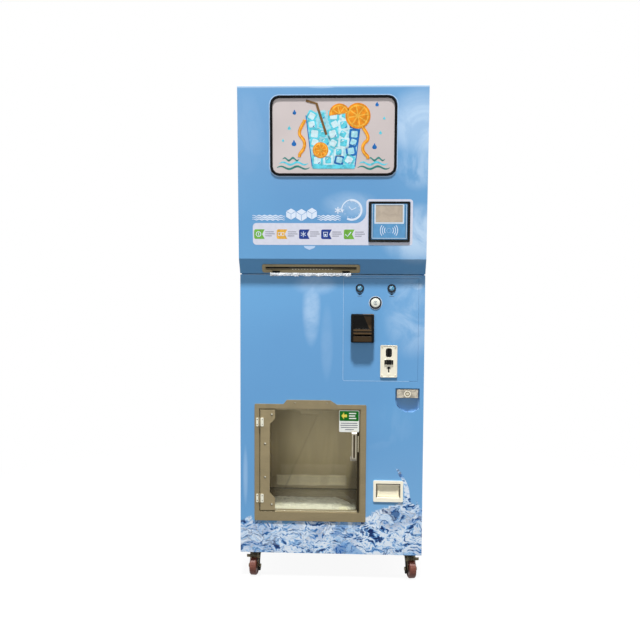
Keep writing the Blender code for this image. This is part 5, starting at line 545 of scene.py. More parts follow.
def soft_rubber(name, colour):
    """Matt rubber with pale dust in its grain."""
    rubber = Finish(name, colour, 0.62, Specular_IOR_Level=0.08)
    dust = rubber.cloudiness(60.0, 5.0, 0.65)
    rubber.colour(rubber.fade(dust, 0.5, 0.8, 0.35, colour, shade(colour, 2.4)))
    rubber.relief(rubber.cloudiness(700.0, 3.0), 0.0001, 0.7, 0.0008)
    return rubber.material


def clear_pane(name):
    """Clear sheet that lamps shine through, with the odd finger mark."""
    tint = (0.97, 0.98, 0.97, 1.0)
    pane = Finish(name, tint, 0.04, Transmission_Weight=1.0, IOR=1.46, Specular_IOR_Level=0.5)
    pane.set("Roughness", pane.step(pane.cloudiness(18.0, 4.0, 0.65, 0.8), 0.55, 0.78, 0.02, 0.16))
    clear = pane.add("ShaderNodeBsdfTransparent", tint)
    share = pane.most(pane.add("ShaderNodeLightPath").outputs["Is Shadow Ray"], 0.85)
    blend(pane.tree, share, pane.shader.outputs[0], clear.outputs[0])
    return pane.material


def thin_film(name, colour, cover):
    """Crumpled clear film: sharp sheen on its folds, see-through between them."""
    film = Finish(name, colour, 0.18, 0.6, IOR=1.5)
    folds = film.cloudiness(95.0, 4.0, 0.6, 1.2)
    film.set("Alpha", film.step(folds, 0.3, 0.7, cover * 0.5, min(1.0, cover * 1.5)))
    film.relief(folds, 0.0014, 0.9)
    return film.material


def crumpled_sheet(look):
    """The bay's white sheet: painted shade in its creases and on its front part, and a faint yellow stain."""
    sheet = Finish("bay_sheet", look.sheet_colour, 0.5, Specular_IOR_Level=0.15)
    crease = sheet.cloudiness(34.0, 5.0, 0.62, 0.8)
    # painted shade in the creases
    tone = sheet.fade(crease, 0.30, 0.48, 1.0, shade(look.sheet_colour, 0.62), look.sheet_colour)
    # painted shade: the front part, which the overhead lamp reaches, is darkened
    front = sheet.step(sheet.axis("Y"), FRONT + 0.165, FRONT + 0.135)
    tone = sheet.mix(front, tone, (0.57, 0.56, 0.52, 1.0), "MULTIPLY")
    sheet.colour(sheet.fade(sheet.cloudiness(12.0, 2.0), 0.60, 0.70, 0.25, tone, paint(206, 196, 120)))
    sheet.relief(crease, 0.0022, 0.8)
    return sheet.material


def enamel(name, colour, roughness):
    """Cream enamel on die-cast metal: soft gloss, light mottling, faint wear."""
    coat = Finish(name, colour, roughness, Specular_IOR_Level=0.2)
    mottle = coat.cloudiness(48.0, 5.0, 0.6, 0.5)
    coat.colour(coat.fade(mottle, 0.45, 0.75, 0.4, colour, shade(colour, 0.9)))
    coat.roughen(mottle, roughness - 0.06, roughness + 0.12)
    coat.relief(coat.cloudiness(500.0, 2.0), 0.00005, 0.6, 0.0008)
    return coat.material


def coin_plate(colour, ink):
    """The coin unit's enamelled plate, with its funnel, keyhole and button guards blackened."""
    plate = Finish("coin_plate", colour, 0.28, 0.1, Specular_IOR_Level=0.2)
    tone = plate.fade(plate.cloudiness(48.0, 5.0, 0.6, 0.5), 0.45, 0.75, 0.25, colour, shade(colour, 0.8))
    depth = plate.minus(plate.axis("Y"), FRONT)
    dark = plate.most(plate.step(depth, -0.0030, -0.0027), plate.step(depth, -0.0056, -0.0062))
    plate.colour(plate.mix(dark, tone, ink))
    plate.relief(plate.cloudiness(500.0, 2.0), 0.00005, 0.6, 0.0006)
    return plate.material


def note_plastic(look):
    """The note unit's black plastic, with a painted reflection slanting across its window, guide bars painted
    lighter as if lit, and a brown sill.
    """
    unit = Finish("note_unit", look.black, 0.3, Specular_IOR_Level=0.08)
    x, z = unit.axis("X"), unit.axis("Z")
    depth = unit.minus(unit.axis("Y"), FRONT)
    inside = unit.times(unit.step(depth, -0.0292, -0.0286), unit.step(z, 1.017, 1.018))
    # painted reflection: smoked brown across the window's right part
    slant = unit.step(unit.line(z, 0.45, x), MIDDLE + 0.6045, MIDDLE + 0.6080)
    glint = unit.times(slant, unit.step(unit.cloudiness(60.0, 3.0), 0.2, 0.7, 0.5, 1.0))
    # the guide bars' top faces painted lighter, as if lit
    bars = unit.times(unit.step(depth, -0.0306, -0.0312), unit.step(z, 0.996, 0.997))
    sill = unit.times(unit.step(depth, -0.0320, -0.0335), unit.step(z, 0.992, 0.991))
    tone = unit.mix(unit.times(inside, glint), look.black, look.smoke)
    tone = unit.mix(bars, tone, shade(look.smoke, 0.85))
    unit.colour(unit.mix(sill, tone, shade(look.smoke, 0.42)))
    unit.roughen(unit.cloudiness(40.0, 3.0), 0.24, 0.38)
    unit.relief(unit.cloudiness(700.0, 2.0), 0.00005, 0.6, 0.0006)
    return unit.material


def lock_steel(colour):
    """Worn plate steel, dark round the lock's ring and bright on its core."""
    steel = Finish("lock_steel", colour, 0.36, 0.5)
    wear = steel.cloudiness(85.0, 4.0, 0.6, 0.5)
    far = steel.reach(*LOCK_CENTRE)
    tone = steel.fade(wear, 0.35, 0.65, 1.0, shade(colour, 0.62), shade(colour, 1.15))
    tone = steel.fade(far, 0.0136, 0.0130, 1.0, tone, paint(232, 226, 206))
    ring = steel.window(far, (0.0136, 0.0142), (0.0156, 0.0162))
    tone = steel.mix(steel.times(ring, 0.5), tone, shade(colour, 0.5))
    keyway = steel.window(far, (0.0044, 0.0050), (0.0092, 0.0098))
    steel.colour(steel.mix(steel.times(keyway, 0.85), tone, paint(104, 92, 62)))
    steel.relief(wear, 0.0001, 0.5, 0.0005)
    return steel.material


def printed(name, colour, roughness, variation):
    """Screen-printed vinyl: flat colour with a slight washed unevenness."""
    vinyl = Finish(name, colour, roughness, Specular_IOR_Level=0.12)
    wash = vinyl.cloudiness(60.0, 4.0, 0.6, 0.6)
    pale, dark = shade(colour, 1.0 + variation), shade(colour, 1.0 - variation)
    vinyl.colour(vinyl.fade(wash, 0.35, 0.7, 1.0, pale, dark))
    vinyl.relief(vinyl.cloudiness(800.0, 2.0), 0.00003, 0.5)
    return vinyl.material


def lit_sign(colour):
    """The sign's frosted face, painted a little lighter and darker in patches, as if lit unevenly by lamps
    behind it.
    """
    face = Finish("sign_ground", colour, 0.22, Specular_IOR_Level=0.15, Coat_Weight=0.1, Coat_Roughness=0.05)
    # painted glow: patches a little lighter and darker, standing in for the lamps behind the face
    glow = face.cloudiness(4.0, 2.0)
    face.colour(face.fade(glow, 0.3, 0.7, 1.0, shade(colour, 1.05), shade(colour, 0.94)))
    face.relief(face.cloudiness(300.0, 2.0), 0.00003, 0.5)
    return face.material


def cloudy_screen(colour):
    """The card reader's unlit display, under a glossy cover."""
    gloss = {"Specular_IOR_Level": 0.2, "Coat_Weight": 0.2, "Coat_Roughness": 0.03}
    glass = Finish("reader_screen", colour, 0.14, **gloss)
    haze = glass.cloudiness(24.0, 4.0, 0.6, 0.8)
    glass.colour(glass.fade(haze, 0.35, 0.7, 1.0, colour, shade(colour, 0.82)))
    glass.relief(glass.cloudiness(9.0, 2.0), 0.0006, 0.3)
    return glass.material


def faceted_lens(colour):
    """A push button's blue lens, cut into small facets, each with a painted highlight in its middle and
    painted shade at its edges.
    """
    lens = Finish("button_lens", colour, 0.12, Coat_Weight=1.0, Coat_Roughness=0.03)
    facet = lens.cells(170.0)
    lens.colour(lens.fade(facet, 0.1, 0.6, 1.0, shade(colour, 1.7), shade(colour, 0.55)))
    lens.relief(facet, 0.0008, 0.5)
    return lens.material


def lining_steel(colour):
    """The pick-up bay's stainless lining: dull warm mirror, streaked where water has run, with a painted
    reflection and painted shade.
    """
    steel = Finish("bay_lining", colour, 0.36, 0.35)
    run = steel.cloudiness(20.0, 5.0, 0.6, 0.5, steel.stretched(1.0, 1.0, 0.12))
    spots = steel.cloudiness(34.0, 5.0, 0.65, 0.4)
    x, z = steel.axis("X"), steel.axis("Z")
    tone = steel.fade(run, 0.35, 0.7, 1.0, shade(colour, 2.0), shade(colour, 1.65))
    tone = steel.fade(spots, 0.55, 0.75, 0.3, tone, shade(colour, 1.5))
    # painted reflection: the back wall mirrors the pale sheet below it
    level = steel.plus(z, steel.line(steel.cloudiness(7.0, 2.0), 0.024, -0.012))
    across = steel.window(x, (MIDDLE - 0.262, MIDDLE - 0.250), (MIDDLE + 0.046, MIDDLE + 0.062))
    sheen = steel.times(steel.window(level, (0.276, 0.284), (0.322, 0.332)), across)
    sheen = steel.times(sheen, steel.step(run, 0.3, 0.6, 0.65, 1.0))
    tone = steel.mix(sheen, tone, shade(paint(190, 178, 150), 2.0))
    # a bent seam slants down the back wall
    back = steel.step(steel.minus(steel.axis("Y"), FRONT), 0.374, 0.377)
    slant = steel.maths("ABSOLUTE", steel.line(z, -0.4365, steel.minus(x, MIDDLE - 0.3360)))
    seam = steel.times(back, steel.step(slant, 0.0045, 0.0010, 0.0, 0.35))
    tone = steel.mix(seam, tone, shade(colour, 0.9))
    # the floor is darker, with a line of painted shade in the corner where it meets the back
    tone = steel.fade(z, 0.2662, 0.2650, 1.0, tone, shade(colour, 0.85))
    tone = steel.mix(steel.times(back, steel.step(z, 0.2690, 0.2675)), tone, shade(colour, 0.2))
    # painted shade: the walls darken upwards and towards the right-hand corner
    tone = steel.fade(z, 0.42, 0.72, 0.42, tone, shade(colour, 0.5))
    corner = steel.line(z, -0.17, x)
    steel.colour(steel.fade(corner, MIDDLE + 0.006, MIDDLE + 0.030, 0.6, tone, shade(colour, 0.3)))
    steel.roughen(spots, 0.28, 0.44)
    steel.relief(steel.cloudiness(5.0, 2.0), 0.002, 0.4, 0.001)
    return steel.material


def fin_stack(colour):
    """Condenser and evaporator fins: fine upright leaves over a core, with painted shade in the gaps between
    them.
    """
    fins = Finish("fin_stack", colour, 0.4, 0.9)
    leaf = fins.maths("SINE", fins.times(fins.axis("X"), 1900.0))
    tone = fins.fade(leaf, -0.6, 0.6, 1.0, shade(colour, 0.2), colour)
    fins.colour(fins.fade(fins.cloudiness(30.0, 4.0), 0.5, 0.75, 0.4, tone, paint(120, 112, 100)))
    fins.relief(leaf, 0.0006, 0.8)
    return fins.material


def hood_steel(colour):
    """Castor hood: dull plated steel with a painted highlight along its lower edge."""
    steel = Finish("castor_hood", colour, 0.55, 0.2)
    wear = steel.cloudiness(140.0, 4.0, 0.6, 0.4)
    body = steel.fade(wear, 0.35, 0.7, 1.0, shade(colour, 0.48), shade(colour, 0.72))
    # painted highlight along the hood's lower edge
    steel.colour(steel.fade(steel.axis("Z"), 0.0792, 0.0786, 1.0, body, shade(colour, 1.9)))
    steel.relief(wear, 0.0001, 0.5, 0.0005)
    return steel.material


def tyre_rubber(colour):
    """Castor tyre: maroon polyurethane with paler scuffs."""
    tyre = Finish("castor_tyre", colour, 0.5)
    scuff = tyre.cloudiness(120.0, 5.0, 0.65, 0.6)
    tyre.colour(tyre.fade(scuff, 0.42, 0.75, 0.55, colour, paint(118, 72, 52)))
    tyre.roughen(scuff, 0.38, 0.6)
    tyre.relief(scuff, 0.0003, 0.6, 0.0015)
    return tyre.material


def dress(material, *nodes):
    """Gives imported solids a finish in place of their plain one."""
    for name in nodes:
        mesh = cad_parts[name].data
        mesh.materials.clear()
        mesh.materials.append(material)


# Shapes for graphics


def at(x, y, z):
    """A place of the machine's drawing, in the shared frame."""
    return Vector((MIDDLE + x, FRONT + y, z))


def polar(centre, radius, angle):
    """The point at a radius and an angle, in radians, from a centre."""
    return centre[0] + radius * math.cos(angle), centre[1] + radius * math.sin(angle)


def circle(centre, radius, sides=40):
    return [polar(centre, radius, math.tau * i / sides) for i in range(sides)]


def arc(centre, radius, start, end, sides=6):
    """Points along a circle, from one angle to another, in degrees."""
    return [polar(centre, radius, math.radians(start + (end - start) * i / sides)) for i in range(sides + 1)]


def bow(centre, inner, outer, start, end, sides=24):
    """A part of a ring, from one angle to another, in degrees."""
    return arc(centre, outer, start, end, sides) + arc(centre, inner, start, end, sides)[::-1]


def panel_shape(low, high, radius, sides=6):
    """A rectangle with rounded corners."""
    if radius <= 0:
        return [(low[0], low[1]), (high[0], low[1]), (high[0], high[1]), (low[0], high[1])]
    left, right, foot, top = low[0] + radius, high[0] - radius, low[1] + radius, high[1] - radius
    points = []
    for quarter, centre in enumerate(((right, top), (left, top), (left, foot), (right, foot))):
        points += arc(centre, radius, 90 * quarter, 90 * quarter + 90, sides)
    return points


def placed(points, centre, size=1.0, degrees=0.0):
    """A shape drawn about its own middle, scaled, turned and moved to a centre."""
    level, tilt = size * math.cos(math.radians(degrees)), size * math.sin(math.radians(degrees))
    return [(centre[0] + x * level - y * tilt, centre[1] + x * tilt + y * level) for x, y in points]


def wave(left, right, middle, swing, thick, turns):
    """A ribbon that follows a sine, thin at both ends."""
    top, bottom, sides = [], [], 60
    for i in range(sides + 1):
        t = i / sides
        x = left + (right - left) * t
        y = middle + swing * math.sin(math.tau * turns * t)
        half = thick / 2 * math.sin(math.pi * min(1.0, max(0.0, t * 0.96 + 0.02))) ** 0.5
        top.append((x, y + half))
        bottom.append((x, y - half))
    return top + bottom[::-1]


def stroke(points, thick):
    """A line of even thickness through points."""
    left, right = [], []
    for i, (x, y) in enumerate(points):
        before = points[max(0, i - 1)]
        after = points[min(len(points) - 1, i + 1)]
        along, up = after[0] - before[0], after[1] - before[1]
        length = math.hypot(along, up)
        nx, ny = -up / length * thick / 2, along / length * thick / 2
        left.append((x + nx, y + ny))
        right.append((x - nx, y - ny))
    return left + right[::-1]


def spoke(centre, radius, angle, thick):
    """A stroke through a centre, to both sides of it."""
    return stroke([polar(centre, radius, angle), polar(centre, -radius, angle)], thick)


# A lump of ice and a drop on the sign, drawn about their own middles with half their width as one
LUMP = panel_shape((-1, -1), (1, 1), 0.35, 4)
LUMP_CORE = panel_shape((-0.62, -0.62), (0.62, 0.62), 0.2, 3)
LUMP_GLINT = [(-0.45, 0.10), (0.10, 0.42), (-0.28, 0.50)]
LUMP_CHIP = [(0.10, -0.50), (0.60, -0.20), (0.35, -0.60)]
DROP = [(x * (1 - 0.25 * y), y + (0.55 if y > 0.95 else 0)) for x, y in circle((0, 0), 1, 24)]

# The tiles' pictures about their own middles: coin, note, snow crystal, cup and tick, each in shapes of loops
TILE_PICTURES = (
    [[circle((0, 0), 0.0105), circle((0, 0), 0.0078)], [stroke([(0, 0.006), (0, -0.006)], 0.0026)]],
    [[panel_shape((-0.012, -0.007), (0.012, 0.007), 0.001),
      panel_shape((-0.0102, -0.0052), (0.0102, 0.0052), 0.0005)], [circle((0, 0), 0.0034)]],
    [[spoke((0, 0), 0.011, angle, 0.0022)] for angle in (math.pi / 2, math.pi / 6, -math.pi / 6)],
    [[[(-0.009, 0.009), (0.009, 0.009), (0.007, -0.010), (-0.007, -0.010)],
      [(-0.0068, 0.007), (0.0068, 0.007), (0.0053, -0.008), (-0.0053, -0.008)]],
     [panel_shape((-0.004, -0.006), (0.003, 0.001), 0.001)]],
    [[stroke([(-0.011, 0), (-0.003, -0.008), (0.011, 0.009)], 0.0034)]],
)


def flat_mesh(loops, thickness):
    """A plate cut to closed loops, where a loop inside another is a hole."""
    curve = bpy.data.curves.new("cut", "CURVE")
    curve.dimensions = "2D"
    curve.fill_mode = "BOTH"
    curve.extrude = thickness / 2
    for loop in loops:
        spline = curve.splines.new("POLY")
        spline.points.add(len(loop) - 1)
        for point, (x, y) in zip(spline.points, loop):
            point.co = (x, y, 0, 1)
        spline.use_cyclic_u = True
    holder = bpy.data.objects.new("cut", curve)
    bpy.context.scene.collection.objects.link(holder)
    mesh = bpy.data.meshes.new_from_object(holder.evaluated_get(bpy.context.evaluated_depsgraph_get()))
    bpy.data.objects.remove(holder)
    bpy.data.curves.remove(curve)
    return mesh


def lay_plate(bm, loops, thickness, place):
    """Adds a plate to a growing mesh, at its place."""
    mesh = flat_mesh(loops, thickness)
    mesh.transform(place)
    bm.from_mesh(mesh)
    bpy.data.meshes.remove(mesh)


def finished(name, bm, finishes, body, smooth=False):
    """Makes a piece of a grown mesh, riding on a body."""
    bmesh.ops.remove_doubles(bm, verts=bm.verts, dist=1e-7)
    bmesh.ops.recalc_face_normals(bm, faces=bm.faces)
    mesh = bpy.data.meshes.new(name)
    bm.to_mesh(mesh)
    bm.free()
    for finish in finishes:
        mesh.materials.append(finish)
    if smooth:
        mesh.shade_smooth()
    obj = bpy.data.objects.new(name, mesh)
    bpy.context.scene.collection.objects.link(obj)
    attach(obj, body)
    return obj


class Artwork:
    """Thin shapes for one piece on a sheet of the machine, each with its finish, its layer and its loops."""

    FIRST_LAYER, LAYER_RISE = 0.00005, 0.00012

    def __init__(self, sheet, lift=0.0, thickness=0.00016):
        self.sheet = sheet
        self.lift = lift
        self.thickness = thickness
        self.shapes = []

    def cut(self, finish, layer, *loops):
        self.shapes.append((finish, layer, loops))

    def panel(self, finish, layer, low, high, radius=0.0, sides=6):
        self.cut(finish, layer, panel_shape(low, high, radius, sides))

    def fix(self, name, body, slot):
        """Makes the piece, riding on a body."""
        bm = bmesh.new()
        finishes = []
        for finish, layer, loops in self.shapes:
            if finish not in finishes:
                finishes.append(finish)
            height = self.lift + self.thickness / 2 + self.FIRST_LAYER + layer * self.LAYER_RISE
            before = len(bm.faces)
            lay_plate(bm, loops, self.thickness, self.sheet @ Matrix.Translation((0, 0, height)))
            bm.faces.ensure_lookup_table()
            for face in bm.faces[before:]:
                face.material_index = finishes.index(finish)
        finished(name, bm, finishes, body)


def ring_of_points(bm, centre, radius, depth, sides):
    """Points round the Y axis at a depth behind a centre, or one point where the radius is nought."""
    outline = circle((0, 0), radius, sides) if radius else [(0, 0)]
    return [bm.verts.new(centre + Vector((x, depth, z))) for x, z in outline]


def join_rings(bm, rings, sides):
    """Faces between rings of points, where a ring of one point is a tip."""
    for low, high in zip(rings, rings[1:]):
        for i in range(sides):
            j = (i + 1) % sides
            corners = (low[i % len(low)], low[j % len(low)], high[j % len(high)], high[i % len(high)])
            bm.faces.new(list(dict.fromkeys(corners)))


def screws(name, places, profile, finish, body):
    """Round screw heads, one at each place of the machine's drawing, turned from radii and depths."""
    bm, sides = bmesh.new(), 20
    for place in places:
        rings = [ring_of_points(bm, at(*place), radius, depth, sides) for radius, depth in profile]
        join_rings(bm, rings, sides)
    finished(name, bm, [finish], body, True)


def crumpled(name, columns, rows, place, finish, body, gauge):
    """A thin sheet over a grid, placed by shares across and along it. Gives the piece and its area."""
    bm = bmesh.new()
    grid = [
        [bm.verts.new(place(i / columns, j / rows)) for i in range(columns + 1)]
        for j in range(rows + 1)
    ]
    for near, far in zip(grid, grid[1:]):
        for i in range(columns):
            bm.faces.new((near[i], near[i + 1], far[i + 1], far[i]))
    area = sum(face.calc_area() for face in bm.faces)
    obj = finished(name, bm, [finish], body, True)
    obj.modifiers.new("gauge", "SOLIDIFY").thickness = gauge
    return obj, area


# Operators


class ICEMACHINE_OT_cabinet(Operator):
    """Wraps the doors and sides in printed vinyl and paints the folded sheet metal"""

    bl_idname = "ice_machine.cabinet"
    bl_label = "Cabinet"

    def execute(self, context):
        look = context.scene.ice_machine.wrap
        wrap = vinyl_wrap(look)
        dress(wrap, "lower_door_panel", "upper_door_panel", "payment_panel")
        dress(wrap, "left_side_panel", "right_side_panel")
        dress(painted_steel("rail_enamel", shade(look.sky, 1.1)), "mid_rail")
        # painted shade: the top panel takes the wrap's blue darkened to two fifths, so that the overhead lamp
        # does not wash it out
        dress(painted_steel("roof_enamel", shade(look.sky, 0.40), 0.55), "top_panel")
        dress(painted_steel("back_enamel", paint(196, 204, 210), 0.5), "back_panel")
        dress(brushed_steel("base_galvanised", paint(120, 122, 120), 0.5), "base_plate")
        return {"FINISHED"}


class ICEMACHINE_OT_sign(Operator):
    """Prints the lit sign: a tall glass of ice with fruit wheels and peel curls above slow waves"""

    bl_idname = "ice_machine.sign"
    bl_label = "Sign"

    def glass(self, art, inks):
        """A tapered glass heaped with lumps of ice, each with a core and a glint, and some with a chip."""
        foot, rim = SIGN_FOOT, SIGN_FOOT + GLASS_HEIGHT
        art.cut(
            inks["pale"], 0,
            [(SIGN_MIDDLE - GLASS_BASE, foot), (SIGN_MIDDLE + GLASS_BASE, foot),
             (SIGN_MIDDLE + GLASS_RIM, rim), (SIGN_MIDDLE - GLASS_RIM, rim)],
        )
        random.seed(11)
        lumps = []
        for row in range(6):
            count = 4 if row < 2 else 5
            reach = GLASS_BASE + (GLASS_RIM - GLASS_BASE) * row / 5 - 0.020
            for k in range(count):
                across = SIGN_MIDDLE - reach + 2 * reach * k / (count - 1) + random.uniform(-0.004, 0.004)
                up = foot + 0.023 + row * 0.0335 + random.uniform(-0.003, 0.003)
                lumps.append(((across, up), random.uniform(0.0175, 0.0215), random.uniform(-34, 34)))
        for n, lump in enumerate(lumps):
            body = inks[("aqua", "frost", "ocean", "aqua", "pale")[n % 5]]
            core = inks[("frost", "aqua", "pale", "frost", "aqua")[n % 5]]
            art.cut(body, 1 + n % 2, placed(LUMP, *lump))
            art.cut(core, 3 + n % 2, placed(LUMP_CORE, *lump))
            art.cut(inks["frost"], 5, placed(LUMP_GLINT, *lump))
            if n % 3 == 0:
                art.cut(inks["ocean"], 5, placed(LUMP_CHIP, *lump))

    def fruit(self, art, inks):
        """A straw, a fruit wheel on the rim, a half wheel behind it and a small wheel among the lumps."""
        knee = [(SIGN_MIDDLE - 0.028, SIGN_FOOT + 0.12), (SIGN_MIDDLE - 0.066, SIGN_FOOT + 0.236),
                (SIGN_MIDDLE - 0.106, SIGN_FOOT + 0.247)]
        art.cut(inks["umber"], 6, stroke(knee, 0.0095))
        wheels = ((0.092, 0.190, 0.048, 8), (0.022, 0.196, 0.040, 4), (-0.050, 0.062, 0.030, 8))
        for across, up, radius, wedges in wheels:
            hub = (SIGN_MIDDLE + across, SIGN_FOOT + up)
            whole = wedges == 8
            for size, layer, ink in ((1.0, 6, "gold"), (0.86, 7, "amber")):
                rind = circle(hub, radius * size) if whole else bow(hub, 0.0005, radius * size, 8, 188)
                art.cut(inks[ink], layer, rind)
            for k in range(wedges):
                start = k * 45 + (10 if whole else 11)
                tip = polar(hub, radius * 0.12, math.radians(start + 22.5))
                art.cut(inks["gold"], 8, [tip] + arc(hub, radius * 0.75, start + 4, start + 41))

    def curls(self, art, inks):
        """Peel that hangs down both sides of the glass."""
        for side, drop, fall in ((1, 0.150, 0.019), (-1, 0.176, 0.022)):
            peel = []
            for k in range(27):
                t = k * 0.25
                across = SIGN_MIDDLE + side * (0.121 - 0.010 * math.cos(t * 1.5))
                peel.append((across, SIGN_FOOT + drop - t * fall + 0.003 * math.sin(t * 2.2)))
            art.cut(inks["gold"], 6, stroke(peel, 0.0125))
            art.cut(inks["amber"], 7, stroke([(x - 0.0018, y) for x, y in peel], 0.0045))

    def water(self, art, inks):
        """The glass's edges and foot, slow waves to both sides of it, and drops."""
        rim = SIGN_FOOT + GLASS_HEIGHT
        for side in (-1, 1):
            edge = [(SIGN_MIDDLE + side * GLASS_BASE, SIGN_FOOT), (SIGN_MIDDLE + side * GLASS_RIM, rim)]
            art.cut(inks["ocean"], 5, stroke(edge, 0.0035))
        left, right = SIGN_MIDDLE - GLASS_BASE, SIGN_MIDDLE + GLASS_BASE
        art.panel(inks["aqua"], 5, (left, SIGN_FOOT - 0.008), (right, SIGN_FOOT + 0.007), 0.006)
        for left, right, level, ink in (
            (-0.214, -0.088, 0.350, "teal"), (-0.204, -0.094, 0.366, "aqua"), (0.096, 0.220, 0.350, "teal"),
            (0.102, 0.210, 0.366, "aqua"), (-0.192, -0.128, 0.382, "teal"), (0.136, 0.200, 0.382, "teal"),
        ):
            art.cut(inks[ink], 0, wave(left, right, level, 0.0050, 0.0085, 2))
        for across, up, size in (
            (-0.148, 0.440, 0.009), (-0.166, 0.498, 0.006), (-0.146, 0.556, 0.007), (0.160, 0.428, 0.0085),
            (0.182, 0.480, 0.0055), (0.168, 0.585, 0.0065), (-0.190, 0.452, 0.0045), (0.196, 0.534, 0.0045),
        ):
            art.cut(inks["ocean" if size > 0.006 else "aqua"], 0, placed(DROP, (across, up), size))

    def execute(self, context):
        settings = context.scene.ice_machine
        look = settings.graphic
        dress(lit_sign(look.sign_ground), "sign_lens")
        dress(soft_rubber("sign_gasket", settings.plastic.rubber), "sign_edging")
        dress(moulded_plastic("lamp_tray", settings.plastic.white), "sign_light_box")
        inks = {name: printed("sign_" + name, getattr(look, name), 0.3, 0.22)
                for name in ("aqua", "teal", "ocean", "gold", "amber", "umber")}
        inks["frost"] = printed("sign_frost", paint(204, 232, 238), 0.3, 0.1)
        inks["pale"] = printed("sign_pale", paint(158, 214, 226), 0.3, 0.15)
        art = Artwork(FACE)
        self.glass(art, inks)
        self.fruit(art, inks)
        self.curls(art, inks)
        self.water(art, inks)
        art.fix("sign_print", "upper_door", "sign_print")
        # a white keyline round the gasket
        white = printed("sign_keyline", paint(178, 208, 240), 0.35, 0.04)
        keyline = Artwork(FACE)
        outer = panel_shape((-0.2436, 0.3151), (0.2486, 0.6239), 0.038, 10)
        keyline.cut(white, 0, outer, panel_shape((-0.2405, 0.3182), (0.2455, 0.6208), 0.0355, 10))
        keyline.fix("sign_keyline", "upper_door", "membrane")
        return {"FINISHED"}


class ICEMACHINE_OT_instruction_strip(Operator):
    """Lays the instruction strip, its tiles, the ice blocks, the dial and the wave marks on the upper door"""

    bl_idname = "ice_machine.instruction_strip"
    bl_label = "Instruction strip"

    def strip(self, art, panel):
        """The white strip, which rises round the card reader at its right end and has a hole for it."""
        low, top, head = 0.0541, 0.1383, 0.2305
        outline = arc((0.300, low + 0.010), 0.010, -90, 0)
        outline += arc((0.298, head - 0.012), 0.012, 0, 90) + arc((0.143, head - 0.012), 0.012, 90, 180)
        outline += arc((0.088, top + 0.043), 0.043, 0, -90, 12)
        outline += arc((-0.295, top - 0.014), 0.014, 90, 180) + arc((-0.295, low + 0.014), 0.014, 180, 270)
        art.cut(panel, 0, outline, panel_shape((0.1392, 0.0653), (0.3008, 0.2223), 0.004))

    def tiles(self, art, colours, white, ink):
        """Five notched tiles, each with its picture and three printed rows beside it."""
        low, high = 0.0772, 0.1142
        middle = (low + high) / 2
        width, corner, notch = 0.041, 0.006, 0.0095
        for left, colour, picture in zip((-0.304, -0.216, -0.129, -0.043, 0.045), colours, TILE_PICTURES):
            right = left + width
            rounded = panel_shape((left, low), (right, high), corner, 4)
            body = [point for point in rounded if point[0] < right - corner]
            art.cut(colour, 1, [(right, high)] + body + [(right, low), (right - notch, middle)])
            for loops in picture:
                art.cut(white, 2, *[placed(loop, (left + 0.017, middle)) for loop in loops])
            for k, length in enumerate((0.034, 0.038, 0.026)):
                y = middle + 0.0088 - k * 0.0078
                end = min(right + 0.002 + length, 0.128)
                art.panel(ink, 1, (right + 0.002, y - 0.0011), (end, y + 0.0011), 0.0008, 2)

    def ice_blocks(self, art, white):
        """Three ice blocks, each a top and two sides."""
        blocks = (((-0.1600, 0.1730), 0.0225), ((-0.1195, 0.1695), 0.0245), ((-0.0790, 0.1750), 0.0230))
        for centre, radius in blocks:
            ring = [polar(centre, radius, math.radians(angle)) for angle in (90, 30, -30, -90, -150, 150)]
            top = (ring[5], ring[0], ring[1], centre)
            for quad in (top, (ring[5], centre, ring[3], ring[4]), (centre, ring[1], ring[2], ring[3])):
                mx, my = sum(x for x, y in quad) / 4, sum(y for x, y in quad) / 4
                art.cut(white, 0, [(mx + (x - mx) * 0.92, my + (y - my) * 0.92) for x, y in quad])

    def dial(self, art, white):
        """A snow crystal, and a round-the-clock dial: a ring that ends in an arrow, ticks and two hands."""
        for k in range(3):
            art.cut(white, k, spoke((0.0215, 0.1880), 0.0125, math.pi * k / 3 + math.pi / 2, 0.0044))
        hub = (0.075, 0.1894)
        art.cut(white, 0, bow(hub, 0.0335, 0.0412, -118, 100, 60))
        art.cut(white, 0, bow(hub, 0.0368, 0.0408, 100, 178, 20))
        art.cut(white, 0, placed([(-0.0435, 0.0015), (-0.0300, 0.0015), (-0.0367, -0.0115)], hub))
        for k in range(12):
            angle = math.radians(30 * k)
            art.cut(white, 0, stroke([polar(hub, 0.0285, angle), polar(hub, 0.0320, angle)], 0.0016))
        art.cut(white, 0, placed(stroke([(-0.011, 0.013), (0, 0), (0.017, 0.009)], 0.0026), hub))

    def execute(self, context):
        look = context.scene.ice_machine.graphic
        panel = printed("strip_panel", look.panel_white, 0.34, 0.03)
        ink = printed("strip_ink", look.ink, 0.4, 0.1)
        white = printed("strip_white", look.icon_white, 0.34, 0.03)
        faint = printed("strip_faint", paint(190, 214, 242), 0.34, 0.03)
        names = ("leaf", "sun", "navy", "navy", "leaf")
        colours = [printed("tile_" + name, getattr(look, name), 0.34, 0.18) for name in names]
        art = Artwork(FACE)
        self.strip(art, panel)
        self.tiles(art, colours, white, ink)
        # a small pointer under the strip
        pointer = [(-0.111, 0.0502), (-0.106, 0.0425), (-0.088, 0.0350), (-0.070, 0.0425), (-0.065, 0.0502)]
        art.cut(faint, 0, pointer)
        self.ice_blocks(art, white)
        # wave marks to both sides of the blocks
        for left, right in ((-0.311, -0.183), (-0.058, 0.034)):
            for k in range(3):
                turns = round((right - left) / 0.020)
                art.cut(white, 0, wave(left, right, 0.1520 + 0.0070 * k, 0.0018, 0.0050, turns))
        self.dial(art, white)
        art.fix("instruction_strip", "upper_door", "membrane")
        return {"FINISHED"}


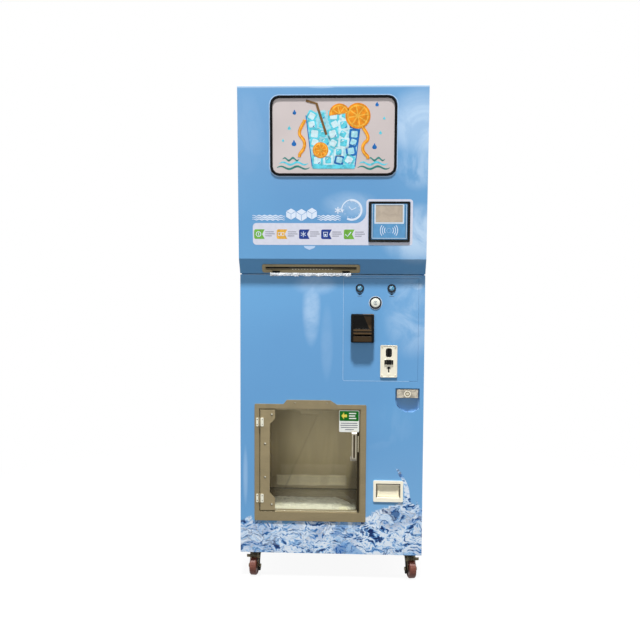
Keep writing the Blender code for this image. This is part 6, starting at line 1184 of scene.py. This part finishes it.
class ICEMACHINE_OT_card_reader(Operator):
    """Fits the card reader's membrane, display, keylines and contactless mark in its black frame"""

    bl_idname = "ice_machine.card_reader"
    bl_label = "Card reader"

    def execute(self, context):
        settings = context.scene.ice_machine
        look = settings.graphic
        dress(moulded_plastic("reader_frame", settings.plastic.black, 0.34), "card_reader")
        blue = printed("reader_membrane", look.reader_blue, 0.36, 0.06)
        dark = printed("reader_edge", shade(look.reader_blue, 0.35), 0.4, 0.1)
        line = printed("reader_line", paint(206, 220, 232), 0.36, 0.04)
        white = printed("reader_mark", look.icon_white, 0.36, 0.03)
        art = Artwork(FACE, READER_FACE)
        opening = panel_shape((0.1672, 0.1421), (0.2718, 0.2087), 0.0015)
        art.cut(dark, 0, panel_shape((0.1500, 0.0755), (0.2905, 0.2135), 0.003), opening)
        art.cut(blue, 1, panel_shape((0.1530, 0.0785), (0.2875, 0.2120), 0.003), opening)
        art.cut(
            line, 2, panel_shape((0.1625, 0.1368), (0.2765, 0.2115), 0.003),
            panel_shape((0.1678, 0.1427), (0.2712, 0.2081), 0.0015),
        )
        # dark grooves and pale keylines down both sides of the membrane, and a keyline along its foot
        for x in (0.1572, 0.2822):
            art.panel(dark, 2, (x - 0.0008, 0.082), (x + 0.0008, 0.209), 0.0004, 2)
        for x in (0.1541, 0.2856):
            art.panel(line, 2, (x - 0.0009, 0.082), (x + 0.0009, 0.211), 0.0004, 2)
        art.panel(line, 2, (0.1535, 0.0802), (0.2870, 0.0820), 0.0003, 2)
        # the contactless mark: bows to both sides of a ring of dots
        hub = (0.219, 0.1112)
        for radius in (0.0175, 0.0255, 0.0335):
            for middle in (0, 180):
                art.cut(white, 2, bow(hub, radius - 0.0013, radius + 0.0013, middle - 36, middle + 36))
        for dot in circle(hub, 0.0085, 14):
            art.cut(white, 2, circle(dot, 0.0008, 10))
        art.fix("reader_membrane", "upper_door", "membrane")
        screen = Artwork(FACE, SCREEN_FACE, 0.0008)
        screen.panel(cloudy_screen(look.screen), 0, (0.1674, 0.1423), (0.2716, 0.2085), 0.0015)
        screen.fix("reader_screen", "upper_door", "glass")
        return {"FINISHED"}


class ICEMACHINE_OT_bag_slot(Operator):
    """Finishes the bag slot, its rubber pads, the bag roll and the crumpled film that hangs out"""

    bl_idname = "ice_machine.bag_slot"
    bl_label = "Bag slot and film"

    def slot(self, settings):
        """Rubber pads on the slot's face, an inner lip at its foot in painted shade, and cutting teeth along
        the lip with painted highlights.
        """
        pads = Artwork(BAND, SLOT_FACE, 0.0008)
        rubber = soft_rubber("slot_pads", settings.plastic.rubber)
        for left in (-0.236, 0.039):
            pads.panel(rubber, 0, (left, 0.0095), (left + 0.030, 0.0185), 0.0012)
        pads.fix("slot_pads", "upper_door", "black_rubber")
        # painted shade: the lip is the frame's stainless darkened; painted highlight: the teeth are bright
        # steel lightened
        lip_steel_shaded = satin_metal("slot_lip", shade(settings.metal.stainless, 0.45), 0.5, 0.2)
        tooth_steel_highlit = satin_metal("slot_teeth", shade(settings.metal.bright, 1.6), 0.3, 0.3)
        teeth = Artwork(BAND, TOOTH_FACE, 0.0009)
        for k in range(14):
            left = -0.158 + 0.0118 * k
            teeth.panel(tooth_steel_highlit, 0, (left, 0.0232), (left + 0.0050, 0.0264), 0.0012, 3)
        teeth.fix("slot_teeth", "upper_door", "steel")
        lip = Artwork(BAND, LIP_FACE, 0.0006)
        lip.panel(lip_steel_shaded, 0, (-0.2615, 0.0228), (0.0945, 0.0285))
        lip.fix("slot_lip", "upper_door", "steel")

    def execute(self, context):
        settings = context.scene.ice_machine
        film, clear = settings.film, settings.plastic.film
        # painted light: the bezel's stainless is lightened to make up for the shade on the downward-facing
        # band
        dress(satin_metal("slot_steel", shade(settings.metal.stainless, 1.2), 0.4, 0.3), "bag_slot_bezel")
        dress(brushed_steel("bracket_steel", settings.metal.bright, 0.4), "roll_bracket")
        dress(thin_film("roll_film", clear, 0.65), "bag_roll")
        self.slot(settings)
        left, top = -0.246, 1.2378

        def place(u, t):
            """Film gathered in small folds, t of the way down from the slot to its ragged edge."""
            ragged = 0.0035 * noise.noise(Vector((u * 14, film.seed, 0)))
            ragged += 0.002 * noise.noise(Vector((u * 47, film.seed, 3)))
            z = top - (film.drop + ragged) * t
            gather = noise.noise(Vector((u * 30, t * 2.5, film.seed)))
            gather += 0.6 * noise.noise(Vector((u * 75, t * 6.0, film.seed + 5)))
            out = 0.0016 + 0.0085 * t ** 0.6 + 0.0034 * gather * (0.15 + 0.85 * t)
            band = max(z - SPLIT, 0.0) * OVERHANG / (BEND - SPLIT)
            return at(left + film.width * u, -band - out, z)

        finish = thin_film("hanging_film", clear, 1.1)
        obj, area = crumpled("hanging_film", 180, 12, place, finish, "upper_door", film.thickness)
        return {"FINISHED"}


class ICEMACHINE_OT_push_buttons(Operator):
    """Gives the push buttons dark rings, and blue lenses with painted highlights and shade on their facets"""

    bl_idname = "ice_machine.push_buttons"
    bl_label = "Push buttons"

    def execute(self, context):
        look = context.scene.ice_machine.plastic
        gloss = {"Coat_Weight": 0.15, "Coat_Roughness": 0.1}
        ring = moulded_plastic("button_ring", paint(8, 18, 34), 0.32, **gloss)
        dress(ring, "left_button_housing", "right_button_housing", "main_button_housing")
        dress(faceted_lens(look.lens_blue), "left_button_cap", "right_button_cap")
        dress(moulded_plastic("button_cap_white", paint(226, 228, 216), 0.25), "main_button_cap")
        halo = printed("button_halo", paint(226, 232, 236), 0.34, 0.04)
        mark = printed("button_mark", paint(96, 116, 134), 0.4, 0.1)
        plate = printed("button_plate", paint(24, 36, 54), 0.4, 0.1)
        pale = printed("seam_light", paint(168, 202, 232), 0.34, 0.08)
        art = Artwork(LOWER)
        art.cut(halo, 0, circle(MAIN_BUTTON, 0.0262), circle(MAIN_BUTTON, 0.0245))
        # painted highlights along the payment panel's seam and along the doors' split, and small marks under
        # the buttons
        seam = [(0.350, 1.2185), (0.0445, 1.2185), (0.0445, 0.8135), (0.0480, 0.8095), (0.306, 0.8095)]
        art.cut(pale, 0, stroke(seam, 0.0016))
        art.panel(pale, 0, (-0.352, 1.2278), (0.352, 1.2291), 0.0005, 2)
        for x, half in zip(SIDE_BUTTONS, (0.0085, 0.0062)):
            foot, high, low = half * 0.55, 1.1570, 1.1510
            art.cut(plate, 0, [(x - half, high), (x + half, high), (x + foot, low), (x - foot, low)])
            art.panel(mark, 0, (x - 0.0095, 1.1450), (x + 0.0095, 1.1470), 0.0008, 2)
        art.fix("button_surrounds", "lower_door", "membrane")
        cap = Artwork(LOWER, BUTTON_FACE)
        cap.cut(mark, 0, bow(MAIN_BUTTON, 0.0058, 0.0072, 25, 335))
        cap.cut(mark, 0, circle(MAIN_BUTTON, 0.0022, 16))
        cap.fix("main_button_mark", "main_button", "button_white")
        return {"FINISHED"}


class ICEMACHINE_OT_note_unit(Operator):
    """Finishes the note acceptor with a smoked window under a painted reflection, guide bars painted as if
    lit, and a brown sill
    """

    bl_idname = "ice_machine.note_unit"
    bl_label = "Note acceptor"

    def execute(self, context):
        dress(note_plastic(context.scene.ice_machine.plastic), "bill_acceptor")
        return {"FINISHED"}


class ICEMACHINE_OT_coin_units(Operator):
    """Enamels the coin acceptor, its reject button and the coin return"""

    bl_idname = "ice_machine.coin_units"
    bl_label = "Coin acceptor and return"

    def execute(self, context):
        settings = context.scene.ice_machine
        dress(coin_plate(settings.metal.cream, paint(14, 13, 11)), "coin_acceptor")
        dress(moulded_plastic("reject_button", settings.plastic.black, 0.3), "coin_reject_button")
        dress(enamel("coin_cup", paint(250, 243, 222), 0.3), "coin_return_cup")
        dress(enamel("coin_flap", paint(240, 232, 206), 0.34), "coin_return_flap")
        bright = brushed_steel("coin_screws", settings.metal.bright, 0.25)
        dark = printed("coin_grooves", paint(58, 48, 34), 0.5, 0.1)
        plate_front = -0.0043
        corners = [(x, plate_front, z) for x in (0.1985, 0.2525) for z in (0.8325, 0.9455)]
        head = [(0, -0.0013), (0.0016, -0.0011), (0.0024, -0.0004), (0.0026, 0.0004)]
        screws("coin_plate_screws", corners, head, bright, "lower_door")
        # the return cup's shadow groove runs round three sides of its mouth
        left, foot, right, top, width = 0.1800, 0.3420, 0.2770, 0.3975, 0.0035
        groove = Artwork(LOWER, CUP_FACE)
        groove.cut(dark, 0, [
            (left, foot), (left + width, foot), (left + width, top - width), (right - width, top - width),
            (right - width, foot), (right, foot), (right, top), (left, top),
        ])
        groove.fix("coin_cup_groove", "lower_door", "black_rubber")
        return {"FINISHED"}


class ICEMACHINE_OT_lock(Operator):
    """Finishes the lock plate and its turning cylinder"""

    bl_idname = "ice_machine.lock"
    bl_label = "Door lock"

    def execute(self, context):
        metal = context.scene.ice_machine.metal
        dress(lock_steel(shade(metal.bright, 0.9)), "lock_plate", "lock_cylinder")
        return {"FINISHED"}


class ICEMACHINE_OT_hatch(Operator):
    """Finishes the pick-up hatch: steel frame, glazed door, hinge strip, handle, label and lined bay"""

    bl_idname = "ice_machine.hatch"
    bl_label = "Pick-up hatch"

    def label(self, look):
        """A green label with an arrow and bars, over a white part with printed rows."""
        green = printed("label_green", look.label_green, 0.34, 0.08)
        white = printed("label_white", paint(226, 228, 222), 0.36, 0.04)
        yellow = printed("label_yellow", look.label_yellow, 0.34, 0.06)
        ink = printed("label_ink", look.ink, 0.4, 0.1)
        art = Artwork(LOWER, LABEL_FACE)
        art.panel(white, 0, (0.031, 0.604), (0.1105, 0.6905), 0.005)
        art.panel(green, 1, (0.0325, 0.6485), (0.1090, 0.6890), 0.004)
        art.cut(yellow, 2, [
            (0.0400, 0.6690), (0.0500, 0.6830), (0.0500, 0.6745), (0.0620, 0.6745),
            (0.0620, 0.6635), (0.0500, 0.6635), (0.0500, 0.6550),
        ])
        for y, right in ((0.6790, 0.0985), (0.6690, 0.0945), (0.6590, 0.0985)):
            art.panel(white, 2, (0.0700, y - 0.0022), (right, y + 0.0022), 0.001, 2)
        for y, left, right in (
            (0.6395, 0.038, 0.103), (0.6310, 0.036, 0.105), (0.6225, 0.038, 0.104), (0.6140, 0.055, 0.090),
        ):
            art.panel(ink, 1, (left, y - 0.0014), (right, y + 0.0014), 0.0008, 2)
        art.fix("hatch_label", "ice_door", "membrane")

    def hinges(self, bright, shadow):
        """Plated leaves on both halves of the small hinges, screws down the strip and rivets on the arch."""
        fixed, moving = Artwork(LOWER, FIXED_LEAF_FACE), Artwork(LOWER, MOVING_LEAF_FACE)
        arch = Artwork(LOWER, ARCH_FACE)
        for middle in (0.331, 0.640):
            low, high = middle - 0.0176, middle + 0.0176
            fixed.panel(bright, 0, (-0.3008, low), (-0.2918, high), 0.0035)
            moving.panel(bright, 0, (-0.2832, low), (-0.2706, high), 0.0035)
            for side in (-1, 1):
                fixed.cut(shadow, 1, circle((-0.2966, middle + side * 0.0100), 0.0021, 14))
                moving.cut(shadow, 1, circle((-0.2762, middle + side * 0.0100), 0.0018, 14))
        for x, z in ((-0.238, 0.307), (-0.26485, 0.4177), (-0.26485, 0.5533), (-0.238, 0.672)):
            moving.cut(shadow, 0, circle((x - 0.0010, z - 0.0012), 0.0040, 18))
            moving.cut(bright, 1, circle((x + 0.0004, z + 0.0004), 0.0028, 18))
        for x in (-0.1455, -0.0180):
            arch.cut(shadow, 0, circle((x - 0.0006, 0.7178), 0.0026, 14))
            arch.cut(bright, 1, circle((x + 0.0003, 0.7190), 0.0016, 14))
        fixed.fix("hinge_leaves_fixed", "lower_door", "steel")
        moving.fix("hinge_leaves_moving", "ice_door", "steel")
        arch.fix("arch_rivets", "lower_door", "steel")

    def trim(self, edge):
        """The pane's black seal with a painted reflection of the handle on it, a painted highlight along the
        pane's foot, and the handle's groove with painted highlights along its edges.
        """
        seal = soft_rubber("pane_seal", paint(40, 34, 22))
        pane = Artwork(LOWER, PANE_FACE)
        pane.panel(seal, 0, (0.1035, 0.2815), (0.1125, 0.6905), 0.0008, 2)
        # painted reflection of the handle: a pale bar on the seal
        pane.panel(edge, 1, (0.1058, 0.5240), (0.1088, 0.5885), 0.0012, 3)
        # painted highlight along the pane's foot
        pane.panel(edge, 0, (-0.2240, 0.2806), (0.1025, 0.2832), 0.0006, 2)
        pane.fix("pane_trim", "ice_door", "black_rubber")
        handle = Artwork(LOWER, HANDLE_FACE)
        groove = printed("handle_groove", paint(60, 50, 30), 0.5, 0.1)
        handle.panel(groove, 0, (0.0882, 0.5060), (0.0948, 0.5985), 0.003)
        # painted highlights along both edges of the handle
        for left in (0.0838, 0.0974):
            handle.panel(edge, 0, (left, 0.5040), (left + 0.0018, 0.6000), 0.0008, 2)
        handle.fix("handle_groove", "ice_door", "black_rubber")

    def execute(self, context):
        settings = context.scene.ice_machine
        metal = settings.metal
        dress(satin_metal("hatch_frame", metal.stainless), "ice_door_frame")
        dress(clear_pane("hatch_glass"), "ice_door_glass")
        dress(satin_metal("hinge_strip", shade(metal.stainless, 1.12), 0.38, 0.5), "ice_door_hinge_strip")
        dress(satin_metal("hatch_handle", shade(metal.bright, 0.55), 0.4, 0.3), "ice_door_handle")
        dress(lining_steel(metal.stainless), "pickup_compartment")
        self.label(settings.graphic)
        bright = satin_metal("hinge_plate", paint(226, 224, 206), 0.3, 0.3)
        self.hinges(bright, printed("screw_shadow", paint(52, 44, 28), 0.5, 0.1))
        self.trim(printed("pane_edge", paint(204, 194, 164), 0.3, 0.1))
        return {"FINISHED"}


class ICEMACHINE_OT_bay_sheet(Operator):
    """Lays the crumpled white sheet on the floor of the pick-up bay"""

    bl_idname = "ice_machine.bay_sheet"
    bl_label = "Bay sheet"

    def execute(self, context):
        film = context.scene.ice_machine.film
        # its left, front and back edges, and where and how steeply the back edge turns forward
        left, front, back, turn, slant = -0.262, 0.048, 0.246, 0.020, 1.55

        def place(u, v):
            """A creased sheet, v of the way from its front edge to its slanting back edge."""
            x = left + film.sheet_width * u + 0.004 * noise.noise(Vector((v * 9, 2.0, film.seed)))
            edge = back - max(0.0, x - turn) * slant + 0.012 * noise.noise(Vector((u * 11, 0.0, film.seed)))
            y = front + (edge - front) * v
            spot = Vector((x * 26, y * 26, film.seed))
            fold = abs(noise.noise(spot)) + 0.5 * abs(noise.noise(spot * 2.3))
            return at(x, y, BAY_FLOOR + 0.0085 * fold)

        obj, area = crumpled("bay_sheet", 110, 56, place, crumpled_sheet(film), "cabinet", film.thickness)
        return {"FINISHED"}


class ICEMACHINE_OT_castors(Operator):
    """Finishes the castors: plated forks, maroon tyres and black brake levers"""

    bl_idname = "ice_machine.castors"
    bl_label = "Castors"

    def hood(self, name, finish, swivel):
        """A pressed hood over the wheel's front with a wide lip, hung from a round seat under the race."""
        top, foot, width, lip_width = 0.0893, 0.0768, 0.0304, 0.0540
        seat_height, seat_radius, seat_thickness = 0.0874, 0.0290, 0.0040
        side = [(-0.0222, top), (-0.0222, 0.0775)] + arc((-0.032, 0.0375), 0.0397, 90, 108)
        side += [(-0.0485, foot), (-0.0510, top)]
        lip = [(-0.0488, top), (-0.0463, foot), (-0.0485, foot), (-0.0510, top)]
        across = Matrix(((0, 0, 1, 0), (1, 0, 0, 0), (0, 1, 0, 0), (0, 0, 0, 1)))
        bm = bmesh.new()
        lay_plate(bm, [side], width, swivel @ across)
        lay_plate(bm, [lip], lip_width, swivel @ across)
        seat = circle((0, 0), seat_radius, 48)
        lay_plate(bm, [seat], seat_thickness, swivel @ Matrix.Translation((0, 0, seat_height)))
        finished(name + "_castor_hood", bm, [finish], name + "_fork")

    def execute(self, context):
        settings = context.scene.ice_machine
        fork = satin_metal("castor_fork", settings.metal.plated, 0.5, 0.35)
        tyre = tyre_rubber(settings.plastic.maroon)
        lever = moulded_plastic("brake_lever", settings.plastic.black)
        hood = hood_steel(settings.metal.plated)
        for name, x, y, heading in CASTORS:
            swivel = Matrix.Translation(at(x, y, 0)) @ Matrix.Rotation(math.radians(heading), 4, "Z")
            self.hood(name, hood, swivel)
            dress(fork, name + "_castor_fork")
            dress(tyre, name + "_castor_wheel")
            if name.startswith("front"):
                dress(lever, name + "_castor_brake")
        return {"FINISHED"}


class ICEMACHINE_OT_ice_works(Operator):
    """Finishes what the doors hide: hopper, auger, chute, ice maker and cooling unit"""

    bl_idname = "ice_machine.ice_works"
    bl_label = "Ice works"

    def execute(self, context):
        settings = context.scene.ice_machine
        metal, plastic = settings.metal, settings.plastic
        inner = brushed_steel("deck_steel", metal.bright, 0.36)
        dress(inner, "hopper_deck", "ice_maker_deck", "discharge_chute", "auger", "discharge_gate")
        dress(moulded_plastic("hopper_white", plastic.white, 0.38, 500.0), "ice_hopper", "water_sump")
        dress(painted_steel("motor_grey", paint(112, 118, 124)), "auger_gearmotor", "control_box")
        dress(painted_steel("compressor_black", paint(34, 36, 38), 0.36), "compressor")
        dress(fin_stack(metal.aluminium), "condenser", "evaporator")
        dress(moulded_plastic("fan_black", plastic.black, 0.36), "condenser_fan")
        return {"FINISHED"}


class ICEMACHINE_OT_services(Operator):
    """Finishes the water inlet, drain outlet and power inlet on the back, and fits the back's screws"""

    bl_idname = "ice_machine.services"
    bl_label = "Services"

    def execute(self, context):
        settings = context.scene.ice_machine
        dress(brushed_steel("valve_brass", settings.metal.brass, 0.3), "water_inlet_valve")
        dress(moulded_plastic("drain_grey", settings.plastic.grey), "drain_outlet")
        dress(moulded_plastic("inlet_black", settings.plastic.black), "power_inlet")
        # pan-head screws down both edges of the back, and three along its top
        edge, lowest, pitch, top = 0.3555, 0.150, 0.2175, 1.936
        places = [(side * edge, BACK, lowest + pitch * k) for side in (-1, 1) for k in range(9)]
        places += [(x, BACK, top) for x in (-0.18, 0.0, 0.18)]
        head = [(0, 0.0016), (0.0026, 0.0013), (0.0040, 0.0003), (0.0042, -0.0004)]
        steel = brushed_steel("back_screws", settings.metal.bright, 0.3)
        screws("back_screws", places, head, steel, "cabinet")
        return {"FINISHED"}


class ICEMACHINE_OT_stage(Operator):
    """Sets the pale floor, soft lamps, white surround and the camera"""

    bl_idname = "ice_machine.stage"
    bl_label = "Stage"

    def lamp(self, name, power, size, place, aim):
        data = bpy.data.lights.new(name, "AREA")
        data.energy = power
        data.shape = "RECTANGLE"
        data.size, data.size_y = size
        obj = bpy.data.objects.new(name, data)
        obj.location = place
        obj.rotation_euler = (aim - place).to_track_quat("-Z", "Y").to_euler()
        bpy.context.scene.collection.objects.link(obj)

    def floor_paint(self, colour):
        """Grey paint under a white glow that only seen rays meet, stronger far out."""
        paintwork = Finish("studio_floor", colour, 0.9, Specular_IOR_Level=0.1)
        speck = paintwork.cloudiness(40.0, 4.0)
        paintwork.colour(paintwork.fade(speck, 0.3, 0.7, 1.0, colour, shade(colour, 0.97)))
        near, far = 0.7, 2.4
        distance = paintwork.vector("LENGTH", paintwork.place, output="Value")
        white = paintwork.add("ShaderNodeEmission")
        paintwork.feed(white.inputs["Strength"], paintwork.step(distance, near, far, 1.60, 1.0))
        share = paintwork.times(seen_rays(paintwork.tree), paintwork.step(distance, near, far, 0.58, 1.0))
        blend(paintwork.tree, share, paintwork.shader.outputs[0], white.outputs[0])
        return paintwork.material

    def floor(self, look):
        bm = bmesh.new()
        sides = 64
        rings = [
            [bm.verts.new((x, y, 0)) for x, y in circle((0, 0), radius, sides)]
            for radius in (7.0, 3.5, 2.0, 1.2, 0.6)
        ]
        join_rings(bm, rings + [[bm.verts.new((0, 0, 0))]], sides)
        mesh = bpy.data.meshes.new("studio_floor")
        bm.to_mesh(mesh)
        bm.free()
        mesh.materials.append(self.floor_paint(look.floor))
        obj = bpy.data.objects.new("studio_floor", mesh)
        obj.location = (0, 0, -FLOOR_GAP)
        bpy.context.scene.collection.objects.link(obj)

    def surround(self, scene, strength):
        """A world that lights with a cool sky and is seen as white."""
        world = bpy.data.worlds.new("studio_white")
        world.use_nodes = True
        tree = world.node_tree
        sky = tree.nodes["Background"]
        sky.inputs["Color"].default_value = (0.93, 0.96, 1.0, 1)
        sky.inputs["Strength"].default_value = strength
        white = tree.nodes.new("ShaderNodeBackground")
        white.inputs["Color"].default_value = (1, 1, 1, 1)
        blend(tree, seen_rays(tree), sky.outputs[0], white.outputs[0], "World Output")
        scene.world = world

    def camera(self, scene, look):
        """The photo's view: a level camera turned, tilted down and rolled a little."""
        yaw, pitch, roll = math.radians(CAMERA_YAW), math.radians(CAMERA_PITCH), math.radians(CAMERA_ROLL)
        ahead = Vector((math.sin(yaw) * math.cos(pitch), math.cos(yaw) * math.cos(pitch), -math.sin(pitch)))
        level = ahead.cross(Vector((0, 0, 1))).normalized()
        upward = level.cross(ahead)
        right = level * math.cos(roll) + upward * math.sin(roll)
        up = upward * math.cos(roll) - level * math.sin(roll)
        data = bpy.data.cameras.new("photo_view")
        data.lens = look.lens
        data.sensor_width = 36
        data.sensor_fit = "HORIZONTAL"
        obj = bpy.data.objects.new("photo_view", data)
        turn = Matrix((right, up, -ahead)).transposed().to_4x4()
        obj.matrix_world = Matrix.Translation(at(CAMERA_SIDE, -look.camera_distance, CAMERA_HEIGHT)) @ turn
        scene.collection.objects.link(obj)
        scene.camera = obj

    def execute(self, context):
        scene = context.scene
        look = scene.ice_machine.stage
        self.floor(look)
        self.surround(scene, look.sky_strength)
        for name, power, size, place, aim in LAMPS:
            self.lamp(name, getattr(look, power), size, at(*place), at(*aim))
        self.camera(scene, look)
        scene.view_settings.view_transform = "Standard"
        return {"FINISHED"}


OPERATORS = (
    ICEMACHINE_OT_stage,
    ICEMACHINE_OT_cabinet,
    ICEMACHINE_OT_sign,
    ICEMACHINE_OT_instruction_strip,
    ICEMACHINE_OT_card_reader,
    ICEMACHINE_OT_bag_slot,
    ICEMACHINE_OT_push_buttons,
    ICEMACHINE_OT_note_unit,
    ICEMACHINE_OT_coin_units,
    ICEMACHINE_OT_lock,
    ICEMACHINE_OT_hatch,
    ICEMACHINE_OT_bay_sheet,
    ICEMACHINE_OT_castors,
    ICEMACHINE_OT_ice_works,
    ICEMACHINE_OT_services,
)


class ICEMACHINE_PT_pieces(Panel):
    """Lists the machine's pieces and its stage"""

    bl_idname = "ICEMACHINE_PT_pieces"
    bl_label = "Ice Machine"
    bl_space_type = "VIEW_3D"
    bl_region_type = "UI"
    bl_category = "Ice Machine"

    def draw(self, context):
        for operator in OPERATORS:
            self.layout.operator(operator.bl_idname)
        settings = context.scene.ice_machine
        for group in (
            settings.wrap, settings.metal, settings.plastic, settings.graphic, settings.film, settings.stage,
        ):
            box = self.layout.box()
            for name in group.__annotations__:
                box.prop(group, name)


SETTINGS = (
    WrapSettings, MetalSettings, PlasticSettings, GraphicSettings, FilmSettings, StageSettings,
    MachineSettings,
)
CLASSES = SETTINGS + OPERATORS + (ICEMACHINE_PT_pieces,)


def register():
    for cls in CLASSES:
        bpy.utils.register_class(cls)
    bpy.types.Scene.ice_machine = PointerProperty(type=MachineSettings)


def unregister():
    del bpy.types.Scene.ice_machine
    for cls in reversed(CLASSES):
        bpy.utils.unregister_class(cls)


def main():
    register()
    for operator in OPERATORS:
        group, name = operator.bl_idname.split(".")
        getattr(getattr(bpy.ops, group), name)()


if __name__ == "__main__":
    main()
